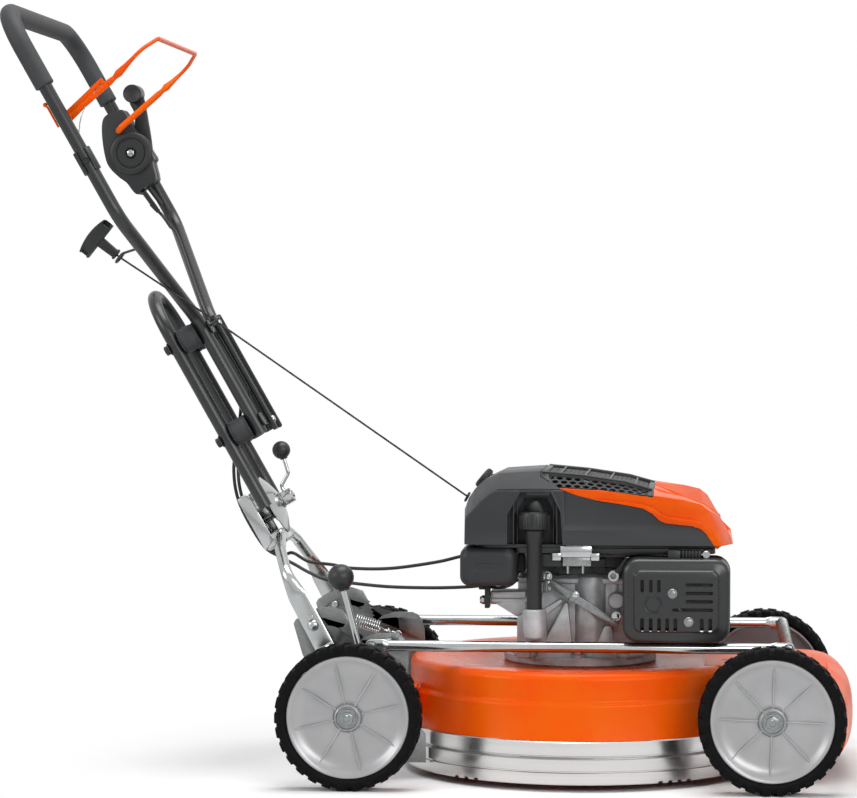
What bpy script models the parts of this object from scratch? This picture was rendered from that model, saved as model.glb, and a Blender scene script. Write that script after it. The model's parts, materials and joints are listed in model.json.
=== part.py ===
"""Petrol lawn mower with a round steel deck, four wheels and a folding, vibration-damped handle.

Metres, +Z up, +X towards the front of the mower, +Y to its left side. The ground is z = 0.
Every piece is drawn in mower coordinates, whose x is measured from the rear axle. The empty
that carries them all moves the rear axle to REAR_AXLE_X, so that the origin lies under the
middle of the machine.
"""

import math

import bmesh
import bpy
from mathutils import Matrix, Vector

# Shared clearances
GAP = 0.0003
RUNNING = 0.0003
ROUND_STEPS = 32

# Whole machine
REAR_AXLE_X = -0.110
AXLE_HEIGHT = 0.105
PIVOT_FORWARD = 0.045
PIVOT_HEIGHT = 0.095

# Wheels
WHEEL_RADIUS = 0.105
TYRE_DEPTH = 0.017
TYRE_WIDTH = 0.044
WHEEL_MIDDLE_Y = 0.2570
LUGS_PER_ROW = 10
LUG_HEIGHT = 0.0025
HUB_RADIUS = 0.019
HUB_LENGTH = 0.040
AXLE_RADIUS = 0.0080
NUT_THICKNESS = 0.006
NUT_RADIUS = 0.0100
WASHER_RADIUS = 0.0175
WASHER_THICKNESS = 0.0015

# Deck, just ahead of the rear shaft; the wheels stand clear of it
DECK_RADIUS = 0.257
DECK_STEP_IN = 0.005
DECK_UPPER_RADIUS = DECK_RADIUS - DECK_STEP_IN
DECK_X = PIVOT_FORWARD + 0.019 + DECK_RADIUS
WHEELBASE = DECK_RADIUS * 2 + 0.086
DECK_TOP_Z = 0.168
DECK_FLOOR_Z = 0.160
DECK_STEP_Z = 0.124
DECK_RIM_Z = 0.0755
DECK_WALL = 0.0025
DECK_BORE = 0.050
SKIRT_RADIUS = DECK_RADIUS + 0.0040
SKIRT_WALL = 0.0040
SKIRT_BOTTOM_Z = 0.0135
SKIRT_GROOVE = 0.0015
DECK_STEPS = 30

# Side plates that carry the handle and the rear shaft
BRACKET_Y = 0.1460
BRACKET_THICKNESS = 0.0040
LUG_THICKNESS = 0.0060
BRACKET_OUTLINE = [
    (0.092, 0.172), (0.078, 0.2035), (0.072, 0.2070), (0.050, 0.2080), (0.030, 0.2010), (-0.004, 0.2010),
    (-0.0100, 0.2330), (-0.019, 0.2445), (-0.037, 0.2500), (-0.056, 0.2480), (-0.072, 0.2400), (-0.088, 0.2310),
    (-0.091, 0.2250), (-0.078, 0.1800), (-0.060, 0.1450), (-0.030, 0.0850), (-0.010, 0.040), (0.010, 0.024),
]

# Front hood: its nose and cheeks are measured from the front shaft, its rear from the deck's front
HOOD_WALL = 0.004
HOOD_HALF_WIDTH = 0.205
HOOD_REAR = (-0.138, 0.1805)
HOOD_RISE = (0.022, 0.1830)
HOOD_NOSE_OUTER = [
    (0.045, 0.1760), (0.067, 0.1560), (0.077, 0.1260), (0.079, 0.1020), (0.077, 0.0760), (0.067, 0.0640),
]
HOOD_NOSE_INNER = [
    (0.063, 0.0665), (0.0725, 0.0780), (0.0745, 0.1020), (0.0725, 0.1250), (0.063, 0.1540), (0.042, 0.1722),
]
HOOD_CHEEK = [
    (0.003, 0.1850), (0.026, 0.1850), (0.0435, 0.1745), (0.0655, 0.1550), (0.0755, 0.1255), (0.0775, 0.1020),
    (0.0755, 0.0770), (0.065, 0.0650), (0.035, 0.0900), (0.035, 0.1400),
]

# Height adjustment
SHAFT_RADIUS = 0.0100
ARM_Y = 0.1665
ARM_THICKNESS = 0.0060
LINK_BOLT_FORWARD = 0.0246
LINK_BOLT_HEIGHT = 0.197
LINK_BOLT_RADIUS = 0.0040
LINK_TUBE_RADIUS = 0.0080
LINK_TUBE_CRIMP = 0.020
LINK_END_THICKNESS = 0.0050
LINK_END_RADIUS = 0.0090
LEVER_Y = 0.1900
LEVER_RADIUS = 0.0050
LEVER_FOOT = (0.030, 0.150)
LEVER_TOP = (-0.0150, 0.2850)
LEVER_BALL = (-0.0176, 0.2970)
LEVER_BALL_RADIUS = 0.0190

# Assist spring
SPRING_Y = -0.105
SPRING_COIL_RADIUS = 0.0090
SPRING_WIRE_RADIUS = 0.0010
SPRING_TURNS = 10
SPRING_POINTS_PER_TURN = 8
SPRING_PITCH = 0.0036
SPRING_REAR = (-0.0240, 0.2455)
SPRING_FRONT = (0.0560, 0.2010)
SPRING_PIN_RADIUS = 0.0030

# Handle frame: a straight line that leans back, seen from the side
HANDLE_ANGLE = math.radians(60.6)
HANDLE_FOOT = (-0.149, 0.499)
HANDLE_HALF_WIDTH = 0.262
NECK_HALF_WIDTH = 0.065
HANDLE_TUBE_RADIUS = 0.0100
HANDLE_TOP = 0.698
HANDLE_CORNER = 0.095
HANDLE_BEND = 0.050
NECK_TOP = 0.190
SHOULDER = 0.360
GRIP_START = 0.575
GRIP_WALL = 0.0037

# Lower hoop, buffers and neck channel
HOOP_SPACING = 0.048
HOOP_APEX = 0.255
HOOP_END = -0.100
BUFFER_RADIUS = 0.0190
BUFFER_ALONG = (0.017, 0.173)
NECK_CHANNEL_ALONG = (-0.002, 0.178)
NECK_CHANNEL_DEPTH = 0.0130
NECK_CHANNEL_WALL = 0.0030

# Clamp
CLAMP_ALONG = -0.1025
CLAMP_DISC_RADIUS = 0.0465
CLAMP_DISC_CROWN = 0.0120
CLAMP_DISC_EDGE = 0.0030
TONGUE_THICKNESS = 0.0060
CLAMP_BOLT_RADIUS = 0.0050
CLAMP_NUT_RADIUS = 0.0130
CLAMP_NUT_HEIGHT = 0.0200
CLAMP_BALL_RADIUS = 0.0135
HEAD_PLATE_OUT = -0.0830
HEAD_PLATE_THICKNESS = 0.0030

# Fork
FORK_TUBE_RADIUS = 0.0085
FORK_PIVOT = (-0.0416, 0.186)
FORK_SLOT_BOLT = (-0.0615, 0.2236)
FORK_BLADE_TOP = (-0.0990, 0.2940)
FORK_BLADE_WIDTH = 0.036
FORK_BLADE_Y = 0.1545
FORK_BLADE_THICKNESS = 0.0040
FORK_BOLT_RADIUS = 0.0055

# Bail and controls
BAIL_ALONG = 0.522
BAIL_ROD_RADIUS = 0.0050
BAIL_KINK = (-0.3365, 1.0150)
BAIL_CROSSBAR = (-0.2800, 1.0710)
BAIL_HALF_WIDTH = HANDLE_HALF_WIDTH - 0.067
BAIL_KINK_Y = HANDLE_HALF_WIDTH - 0.040
HOUSING_OUTER_Y = HANDLE_HALF_WIDTH - HANDLE_TUBE_RADIUS - GAP
HOUSING_INNER_Y = HOUSING_OUTER_Y - 0.0512
HUB_CENTRE = (-0.3854, 0.9195)
HUB_DISC_RADIUS = 0.0330
HUB_DISC_THICKNESS = 0.0060
HUB_PIN_RADIUS = 0.0060
SPEED_ARM_Y = (HOUSING_INNER_Y + 0.0215, HOUSING_INNER_Y + 0.0285)
SPEED_SLOT_MARGIN = 0.0015
SPEED_KNOB = (-0.3850, 1.0123)
SPEED_KNOB_RADIUS = 0.0140
SPEED_KNOB_Y = (HOUSING_INNER_Y + 0.0045, HOUSING_INNER_Y + 0.0445)

# Starter
ROPE_RADIUS = 0.0015
PULL_WAY = (-0.784, 0.0, 0.621)
HOOK_ALONG = 0.316
SHOULDER_Y = NECK_HALF_WIDTH + (HANDLE_HALF_WIDTH - NECK_HALF_WIDTH) * (HOOK_ALONG - NECK_TOP) / (SHOULDER - NECK_TOP)
HOOK_PLACE = (HOOK_ALONG, -(SHOULDER_Y - 0.006), -0.035)
NECK_EYE_PLACE = (0.175, -0.088, 0.0255)
ROPE_ENTRY = (DECK_X - 0.1650, -0.070, 0.4070)
EYE_RADIUS = 0.0060
EYE_WIRE = 0.0022
STARTER_STEM_LENGTH = 0.030
STARTER_STEM_RADIUS = 0.0080
STARTER_BAR_LENGTH = 0.066
STARTER_BAR_RADIUS = 0.0085

# Engine
FLANGE_RADIUS = 0.113
FLANGE_TOP_Z = 0.175
CRANKCASE_HALF_X = 0.090
CRANKCASE_HALF_Y = 0.085
CRANKCASE_TOP_Z = 0.303
CYLINDER_FRONT_X = DECK_X + 0.179
SUMP_RADIUS = 0.0640
SUMP_TOP_Z = 0.2850
BASE_Z = (0.3403, 0.3443)
COVER_BOTTOM_Z = 0.3446
COVER_NEAR_Y = -0.178
COVER_FAR_Y = 0.165
COVER_CHAMFER = 0.045
COVER_CHAMFER_Z = 0.425
COVER_WALL = 0.0030
SEAM = 0.0003
COVER_OUTLINE = [
    (-0.164, 0.3446), (-0.164, 0.392), (-0.158, 0.408), (-0.137, 0.433), (-0.114, 0.444), (-0.054, 0.448),
    (0.009, 0.442), (0.071, 0.4325), (0.11, 0.420), (0.154, 0.408), (0.183, 0.396), (0.204, 0.382),
    (0.22, 0.353), (0.225, 0.3446),
]
GRILLE_SEAM = [
    (-0.021, 0.4270), (0.036, 0.4240), (0.095, 0.4165), (0.11, 0.4180),
]
HOOD_EDGE = [
    (0.201, 0.339), (0.1855, 0.3615), (0.168, 0.3720), (0.127, 0.3780), (0.109, 0.3905), (0.095, 0.3975),
    (0.066, 0.4030), (0.027, 0.4090),
]
GRILLE_OUTLINE = [
    (-0.053, 0.500), (-0.053, 0.4410), (-0.021 - SEAM, 0.4270 + SEAM), (0.036, 0.4240 + SEAM),
    (0.095, 0.4165 + SEAM), (0.11 - SEAM, 0.4180 + SEAM), (0.11 - SEAM, 0.500),
]
SEAM_OUTLINE = [
    (-0.053 - SEAM, 0.500), (-0.053 - SEAM, 0.4410 - SEAM), (-0.021 - SEAM * 3, 0.4270 - SEAM / 2),
    (0.027, 0.4090 - SEAM), (0.066, 0.4030 - SEAM), (0.095, 0.3975 - SEAM), (0.109, 0.3905 - SEAM),
    (0.127, 0.3780 - SEAM), (0.168 - SEAM / 2, 0.3720 - SEAM), (0.1855 - SEAM, 0.3615 - SEAM),
    (0.201 - SEAM, 0.339), (0.201 - SEAM, 0.300), (0.279, 0.300), (0.279, 0.500),
]
RECESS_OUTLINE = [
    (-0.099, 0.330), (-0.099, 0.390), (-0.085, 0.410), (-0.081, 0.426), (-0.037, 0.426), (-0.024, 0.392),
    (-0.019, 0.330),
]
RECESS_WALL = [
    (-0.099 - COVER_WALL, 0.320), (-0.099 - COVER_WALL, 0.391), (-0.0885, 0.4125), (-0.0845, 0.4295),
    (-0.0335, 0.4295), (-0.021, 0.393), (-0.019 + COVER_WALL, 0.320),
]
FILLER_PLACE = (DECK_X - 0.0610, -0.165)
FILLER_TUBE_RADIUS = 0.0095
FILLER_TUBE_BOTTOM_Z = 0.2200
FILLER_TUBE_TOP_Z = 0.3660
OIL_CAP_RADIUS = 0.0215
OIL_CAP_HEIGHT = 0.0170
OIL_CAP_WING = 0.0240
RECESS_Y = -0.139
AIR_BOX = ((DECK_X - 0.169, -0.172, 0.2828), (DECK_X - 0.087, -0.090, 0.3400))
GUARD_X = (DECK_X + 0.067, DECK_X + 0.220)
GUARD_Y = (-0.215, -0.150)
GUARD_Z = (0.2075, 0.328)
GUARD_CORNER = 0.021
GUARD_WALL = 0.0025
FUEL_CAP_Y = 0.100
FUEL_CAP_RADIUS = 0.0200
FUEL_CAP_HEIGHT = 0.0120
FUEL_NECK_RADIUS = 0.0140
FUEL_NECK_HEIGHT = 0.0043

# Rotor
CRANK_RADIUS = 0.0125
CRANK_BOTTOM_Z = 0.0348
CRANK_TOP_Z = 0.3740
FLYWHEEL_RADIUS = 0.088
FLYWHEEL_Z = (0.3520, 0.3690)
BLADE_RADIUS = 0.240
BLADE_WIDTH = 0.055
BLADE_THICKNESS = 0.0035
BLADE_WING = 0.060
BLADE_WING_LIFT = 0.014
HOLDER_RADIUS = 0.0240
HOLDER_LENGTH = 0.0300
BLADE_BOLT_RADIUS = 0.0050
BLADE_BOLT_HEAD_RADIUS = 0.0110
BLADE_BOLT_HEAD = 0.0090
BLADE_BOLT_GRIP = 0.0250
PULLEY_RADIUS = 0.055
PULLEY_Z = (0.3800, 0.3920)
PULLEY_POST_RADIUS = 0.0080

# Cables
CABLE_RADIUS = 0.0025
CABLE_POINT_SPACING = 4.2

UP_THE_HANDLE = Vector((-math.cos(HANDLE_ANGLE), 0.0, math.sin(HANDLE_ANGLE)))
OUT_OF_HANDLE = Vector((math.sin(HANDLE_ANGLE), 0.0, math.cos(HANDLE_ANGLE)))


def on_handle(along, across, out):
    """A point of the handle frame: up the handle, to the left, and towards the front."""
    foot = Vector((HANDLE_FOOT[0], 0.0, HANDLE_FOOT[1]))
    return foot + UP_THE_HANDLE * along + OUT_OF_HANDLE * out + Vector((0.0, across, 0.0))


def about_crank(outline):
    """An outline whose x is measured from the crankshaft, in mower coordinates."""
    return [(DECK_X + x, z) for x, z in outline]


def clear_scene():
    for old in list(bpy.data.objects):
        bpy.data.objects.remove(old)


def finish(name, colour, roughness, metallic):
    """A plain material in the piece's own colour."""
    made = bpy.data.materials.new(name)
    made.use_nodes = True
    shader = made.node_tree.nodes["Principled BSDF"]
    shader.inputs["Base Color"].default_value = (*colour, 1.0)
    shader.inputs["Roughness"].default_value = roughness
    shader.inputs["Metallic"].default_value = metallic
    return made


def new_object(name, bm, material=None):
    bmesh.ops.recalc_face_normals(bm, faces=bm.faces)
    mesh = bpy.data.meshes.new(name)
    bm.to_mesh(mesh)
    bm.free()
    mesh.shade_smooth()
    mesh.set_sharp_from_angle(angle=math.radians(30))
    made = bpy.data.objects.new(name, mesh)
    bpy.context.scene.collection.objects.link(made)
    if material:
        mesh.materials.append(material)
    return made


def guide(made):
    """Keeps an object out of the model: it only cuts or joins another."""
    made.hide_render = True
    made.display_type = "WIRE"
    return made


def with_boolean(target, tool, operation):
    """Joins, cuts or trims an object by another, which then moves with it."""
    guide(tool)
    tool.parent = target
    step = target.modifiers.new(operation.lower(), "BOOLEAN")
    step.operation = operation
    step.solver = "EXACT"
    step.object = tool
    return target


def joined(target, *tools):
    for tool in tools:
        with_boolean(target, tool, "UNION")
    return target


def cut(target, *tools):
    for tool in tools:
        with_boolean(target, tool, "DIFFERENCE")
    return target


def kept_within(target, tool):
    return with_boolean(target, tool, "INTERSECT")


def box(name, low, high, material=None):
    bm = bmesh.new()
    size = [h - l for l, h in zip(low, high)]
    middle = [(h + l) / 2 for l, h in zip(low, high)]
    place = Matrix.Translation(middle) @ Matrix.Diagonal((*size, 1.0))
    bmesh.ops.create_cube(bm, size=1.0, matrix=place)
    return new_object(name, bm, material)


def prism(name, outline, low, high, material=None, axis="Y"):
    """An outline pushed along an axis. The outline is (x, z) for Y, (x, y) for Z and (y, z) for X."""
    place = {
        "Y": lambda a, b, c: (a, c, b),
        "Z": lambda a, b, c: (a, b, c),
        "X": lambda a, b, c: (c, a, b),
    }[axis]
    bm = bmesh.new()
    face = bm.faces.new([bm.verts.new(place(a, b, low)) for a, b in outline])
    push = Vector(place(0.0, 0.0, high - low))
    grown = bmesh.ops.extrude_face_region(bm, geom=[face])
    bmesh.ops.translate(bm, vec=push, verts=[v for v in grown["geom"] if isinstance(v, bmesh.types.BMVert)])
    return new_object(name, bm, material)


def turned(name, profile, centre, axis, material=None, steps=ROUND_STEPS, closed=False, phase=0.0):
    """A profile of (radius, height) pairs spun about an axis through a centre."""
    bm = bmesh.new()
    verts = [bm.verts.new((radius, 0.0, height)) for radius, height in profile]
    edges = [bm.edges.new(pair) for pair in zip(verts, verts[1:])]
    if closed:
        edges.append(bm.edges.new((verts[-1], verts[0])))
    bmesh.ops.spin(
        bm, geom=verts + edges, cent=(0, 0, 0), axis=(0, 0, 1), angle=math.tau, steps=steps, use_merge=True
    )
    bmesh.ops.remove_doubles(bm, verts=bm.verts, dist=1e-6)
    turn = Vector((0, 0, 1)).rotation_difference(Vector(axis)).to_matrix().to_4x4()
    turn = turn @ Matrix.Rotation(phase, 4, "Z")
    bmesh.ops.transform(bm, matrix=Matrix.Translation(centre) @ turn, verts=bm.verts)
    return new_object(name, bm, material)


def rod(name, start, end, radius, material=None, steps=12, phase=0.0):
    """A plain round bar between two points."""
    start, end = Vector(start), Vector(end)
    length = (end - start).length
    profile = [(0.0, 0.0), (radius, 0.0), (radius, length), (0.0, length)]
    return turned(name, profile, start, end - start, material, steps, phase=phase)


def ring(name, centre, axis, radius, wire, material=None, steps=10, sides=5):
    """A closed round ring of wire."""
    turns = [math.tau * k / sides for k in range(sides)]
    profile = [(radius + wire * math.cos(t), wire * math.sin(t)) for t in turns]
    return turned(name, profile, centre, axis, material, steps, closed=True)


def ball(name, centre, radius, material=None, steps=16):
    turns = [math.pi * k / (steps // 2) for k in range(steps // 2 + 1)]
    profile = [(radius * math.sin(t), -radius * math.cos(t)) for t in turns]
    return turned(name, profile, centre, (0, 0, 1), material, steps)


def rounded(points, radii, steps=3):
    """A path whose inner corners are arcs, of one bend radius or of one for each corner."""
    points = [Vector(p) for p in points]
    if isinstance(radii, float):
        radii = [radii] * (len(points) - 2)
    path = [points[0]]
    for before, corner, after, radius in zip(points, points[1:], points[2:], radii):
        back, ahead = (before - corner).normalized(), (after - corner).normalized()
        half = back.angle(ahead) / 2
        if half > math.radians(89.5):
            path.append(corner)
            continue
        reach = radius / math.tan(half)
        reach = min(reach, (before - corner).length / 2, (after - corner).length / 2)
        bend = reach * math.tan(half)
        middle = corner + (back + ahead).normalized() * (bend / math.sin(half))
        first, last = corner + back * reach - middle, corner + ahead * reach - middle
        sweep = first.angle(last)
        for k in range(steps + 1):
            share = k / steps
            side = (first * math.sin((1 - share) * sweep) + last * math.sin(share * sweep)) / math.sin(sweep)
            path.append(middle + side)
    path.append(points[-1])
    return path


def smooth_route(points, step):
    """Points a fixed step apart on a smooth curve through a route's own points."""
    points = [Vector(p) for p in points]
    ends = [points[0] * 2 - points[1], *points, points[-1] * 2 - points[-2]]
    path = [points[0]]
    for a, b, c, d in zip(ends, ends[1:], ends[2:], ends[3:]):
        pieces = max(1, round((c - b).length / step))
        for k in range(1, pieces + 1):
            t = k / pieces
            path.append(
                (b * 2 + (c - a) * t + (a * 2 - b * 5 + c * 4 - d) * t**2 + (b * 3 - a - c * 3 + d) * t**3) / 2
            )
    return path


def least_gap(path, radius, apart):
    """The least clear distance of a wire to itself, between points at least so many points apart."""
    dense = [a.lerp(b, share / 4) for a, b in zip(path, path[1:]) for share in range(4)]
    pairs = ((k, j) for k in range(len(dense)) for j in range(k + apart * 4, len(dense)))
    return min((dense[k] - dense[j]).length for k, j in pairs) - 2 * radius


def wire_curve(name, path, radius, material=None, resolution=2):
    """A round tube along a path, with closed ends, as a curve."""
    curve = bpy.data.curves.new(name, "CURVE")
    curve.dimensions = "3D"
    curve.bevel_depth = radius
    curve.bevel_resolution = resolution
    curve.resolution_u = 1
    curve.render_resolution_u = 0
    curve.use_fill_caps = True
    spline = curve.splines.new("POLY")
    spline.points.add(len(path) - 1)
    for point, place in zip(spline.points, path):
        point.co = (*place, 1.0)
    made = bpy.data.objects.new(name, curve)
    bpy.context.scene.collection.objects.link(made)
    if material:
        curve.materials.append(material)
    return made


def tube(name, path, radius, material=None, resolution=2):
    """The same round tube as a mesh, so that it can be joined to other shapes."""
    curve = wire_curve(name + "_path", path, radius, material, resolution)
    mesh = bpy.data.meshes.new_from_object(curve.evaluated_get(bpy.context.evaluated_depsgraph_get()))
    bpy.data.objects.remove(curve)
    bm = bmesh.new()
    bm.from_mesh(mesh)
    bmesh.ops.remove_doubles(bm, verts=bm.verts, dist=1e-6)
    return new_object(name, bm, material)


def arc_points(centre, radius, start, end, steps):
    """Points of an arc in degrees, in the plane of an outline."""
    turns = [math.radians(start + (end - start) * k / steps) for k in range(steps + 1)]
    return [(centre[0] + radius * math.cos(t), centre[1] + radius * math.sin(t)) for t in turns]


def rounded_rectangle(low, high, radius, steps=3):
    corners = ((high[0], high[1], 0), (low[0], high[1], 90), (low[0], low[1], 180), (high[0], low[1], 270))
    outline = []
    for x, z, start in corners:
        inward = (x - radius if start in (0, 270) else x + radius, z - radius if start in (0, 90) else z + radius)
        outline += arc_points(inward, radius, start, start + 90, steps)
    return outline


def capsule(first, last, radius, steps=3):
    """The outline of a bar with round ends between two points."""
    heading = math.degrees(math.atan2(last[1] - first[1], last[0] - first[0]))
    return arc_points(last, radius, heading - 90, heading + 90, steps) + arc_points(
        first, radius, heading + 90, heading + 270, steps
    )


def hexagon_rod(name, start, end, radius, material=None):
    return rod(name, start, end, radius, material, steps=6, phase=math.radians(11))


class Carrier:
    """An empty on a joint's axis that its pieces hang from."""

    def __init__(self, name, place, parent=None):
        self.place = Vector(place)
        self.empty = bpy.data.objects.new(name, None)
        bpy.context.scene.collection.objects.link(self.empty)
        if parent:
            self.empty.parent = parent.empty
            self.empty.location = self.place - parent.place
        else:
            self.empty.location = Vector((REAR_AXLE_X, 0.0, 0.0)) + self.place

    def hold(self, *pieces):
        for piece in pieces:
            piece.parent = self.empty
            piece.location = -self.place


def side_point(pair, y):
    """A point of the side view at a given y."""
    return Vector((pair[0], y, pair[1]))


class Mower:
    """Builds the machine, group by group."""

    def __init__(self):
        self.orange = finish("orange_enamel", (0.86, 0.10, 0.01), 0.35, 0.0)
        self.orange_plastic = finish("orange_plastic", (0.90, 0.16, 0.02), 0.4, 0.0)
        self.alloy = finish("polished_aluminium", (0.75, 0.75, 0.76), 0.25, 1.0)
        self.cast = finish("cast_aluminium", (0.42, 0.42, 0.42), 0.45, 0.9)
        self.zinc = finish("zinc_plated_steel", (0.50, 0.51, 0.51), 0.35, 0.9)
        self.bright = finish("bright_steel", (0.65, 0.65, 0.65), 0.25, 1.0)
        self.black_steel = finish("black_powder_coat", (0.035, 0.035, 0.037), 0.45, 0.0)
        self.black_plastic = finish("black_plastic", (0.030, 0.030, 0.032), 0.45, 0.0)
        self.grey_plastic = finish("dark_grey_plastic", (0.055, 0.057, 0.060), 0.5, 0.0)
        self.foam = finish("grip_rubber", (0.045, 0.045, 0.047), 0.75, 0.0)
        self.tyre_rubber = finish("tyre_rubber", (0.012, 0.012, 0.013), 0.8, 0.0)
        self.rim_plastic = finish("silver_plastic", (0.50, 0.50, 0.50), 0.4, 0.2)
        self.chassis = Carrier("mower", (0, 0, 0))

    def build(self):
        self.deck()
        self.front_hood()
        self.rear_brackets()
        self.engine_block()
        self.engine_covers()
        self.filler_and_caps()
        self.exhaust()
        self.rotor()
        self.height_adjustment()
        self.wheels()
        self.fork_and_clamp()
        self.handle()
        self.controls()
        self.starter()
        self.cables()

    def deck(self):
        """Round pressed-steel bowl, open below, with a polished ring under it."""
        outer = [
            (DECK_BORE, DECK_FLOOR_Z),
            (FLANGE_RADIUS + 0.030, DECK_FLOOR_Z),
            (DECK_UPPER_RADIUS - 0.045, DECK_TOP_Z),
            (DECK_UPPER_RADIUS - 0.006, DECK_TOP_Z),
            (DECK_UPPER_RADIUS, DECK_TOP_Z - 0.006),
            (DECK_UPPER_RADIUS, DECK_STEP_Z + DECK_STEP_IN / 2),
            (DECK_RADIUS, DECK_STEP_Z - DECK_STEP_IN / 2),
            (DECK_RADIUS, DECK_RIM_Z),
        ]
        inner = [(radius - DECK_WALL, height - DECK_WALL) for radius, height in outer[1:-1]]
        profile = [
            *outer,
            (DECK_RADIUS - DECK_WALL, DECK_RIM_Z),
            *reversed(inner),
            (DECK_BORE, DECK_FLOOR_Z - DECK_WALL),
        ]
        centre = (DECK_X, 0, 0)
        shell = turned("deck_shell", profile, centre, (0, 0, 1), self.orange, DECK_STEPS, closed=True)
        pivots = (PIVOT_FORWARD, WHEELBASE + PIVOT_FORWARD)
        for side in (-1, 1):
            inner_y, outer_y = BRACKET_Y - GAP - LUG_THICKNESS, BRACKET_Y - GAP
            wall_x = DECK_X - math.sqrt(DECK_RADIUS**2 - BRACKET_Y**2)
            low_y, high_y = sorted((side * inner_y, side * outer_y))
            rear_lug = box(f"rear_lug_{side}", (wall_x - 0.045, low_y, 0.085), (wall_x + 0.004, high_y, 0.150))
            front_x = DECK_X + math.sqrt(DECK_RADIUS**2 - BRACKET_Y**2)
            front_lug = prism(
                f"front_lug_{side}",
                [(front_x - 0.004, 0.080), (pivots[1] + 0.020, 0.080), (pivots[1] + 0.020, 0.110)]
                + [(pivots[1] + 0.008, 0.118), (front_x - 0.004, 0.150)],
                side * (BRACKET_Y - GAP - LUG_THICKNESS),
                side * (BRACKET_Y + BRACKET_THICKNESS),
            )
            joined(shell, rear_lug, front_lug)
            bore = rod(
                f"front_bore_{side}",
                (pivots[1], side * (BRACKET_Y - 0.020), PIVOT_HEIGHT),
                (pivots[1], side * (BRACKET_Y + 0.020), PIVOT_HEIGHT),
                SHAFT_RADIUS + RUNNING, steps=16,
            )
            cut(shell, bore)
        skirt_profile = [
            (SKIRT_RADIUS - SKIRT_GROOVE, DECK_RIM_Z - GAP),
            (SKIRT_RADIUS - SKIRT_GROOVE, 0.052),
            (SKIRT_RADIUS, 0.050),
            (SKIRT_RADIUS, 0.035),
            (SKIRT_RADIUS - SKIRT_GROOVE, 0.033),
            (SKIRT_RADIUS - SKIRT_GROOVE, SKIRT_BOTTOM_Z),
            (SKIRT_RADIUS - SKIRT_WALL, SKIRT_BOTTOM_Z),
            (SKIRT_RADIUS - SKIRT_WALL, DECK_RIM_Z - GAP),
        ]
        skirt = turned("deck_skirt", skirt_profile, centre, (0, 0, 1), self.alloy, DECK_STEPS, closed=True)
        self.chassis.hold(shell, skirt)

    def front_hood(self):
        """Orange hood over the front shaft, with a bent nose between the wheels."""
        front, shaft = DECK_X + DECK_RADIUS, WHEELBASE + PIVOT_FORWARD
        rear = [(front + x, z) for x, z in (HOOD_REAR, HOOD_RISE)]
        brow = [(shaft + 0.001, 0.1870), (shaft + 0.027, 0.1870)]
        nose_outer = [(shaft + x, z) for x, z in HOOD_NOSE_OUTER]
        nose_inner = [(shaft + x, z) for x, z in HOOD_NOSE_INNER]
        under = [(shaft + 0.025, 0.1828), (shaft + 0.001, 0.1828)]
        under += [(x, z - HOOD_WALL - 0.0002) for x, z in reversed(rear)]
        half = BRACKET_Y - GAP * 2 - LUG_THICKNESS - HOOD_WALL
        hood = prism("front_hood", rear + brow + nose_outer + nose_inner + under, -half, half, self.orange_plastic)
        nose = prism("hood_nose", nose_outer + nose_inner, -HOOD_HALF_WIDTH, HOOD_HALF_WIDTH)
        joined(hood, nose)
        cheek = [(front - 0.018, 0.1690), (front - 0.018, 0.1800), *[(shaft + x, z) for x, z in HOOD_CHEEK]]
        for side in (-1, 1):
            low_y, high_y = sorted((side * (half - HOOD_WALL), side * half))
            joined(hood, prism(f"hood_cheek_{side}", cheek, low_y, high_y))
        seat = DECK_X + DECK_UPPER_RADIUS - 0.041
        feet = [
            (seat, 0.1790), (seat, DECK_TOP_Z + GAP), (seat + 0.012, DECK_TOP_Z + GAP), (seat + 0.012, 0.1795),
        ]
        joined(hood, prism("hood_feet", feet, -0.090, 0.090))
        self.chassis.hold(hood)

    def rear_brackets(self):
        """Side plates behind the deck: shaft bore, fork pivot and the arc slot of the handle."""
        slot_radius = (Vector(FORK_SLOT_BOLT) - Vector(FORK_PIVOT)).length
        wall_x = DECK_X - math.sqrt(DECK_RADIUS**2 - BRACKET_Y**2)
        for side, name in ((-1, "rear_bracket_right"), (1, "rear_bracket_left")):
            front = [(wall_x - 0.0075, 0.024), (wall_x - 0.0075, 0.074), (wall_x - 0.0025, 0.080), (wall_x - 0.0025, 0.150)]
            outline = front + BRACKET_OUTLINE
            low_y, high_y = sorted((side * BRACKET_Y, side * (BRACKET_Y + BRACKET_THICKNESS)))
            plate = prism(name, outline, low_y, high_y, self.zinc)
            through = (side * (BRACKET_Y - 0.010), side * (BRACKET_Y + BRACKET_THICKNESS + 0.010))
            holes = [
                rod(
                    f"{name}_shaft_bore",
                    (PIVOT_FORWARD, through[0], PIVOT_HEIGHT),
                    (PIVOT_FORWARD, through[1], PIVOT_HEIGHT),
                    SHAFT_RADIUS + RUNNING, steps=16,
                ),
                rod(
                    f"{name}_fork_bore",
                    side_point(FORK_PIVOT, through[0]),
                    side_point(FORK_PIVOT, through[1]),
                    FORK_BOLT_RADIUS + RUNNING, steps=16,
                ),
            ]
            half_slot = FORK_BOLT_RADIUS + RUNNING
            slot = arc_points(FORK_PIVOT, slot_radius + half_slot, 136, 58, 5) + arc_points(
                FORK_PIVOT, slot_radius - half_slot, 58, 136, 5
            )
            holes.append(prism(f"{name}_slot", slot, *sorted(through)))
            cut(plate, *holes)
            if side < 0:
                pin = rod(
                    "spring_pin",
                    side_point(SPRING_FRONT, -(BRACKET_Y + 0.001)),
                    side_point(SPRING_FRONT, SPRING_Y + SPRING_WIRE_RADIUS * 4),
                    SPRING_PIN_RADIUS,
                    steps=10,
                )
                joined(plate, pin)
            self.chassis.hold(plate)

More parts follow.
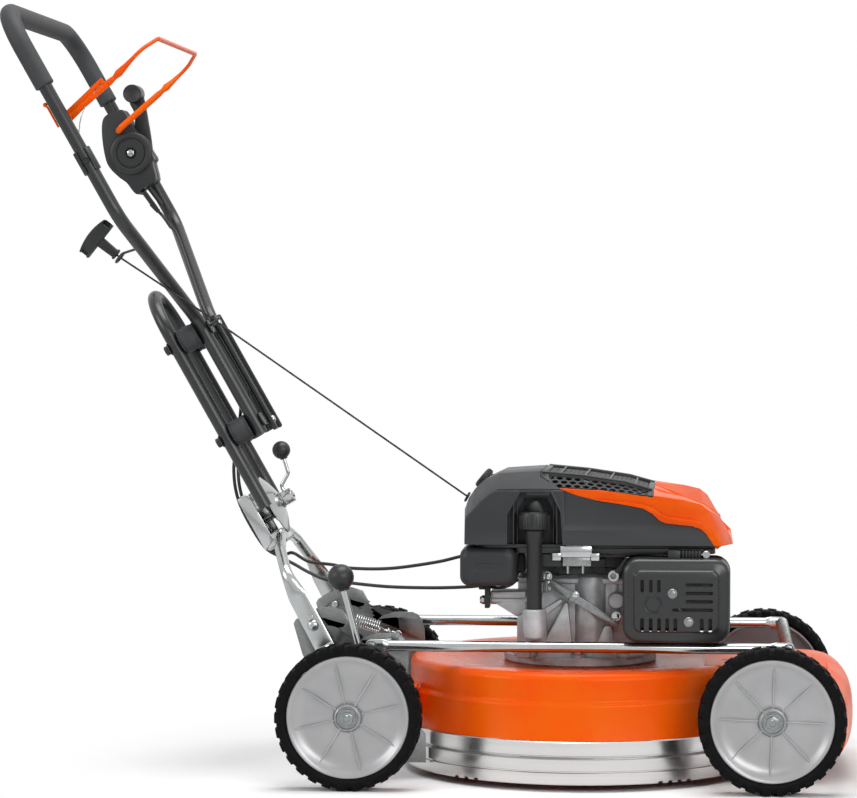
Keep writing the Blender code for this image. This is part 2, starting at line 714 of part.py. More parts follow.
    def engine_block(self):
        """Cast crankcase on its round flange, with the cylinder, ribs and the filler boss."""
        bore = CRANK_RADIUS + RUNNING
        flange = turned(
            "crankcase",
            [
                (bore - 0.001, DECK_FLOOR_Z + GAP), (FLANGE_RADIUS - 0.004, DECK_FLOOR_Z + GAP),
                (FLANGE_RADIUS, DECK_FLOOR_Z + 0.004), (FLANGE_RADIUS, FLANGE_TOP_Z - 0.003),
                (FLANGE_RADIUS - 0.004, FLANGE_TOP_Z), (0.080, FLANGE_TOP_Z), (0.078, CRANKCASE_TOP_Z - 0.012),
                (0.070, CRANKCASE_TOP_Z), (0.036, CRANKCASE_TOP_Z), (0.034, BASE_Z[0] - GAP),
                (bore - 0.001, BASE_Z[0] - GAP),
            ],
            (DECK_X, 0, 0), (0, 0, 1), self.cast, 22, closed=True,
        )
        case_x = (DECK_X - CRANKCASE_HALF_X, DECK_X + CRANKCASE_HALF_X)
        low_z, top_z = FLANGE_TOP_Z - 0.006, CRANKCASE_TOP_Z - 0.008
        walls = prism(
            "case_walls",
            [(case_x[0] + 0.020, -CRANKCASE_HALF_Y), (case_x[1] - 0.020, -CRANKCASE_HALF_Y)]
            + [(case_x[1], -0.060), (case_x[1], 0.060), (case_x[1] - 0.020, CRANKCASE_HALF_Y)]
            + [(case_x[0] + 0.020, CRANKCASE_HALF_Y), (case_x[0], 0.060), (case_x[0], -0.060)],
            low_z, top_z, axis="Z",
        )
        cylinder = box("cylinder", (case_x[1] - 0.030, -0.052, 0.205), (CYLINDER_FRONT_X, 0.052, 0.300))
        fins = [
            box(f"cooling_fin_{k}", (case_x[1] + 0.010 + 0.019 * k, -0.062, 0.198),
                (case_x[1] + 0.016 + 0.019 * k, 0.062, 0.307))
            for k in range(4)
        ]
        ribs = [
            prism(f"case_rib_{k}", [(x - 0.022, low_z), (x + 0.012, low_z), (x + 0.006, 0.250), (x, 0.250)],
                  -CRANKCASE_HALF_Y - 0.014, -CRANKCASE_HALF_Y + 0.004)
            for k, x in enumerate((DECK_X - 0.021, DECK_X + 0.045))
        ]
        boss_x, boss_y = FILLER_PLACE
        boss = prism(
            "filler_boss", [(boss_x - 0.017, 0.212), (boss_x + 0.017, 0.212), (boss_x + 0.017, 0.244)]
            + [(boss_x - 0.017, 0.252)], boss_y - 0.017, -CRANKCASE_HALF_Y + 0.010,
        )
        boss_bore = rod(
            "filler_bore", (boss_x, boss_y, FILLER_TUBE_BOTTOM_Z - GAP), (boss_x, boss_y, 0.300),
            FILLER_TUBE_RADIUS + GAP * 2, steps=18,
        )
        control_arm = prism(
            "control_arm", about_crank([(-0.131, 0.256), (-0.131, 0.272), (-0.077, 0.272), (-0.077, 0.235)]), -0.110, -0.045
        )
        joined(flange, walls, cylinder, *fins, *ribs, boss, control_arm)
        sump = rod(
            "sump", (DECK_X, 0, DECK_FLOOR_Z - 0.010), (DECK_X, 0, SUMP_TOP_Z), SUMP_RADIUS, steps=16,
            phase=math.radians(5),
        )
        cut(flange, boss_bore, sump, rod("crank_bore", (DECK_X, 0, 0.1), (DECK_X, 0, 0.4), bore, steps=18))
        base_outline = rounded_rectangle(
            (DECK_X - 0.149, COVER_NEAR_Y + 0.014), (DECK_X + 0.207, COVER_FAR_Y - 0.006), 0.030
        )
        base = prism("blower_base", base_outline, *BASE_Z, self.black_plastic, axis="Z")
        post_hole = rod("base_bore", (DECK_X, 0, 0.33), (DECK_X, 0, 0.36), CRANK_RADIUS + 0.004, steps=14)
        filler_hole = rod(
            "base_filler_hole", (boss_x, boss_y, 0.33), (boss_x, boss_y, 0.36), FILLER_TUBE_RADIUS + 0.003, steps=12
        )
        cut(base, post_hole, filler_hole)
        low, high = AIR_BOX
        filter_box = prism(
            "air_filter_box", rounded_rectangle((low[0], low[2]), (high[0], high[2]), 0.010), low[1], high[1],
            self.grey_plastic,
        )
        intake = box("intake", (high[0] - 0.030, high[1] - 0.010, 0.296),
                     (DECK_X - CRANKCASE_HALF_X - 0.0004, -0.040, 0.326))
        joined(filter_box, intake)
        self.chassis.hold(flange, base, filter_box)

    def cover_block(self, name, shrink=0.0):
        """The whole outer form of the engine covers, or the hollow inside it."""
        floor = COVER_BOTTOM_Z
        points = []
        for x, z in about_crank(COVER_OUTLINE):
            inward = shrink if x < DECK_X else -shrink
            points.append((x + inward, z - shrink if z > floor + 0.001 else floor - shrink * 3))
        near, far = COVER_NEAR_Y + shrink, COVER_FAR_Y - shrink
        block = prism(name, points, near, far)
        shoulder_z = COVER_CHAMFER_Z - shrink
        slope = 0.55
        top = COVER_CHAMFER_Z + COVER_CHAMFER * slope
        across = [
            (near, floor - 0.020), (near, shoulder_z), (near + COVER_CHAMFER, top - shrink),
            (far - COVER_CHAMFER, top - shrink), (far, shoulder_z), (far, floor - 0.020),
        ]
        return kept_within(block, prism(name + "_section", across, DECK_X - 0.25, DECK_X + 0.30, axis="X"))

    def engine_covers(self):
        """Dark cover, orange hood and top grille, cut from one outer form by their seams."""
        above = [(0.110, 0.500), (0.279, 0.500), (0.279, 0.300), (0.201, 0.300)]
        hood_region = about_crank([*GRILLE_SEAM, *above, *HOOD_EDGE])
        wide = (COVER_NEAR_Y - 0.02, COVER_FAR_Y + 0.02)
        def hollow(name):
            inside = self.cover_block(name, COVER_WALL)
            walls = prism(name + "_recess", about_crank(RECESS_WALL), wide[0], RECESS_Y + COVER_WALL)
            return cut(inside, walls)

        cover = self.cover_block("engine_cover")
        cover.data.materials.append(self.grey_plastic)
        cut(cover, prism("cover_recess", about_crank(RECESS_OUTLINE), wide[0], RECESS_Y), hollow("cover_hollow"))
        cut(cover, prism("cover_seam", about_crank(SEAM_OUTLINE), *wide))
        slope_out = Vector((-0.766, 0.0, 0.643))
        cap_seat = Vector((DECK_X - 0.1475, FUEL_CAP_Y, 0.4205))
        neck = rod(
            "fuel_neck", cap_seat - slope_out * 0.0015, cap_seat + slope_out * FUEL_NECK_HEIGHT, FUEL_NECK_RADIUS
        )
        joined(cover, neck)
        hood = self.cover_block("engine_hood")
        hood.data.materials.append(self.orange_plastic)
        kept_within(hood, prism("hood_region", hood_region, *wide))
        cut(hood, hollow("hood_hollow"))
        grille = self.cover_block("cooling_grille")
        grille.data.materials.append(self.black_plastic)
        kept_within(grille, prism("grille_region", about_crank(GRILLE_OUTLINE), *wide))
        cut(grille, self.cover_block("grille_hollow", COVER_WALL))
        for k in range(5):
            x = DECK_X - 0.035 + 0.026 * k
            cut(grille, box(f"grille_slot_{k}", (x, -0.100, 0.400), (x + 0.013, 0.090, 0.460)))
        post = rod(
            "pulley_post", (DECK_X, 0, PULLEY_Z[0] - 0.002), (DECK_X, 0, 0.4425), PULLEY_POST_RADIUS, steps=16
        )
        bridge = box("post_bridge", (DECK_X - 0.006, -0.112, 0.4405), (DECK_X + 0.006, 0.102, 0.4415))
        joined(grille, post, bridge)
        self.chassis.hold(cover, hood, grille)
        cap = Carrier("fuel_cap_turn", cap_seat, self.chassis)
        cap_base = cap_seat + slope_out * (FUEL_NECK_HEIGHT + GAP)
        fuel_cap = turned(
            "fuel_cap",
            [(0.0, 0.0), (FUEL_CAP_RADIUS, 0.0), (FUEL_CAP_RADIUS, FUEL_CAP_HEIGHT - 0.003)]
            + [(FUEL_CAP_RADIUS - 0.003, FUEL_CAP_HEIGHT), (0.0, FUEL_CAP_HEIGHT)],
            cap_base, slope_out, self.black_plastic, 20,
        )
        cap.hold(fuel_cap)

    def filler_and_caps(self):
        """Oil filler tube with its wing-gripped cap and dipstick."""
        x, y = FILLER_PLACE
        bottom, top = FILLER_TUBE_BOTTOM_Z, FILLER_TUBE_TOP_Z
        wall = 0.0025
        tube_profile = [
            (FILLER_TUBE_RADIUS, bottom), (FILLER_TUBE_RADIUS, top), (FILLER_TUBE_RADIUS - wall, top),
            (FILLER_TUBE_RADIUS - wall, bottom),
        ]
        filler = turned("oil_filler_tube", tube_profile, (x, y, 0), (0, 0, 1), self.black_plastic, 20, closed=True)
        self.chassis.hold(filler)
        turn = Carrier("oil_cap_turn", (x, y, top), self.chassis)
        low = top + GAP
        stick = FILLER_TUBE_RADIUS - wall - 0.004
        cap = turned(
            "oil_cap",
            [
                (0.0, bottom + 0.015), (stick, bottom + 0.015), (stick, low), (OIL_CAP_RADIUS - 0.004, low),
                (OIL_CAP_RADIUS, low + 0.003), (OIL_CAP_RADIUS, low + OIL_CAP_HEIGHT - 0.002),
                (OIL_CAP_RADIUS - 0.002, low + OIL_CAP_HEIGHT), (0.0, low + OIL_CAP_HEIGHT),
            ],
            (x, y, 0), (0, 0, 1), self.black_plastic, 18,
        )
        wing = prism(
            "oil_cap_wing",
            [(x - 0.017, low + 0.012), (x + 0.017, low + 0.012), (x + 0.014, low + OIL_CAP_HEIGHT + OIL_CAP_WING)]
            + [(x - 0.012, low + OIL_CAP_HEIGHT + OIL_CAP_WING - 0.010)],
            y - 0.004, y + 0.004,
        )
        joined(cap, wing)
        turn.hold(cap)

    def exhaust(self):
        """Muffler box with its pipe to the cylinder, under a slotted guard."""
        low_x, high_x = GUARD_X[0] + 0.016, GUARD_X[1] - 0.016
        front = GUARD_Y[0] + GUARD_WALL + 0.0005
        outline = rounded_rectangle((low_x, GUARD_Z[0] + 0.018), (high_x, GUARD_Z[1] - 0.018), 0.014, 2)
        muffler = prism("muffler", outline, front, GUARD_Y[1] - 0.006, self.bright)
        pipe_x = DECK_X + 0.149
        pipe = rod(
            "exhaust_pipe", (pipe_x, GUARD_Y[1] - 0.010, 0.262), (pipe_x, -0.062 - GAP, 0.262), 0.014, steps=12
        )
        joined(muffler, pipe)
        corner = rounded_rectangle((GUARD_X[0], GUARD_Z[0]), (GUARD_X[1], GUARD_Z[1]), GUARD_CORNER)
        guard = prism("muffler_guard", corner, *GUARD_Y, self.black_plastic)
        inside = rounded_rectangle(
            (GUARD_X[0] + GUARD_WALL, GUARD_Z[0] + GUARD_WALL), (GUARD_X[1] - GUARD_WALL, GUARD_Z[1] - GUARD_WALL),
            GUARD_CORNER - GUARD_WALL,
        )
        cut(guard, prism("guard_hollow", inside, GUARD_Y[0] + GUARD_WALL, GUARD_Y[1] + 0.02))
        rear = GUARD_X[0]
        slots = [((rear + 0.0255 + 0.0118 * k, 0.281), (rear + 0.0305 + 0.0118 * k, 0.298)) for k in range(3)]
        slots += [((rear + 0.0270 + 0.0120 * k, 0.223), (rear + 0.0325 + 0.0120 * k, 0.243)) for k in range(5)]
        slots += [((rear + 0.1105 + 0.0125 * k, 0.223), (rear + 0.1160 + 0.0125 * k, 0.243)) for k in range(2)]
        slots += [((rear + 0.0885, 0.2525 + 0.0122 * k), (rear + 0.1285, 0.2575 + 0.0122 * k)) for k in range(4)]
        for k, (low, high) in enumerate(slots):
            low_corner = (low[0], GUARD_Y[0] - 0.01, low[1])
            cut(guard, box(f"guard_slot_{k}", low_corner, (high[0], front - 0.0002, high[1])))
        bracket = box(
            "guard_foot", (rear + 0.052, GUARD_Y[1] - 0.004, GUARD_Z[1] - 0.0024),
            (rear + 0.112, GUARD_Y[1] + 0.010, BASE_Z[0] - GAP),
        )
        joined(guard, bracket)
        self.chassis.hold(muffler, guard)

    def rotor(self):
        """Crankshaft with flywheel above and the knife below, and the starter pulley over it."""
        spin = Carrier("blade_spin", (DECK_X, 0, CRANK_BOTTOM_Z), self.chassis)
        centre, up = (DECK_X, 0, 0), (0, 0, 1)
        hole_top = CRANK_BOTTOM_Z + BLADE_BOLT_GRIP
        hole = BLADE_BOLT_RADIUS + GAP
        shaft = turned(
            "crankshaft",
            [(0.0, hole_top), (hole, hole_top), (hole, CRANK_BOTTOM_Z), (CRANK_RADIUS, CRANK_BOTTOM_Z)]
            + [(CRANK_RADIUS, CRANK_TOP_Z), (0.0, CRANK_TOP_Z)],
            centre, up, self.bright, 20,
        )
        bore = CRANK_RADIUS + GAP
        flywheel = turned(
            "flywheel",
            [(bore, FLYWHEEL_Z[0]), (FLYWHEEL_RADIUS, FLYWHEEL_Z[0]), (FLYWHEEL_RADIUS, FLYWHEEL_Z[1])]
            + [(FLYWHEEL_RADIUS - 0.010, FLYWHEEL_Z[1]), (FLYWHEEL_RADIUS - 0.016, FLYWHEEL_Z[0] + 0.006)]
            + [(0.030, FLYWHEEL_Z[0] + 0.006), (0.026, FLYWHEEL_Z[1] + 0.003), (bore, FLYWHEEL_Z[1] + 0.003)],
            centre, up, self.cast, 20, closed=True,
        )
        holder_bottom = CRANK_BOTTOM_Z
        holder = turned(
            "blade_holder",
            [(bore, holder_bottom), (HOLDER_RADIUS + 0.006, holder_bottom), (HOLDER_RADIUS + 0.006, holder_bottom + 0.008)]
            + [(HOLDER_RADIUS - 0.004, holder_bottom + 0.010), (HOLDER_RADIUS - 0.004, holder_bottom + HOLDER_LENGTH)]
            + [(bore, holder_bottom + HOLDER_LENGTH)],
            centre, up, self.cast, 20, closed=True,
        )
        top = CRANK_BOTTOM_Z - GAP
        bottom = top - BLADE_THICKNESS
        flat = BLADE_RADIUS - BLADE_WING
        side = [
            (DECK_X - BLADE_RADIUS, bottom + BLADE_WING_LIFT), (DECK_X - flat, bottom), (DECK_X + flat, bottom),
            (DECK_X + BLADE_RADIUS, bottom + BLADE_WING_LIFT), (DECK_X + BLADE_RADIUS, top + BLADE_WING_LIFT),
            (DECK_X + flat, top), (DECK_X - flat, top), (DECK_X - BLADE_RADIUS, top + BLADE_WING_LIFT),
        ]
        blade = prism("blade", side, -BLADE_WIDTH / 2, BLADE_WIDTH / 2, self.bright)
        cut(blade, rod("blade_hole", (DECK_X, 0, 0.0), (DECK_X, 0, 0.06), hole))
        head_top = bottom - GAP
        bolt = turned(
            "blade_bolt",
            [(0.0, head_top - BLADE_BOLT_HEAD), (BLADE_BOLT_HEAD_RADIUS, head_top - BLADE_BOLT_HEAD)]
            + [(BLADE_BOLT_HEAD_RADIUS, head_top), (BLADE_BOLT_RADIUS, head_top)]
            + [(BLADE_BOLT_RADIUS, hole_top - GAP), (0.0, hole_top - GAP)],
            centre, up, self.zinc, 12,
        )
        spin.hold(shaft, flywheel, holder, blade, bolt)
        wind = Carrier("starter_pulley_spin", (DECK_X, 0, PULLEY_Z[0]), self.chassis)
        pulley_bore = PULLEY_POST_RADIUS + RUNNING
        low, high = PULLEY_Z
        pulley = turned(
            "starter_pulley",
            [(pulley_bore, low), (PULLEY_RADIUS, low), (PULLEY_RADIUS - 0.006, (low + high) / 2)]
            + [(PULLEY_RADIUS, high), (pulley_bore, high)],
            centre, up, self.black_plastic, 24, closed=True,
        )
        wind.hold(pulley)

    def height_adjustment(self):
        """Two cranked shafts joined by side tubes, and the lever that turns them."""
        carriers = {}
        for name, axle_x in (("rear", 0.0), ("front", WHEELBASE)):
            pivot = (axle_x + PIVOT_FORWARD, PIVOT_HEIGHT)
            bolt = (axle_x + LINK_BOLT_FORWARD, LINK_BOLT_HEIGHT)
            axle = (axle_x, AXLE_HEIGHT)
            carrier = Carrier(f"{name}_height", side_point(pivot, 0.0), self.chassis)
            carriers[name] = carrier
            inner_end = ARM_Y + 0.002
            shaft = rod(
                f"{name}_axle_carrier", side_point(pivot, -inner_end), side_point(pivot, inner_end), SHAFT_RADIUS,
                self.zinc,
            )
            for side in (-1, 1):
                low_y, high_y = sorted((side * ARM_Y, side * (ARM_Y + ARM_THICKNESS)))
                to_axle = prism(f"{name}_axle_arm_{side}", capsule(pivot, axle, 0.016), low_y, high_y)
                inset = 0.0005
                to_link = prism(
                    f"{name}_link_arm_{side}", capsule(pivot, bolt, 0.009), low_y + inset, high_y - inset
                )
                axle_end = WHEEL_MIDDLE_Y + TYRE_WIDTH / 2 + 0.0045
                stub = rod(
                    f"{name}_stub_{side}", side_point(axle, side * (ARM_Y + 0.001)),
                    side_point(axle, side * axle_end), AXLE_RADIUS, steps=10,
                )
                pin_end = ARM_Y + ARM_THICKNESS + GAP * 2 + LINK_END_THICKNESS
                pin = rod(
                    f"{name}_link_pin_{side}", side_point(bolt, side * (ARM_Y + 0.001)),
                    side_point(bolt, side * (pin_end + 0.0035)), LINK_BOLT_RADIUS, steps=8,
                )
                pin_head = hexagon_rod(
                    f"{name}_pin_head_{side}", side_point(bolt, side * pin_end),
                    side_point(bolt, side * (pin_end + 0.0040)), LINK_BOLT_RADIUS * 1.75,
                )
                joined(shaft, to_axle, to_link, stub, pin, pin_head)
            if name == "rear":
                spring_arm = prism(
                    "spring_arm", capsule(pivot, SPRING_REAR, 0.006), SPRING_Y - 0.0045, SPRING_Y - 0.0015
                )
                spring_post = rod(
                    "spring_post", side_point(SPRING_REAR, SPRING_Y - 0.003),
                    side_point(SPRING_REAR, SPRING_Y + 0.006), SPRING_PIN_RADIUS, steps=10,
                )
                joined(shaft, spring_arm, spring_post)
            carrier.hold(shaft)
        for side, name in ((-1, "link_tube_right"), (1, "link_tube_left")):
            self.link_tube(side, name, carriers["rear"])
        foot = side_point(LEVER_FOOT, -LEVER_Y)
        lever = tube(
            "height_lever",
            rounded([side_point(LEVER_FOOT, -(ARM_Y + ARM_THICKNESS + GAP)), foot,
                     side_point((0.0100, 0.1900), -LEVER_Y), side_point(LEVER_TOP, -LEVER_Y)], 0.008, 3),
            LEVER_RADIUS, self.bright,
        )
        knob = ball("height_lever_knob", side_point(LEVER_BALL, -LEVER_Y), LEVER_BALL_RADIUS, self.black_plastic, 14)
        lever_way = (side_point(LEVER_TOP, -LEVER_Y) - side_point((0.0100, 0.1900), -LEVER_Y)).normalized()
        socket_end = side_point(LEVER_TOP, -LEVER_Y) + lever_way * GAP
        cut(knob, rod("knob_socket", socket_end - lever_way * 0.03, socket_end, LEVER_RADIUS + GAP * 2, steps=12))
        carriers["rear"].hold(lever, knob)
        self.assist_spring(carriers["rear"])
        self.carriers = carriers

    def link_tube(self, side, name, parent):
        bolt = (LINK_BOLT_FORWARD, LINK_BOLT_HEIGHT)
        far_bolt = (LINK_BOLT_FORWARD + WHEELBASE, LINK_BOLT_HEIGHT)
        inner = ARM_Y + ARM_THICKNESS + GAP
        outer = inner + LINK_END_THICKNESS
        middle = (inner + outer) / 2
        start, end = bolt[0] + LINK_TUBE_CRIMP, far_bolt[0] - LINK_TUBE_CRIMP
        bar = rod(
            name, (start, side * middle, LINK_BOLT_HEIGHT), (end, side * middle, LINK_BOLT_HEIGHT), LINK_TUBE_RADIUS,
            self.bright,
        )
        low_y, high_y = sorted((side * inner, side * outer))
        for k, place in enumerate((bolt, far_bolt)):
            inward = (place[0] + (0.028 if k == 0 else -0.028), place[1])
            end_plate = prism(f"{name}_end_{k}", capsule(place, inward, LINK_END_RADIUS), low_y, high_y)
            joined(bar, end_plate)
            cut(bar, rod(
                f"{name}_hole_{k}", side_point(place, side * (inner - 0.01)), side_point(place, side * (outer + 0.01)),
                LINK_BOLT_RADIUS + RUNNING, steps=12,
            ))
        pivot = Carrier(f"{name}_pivot", side_point(bolt, side * middle), parent)
        pivot.hold(bar)

    def assist_spring(self, parent):
        """One unbroken wire: an eye, the coil and a second eye."""
        rear, front = side_point(SPRING_REAR, SPRING_Y), side_point(SPRING_FRONT, SPRING_Y)
        along = (front - rear).normalized()
        across = Vector((0, 1, 0))
        up = across.cross(along)
        coil_length = SPRING_TURNS * SPRING_PITCH
        middle = (rear + front) / 2
        coil_start = middle - along * (coil_length / 2)
        eye = SPRING_PIN_RADIUS + SPRING_WIRE_RADIUS + GAP

        def eye_points(centre, facing, toward_coil):
            turns = [math.radians(-140 + 280 * k / 6) for k in range(7)]
            return [centre - facing * eye * math.cos(t) + up * eye * math.sin(t) * toward_coil for t in turns]

        path = eye_points(rear, along, 1)
        path.append(coil_start - along * 0.004 + up * SPRING_COIL_RADIUS * 0.5)
        for k in range(SPRING_TURNS * SPRING_POINTS_PER_TURN + 1):
            turn = math.tau * k / SPRING_POINTS_PER_TURN
            path.append(
                coil_start + along * (coil_length * k / (SPRING_TURNS * SPRING_POINTS_PER_TURN))
                + up * SPRING_COIL_RADIUS * math.cos(turn) + across * SPRING_COIL_RADIUS * math.sin(turn)
            )
        path.append(coil_start + along * (coil_length + 0.004) + up * SPRING_COIL_RADIUS * 0.5)
        path += list(reversed(eye_points(front, -along, 1)))
        gap = least_gap(path, SPRING_WIRE_RADIUS, SPRING_POINTS_PER_TURN // 2 + 1)
        print(f"assist spring: least gap to itself {gap * 1000:.2f} mm")
        spring = wire_curve("height_spring", path, SPRING_WIRE_RADIUS, self.bright, resolution=1)
        parent.hold(spring)

    def wheels(self):
        """Four wheels of tyre and dished disc, each held by a washer and a nut."""
        rim_radius = WHEEL_RADIUS - TYRE_DEPTH
        for end, axle_x in (("rear", 0.0), ("front", WHEELBASE)):
            for side, hand in ((-1, "right"), (1, "left")):
                name = f"{end}_{hand}"
                middle = (axle_x, side * WHEEL_MIDDLE_Y, AXLE_HEIGHT)
                outward = (0, side, 0)
                tyre = self.tyre(f"tyre_{name}", middle, outward, rim_radius)
                half = HUB_LENGTH / 2
                bore = AXLE_RADIUS + RUNNING
                seat = rim_radius - GAP
                disc = turned(
                    f"wheel_disc_{name}",
                    [
                        (bore, half), (HUB_RADIUS, half), (HUB_RADIUS + 0.002, 0.009), (rim_radius - 0.024, 0.006),
                        (rim_radius - 0.007, 0.0150), (seat, 0.0150), (seat, -0.0180), (rim_radius - 0.005, -0.0180),
                        (rim_radius - 0.012, 0.0010), (HUB_RADIUS - 0.002, -half),
                        (bore, -half),
                    ],
                    middle, outward, self.rim_plastic, LUGS_PER_ROW * 2, closed=True,
                    phase=math.pi / (LUGS_PER_ROW * 2),
                )
                wheel = Carrier(f"wheel_{name}_spin", middle, self.carriers[end])
                wheel.hold(tyre, disc)
                nut = self.wheel_nut(f"wheel_nut_{name}", middle, side)
                self.carriers[end].hold(nut)

    def tyre(self, name, middle, outward, rim_radius):
        half = TYRE_WIDTH / 2
        steps = LUGS_PER_ROW * 2
        tread = (WHEEL_RADIUS - LUG_HEIGHT) / math.cos(math.pi / steps)
        profile = [
            (rim_radius, half - 0.006), (rim_radius + 0.006, half), (tread, half - 0.001), (tread, 0.0),
            (tread, -half + 0.001), (rim_radius + 0.006, -half), (rim_radius, -half + 0.006),
        ]
        half_step = math.pi / steps
        made = turned(
            name, profile, (0, 0, 0), (0, 0, 1), self.tyre_rubber, steps, closed=True, phase=half_step
        )
        bm = bmesh.new()
        bm.from_mesh(made.data)
        lugs = []
        for face in bm.faces:
            spot = face.calc_center_median()
            if math.hypot(spot.x, spot.y) < tread - 0.003:
                continue
            slot = int(((math.atan2(spot.y, spot.x) - half_step) % math.tau) / (math.tau / steps))
            if slot % 2 == (0 if spot.z > 0 else 1):
                lugs.append(face)
        bmesh.ops.inset_individual(bm, faces=lugs, thickness=0.0012, depth=LUG_HEIGHT)
        turn = Vector((0, 0, 1)).rotation_difference(Vector(outward)).to_matrix().to_4x4()
        bmesh.ops.transform(bm, matrix=Matrix.Translation(middle) @ turn, verts=bm.verts)
        bm.to_mesh(made.data)
        bm.free()
        return made

    def wheel_nut(self, name, middle, side):
        """Washer and nut on the axle's outer end, as one piece."""
        start = HUB_LENGTH / 2 + GAP
        bore = AXLE_RADIUS + GAP
        washer = turned(
            name,
            [(bore - 0.001, start), (WASHER_RADIUS, start), (WASHER_RADIUS, start + WASHER_THICKNESS)]
            + [(bore - 0.001, start + WASHER_THICKNESS)],
            middle, (0, side, 0), self.zinc, 12, closed=True,
        )
        centre = Vector(middle)
        outward = Vector((0, side, 0))
        nut = hexagon_rod(
            name + "_hex", centre + outward * (start + WASHER_THICKNESS / 2),
            centre + outward * (start + WASHER_THICKNESS + NUT_THICKNESS), NUT_RADIUS * 1.25,
        )
        hole = rod(name + "_hole", centre, centre + outward * 0.05, bore, steps=12)
        return cut(joined(washer, nut), hole)

    def fork_and_clamp(self):
        """Silver lower handle: two legs with flattened feet, a head and the clamp on it."""
        pivot = side_point(FORK_PIVOT, 0.0)
        self.fork_carrier = Carrier("fork_fold", pivot, self.chassis)
        head = self.handle_block("fork", (-0.160, -0.050, HEAD_PLATE_OUT + 0.001), (-0.132, 0.050, -0.0450), self.zinc)
        web = self.handle_block(
            "fork_web", (-0.152, -0.040, HEAD_PLATE_OUT), (-0.077, 0.040, HEAD_PLATE_OUT + HEAD_PLATE_THICKNESS)
        )
        disc_back = -HOOP_SPACING + TONGUE_THICKNESS / 2 + GAP
        tongue_back = -HOOP_SPACING - TONGUE_THICKNESS / 2
        boss = rod(
            "fork_boss", on_handle(CLAMP_ALONG, 0, HEAD_PLATE_OUT + 0.001), on_handle(CLAMP_ALONG, 0, tongue_back - GAP),
            0.020,
        )
        joined(head, web, boss)
        for side in (-1, 1):
            path = rounded(
                [
                    on_handle(-0.146, side * 0.030, -0.0580), on_handle(-0.150, side * 0.050, -0.0530),
                    Vector((-0.1165, side * 0.100, 0.329)), Vector((-0.1010, side * 0.1500, 0.297)),
                    Vector((-0.0800, side * (FORK_BLADE_Y + 0.002), 0.2570)),
                ],
                0.030, 3,
            )
            leg = tube(f"fork_leg_{side}", path, FORK_TUBE_RADIUS)
            low_y, high_y = sorted((side * FORK_BLADE_Y, side * (FORK_BLADE_Y + FORK_BLADE_THICKNESS)))
            way = (Vector(FORK_PIVOT) - Vector(FORK_BLADE_TOP)).normalized()
            across = Vector((-way.y, way.x))
            top, foot_centre = Vector(FORK_BLADE_TOP), Vector(FORK_PIVOT)
            wide_from = top + way * 0.040
            half = FORK_BLADE_WIDTH / 2
            heading = math.degrees(math.atan2(way.y, way.x))
            outline = [tuple(top - across * 0.008), tuple(wide_from - across * half)] + arc_points(
                foot_centre, half, heading - 90, heading + 90, 6
            ) + [tuple(wide_from + across * half), tuple(top + across * 0.008)]
            blade = prism(f"fork_blade_{side}", outline, low_y, high_y)
            outside = FORK_BLADE_Y + FORK_BLADE_THICKNESS
            inside = BRACKET_Y - 0.006
            pins = []
            for k, place in enumerate((FORK_PIVOT, FORK_SLOT_BOLT)):
                pins.append(rod(
                    f"fork_pin_{side}_{k}", side_point(place, side * inside), side_point(place, side * outside),
                    FORK_BOLT_RADIUS, steps=8,
                ))
                pins.append(rod(
                    f"fork_pin_head_{side}_{k}", side_point(place, side * (outside - 0.001)),
                    side_point(place, side * (outside + 0.005)), 0.0090, steps=8,
                ))
            joined(head, leg, blade, *pins)
        bolt_line = (on_handle(CLAMP_ALONG, 0, -0.100), on_handle(CLAMP_ALONG, 0, 0.0))
        cut(head, rod("fork_bolt_hole", *bolt_line, CLAMP_BOLT_RADIUS + RUNNING, steps=12))
        self.fork_carrier.hold(head)
        disc = turned(
            "clamp_disc",
            [
                (CLAMP_BOLT_RADIUS + RUNNING, 0.0), (CLAMP_DISC_RADIUS, 0.0),
                (CLAMP_DISC_RADIUS, CLAMP_DISC_EDGE * 0.5), (CLAMP_DISC_RADIUS * 0.7, CLAMP_DISC_EDGE + 0.004),
                (CLAMP_DISC_RADIUS * 0.35, CLAMP_DISC_CROWN), (CLAMP_BOLT_RADIUS + RUNNING, CLAMP_DISC_CROWN),
            ],
            on_handle(CLAMP_ALONG, 0, disc_back), OUT_OF_HANDLE, self.bright, 20, closed=True,
        )
        self.fork_carrier.hold(disc)
        self.swing_carrier = Carrier("handle_swing", on_handle(CLAMP_ALONG, 0, 0), self.fork_carrier)
        clamp = Carrier("clamp_turn", on_handle(CLAMP_ALONG, 0, disc_back + CLAMP_DISC_CROWN), self.fork_carrier)
        nut_low = disc_back + CLAMP_DISC_CROWN + GAP
        head_low, head_high = HEAD_PLATE_OUT - 0.0065, HEAD_PLATE_OUT - GAP
        bolt = turned(
            "clamp_lever",
            [
                (0.0, head_low), (0.0090, head_low), (0.0090, head_high), (CLAMP_BOLT_RADIUS, head_high),
                (CLAMP_BOLT_RADIUS, nut_low), (CLAMP_NUT_RADIUS, nut_low),
                (CLAMP_NUT_RADIUS, nut_low + CLAMP_NUT_HEIGHT), (0.0, nut_low + CLAMP_NUT_HEIGHT),
            ],
            on_handle(CLAMP_ALONG, 0, 0), OUT_OF_HANDLE, self.bright, 12,
        )
        arm = tube(
            "clamp_arm",
            rounded(
                [
                    on_handle(CLAMP_ALONG + 0.004, 0, -0.0240), on_handle(-0.0840, 0, -0.0235),
                    Vector((-0.1150, 0, 0.4351)), Vector((-0.1240, 0, 0.4600)),
                ],
                0.010, 3,
            ),
            0.0040,
        )
        joined(bolt, arm)
        knob = ball("clamp_knob", (-0.1268, 0, 0.4693), CLAMP_BALL_RADIUS, self.black_plastic, 12)
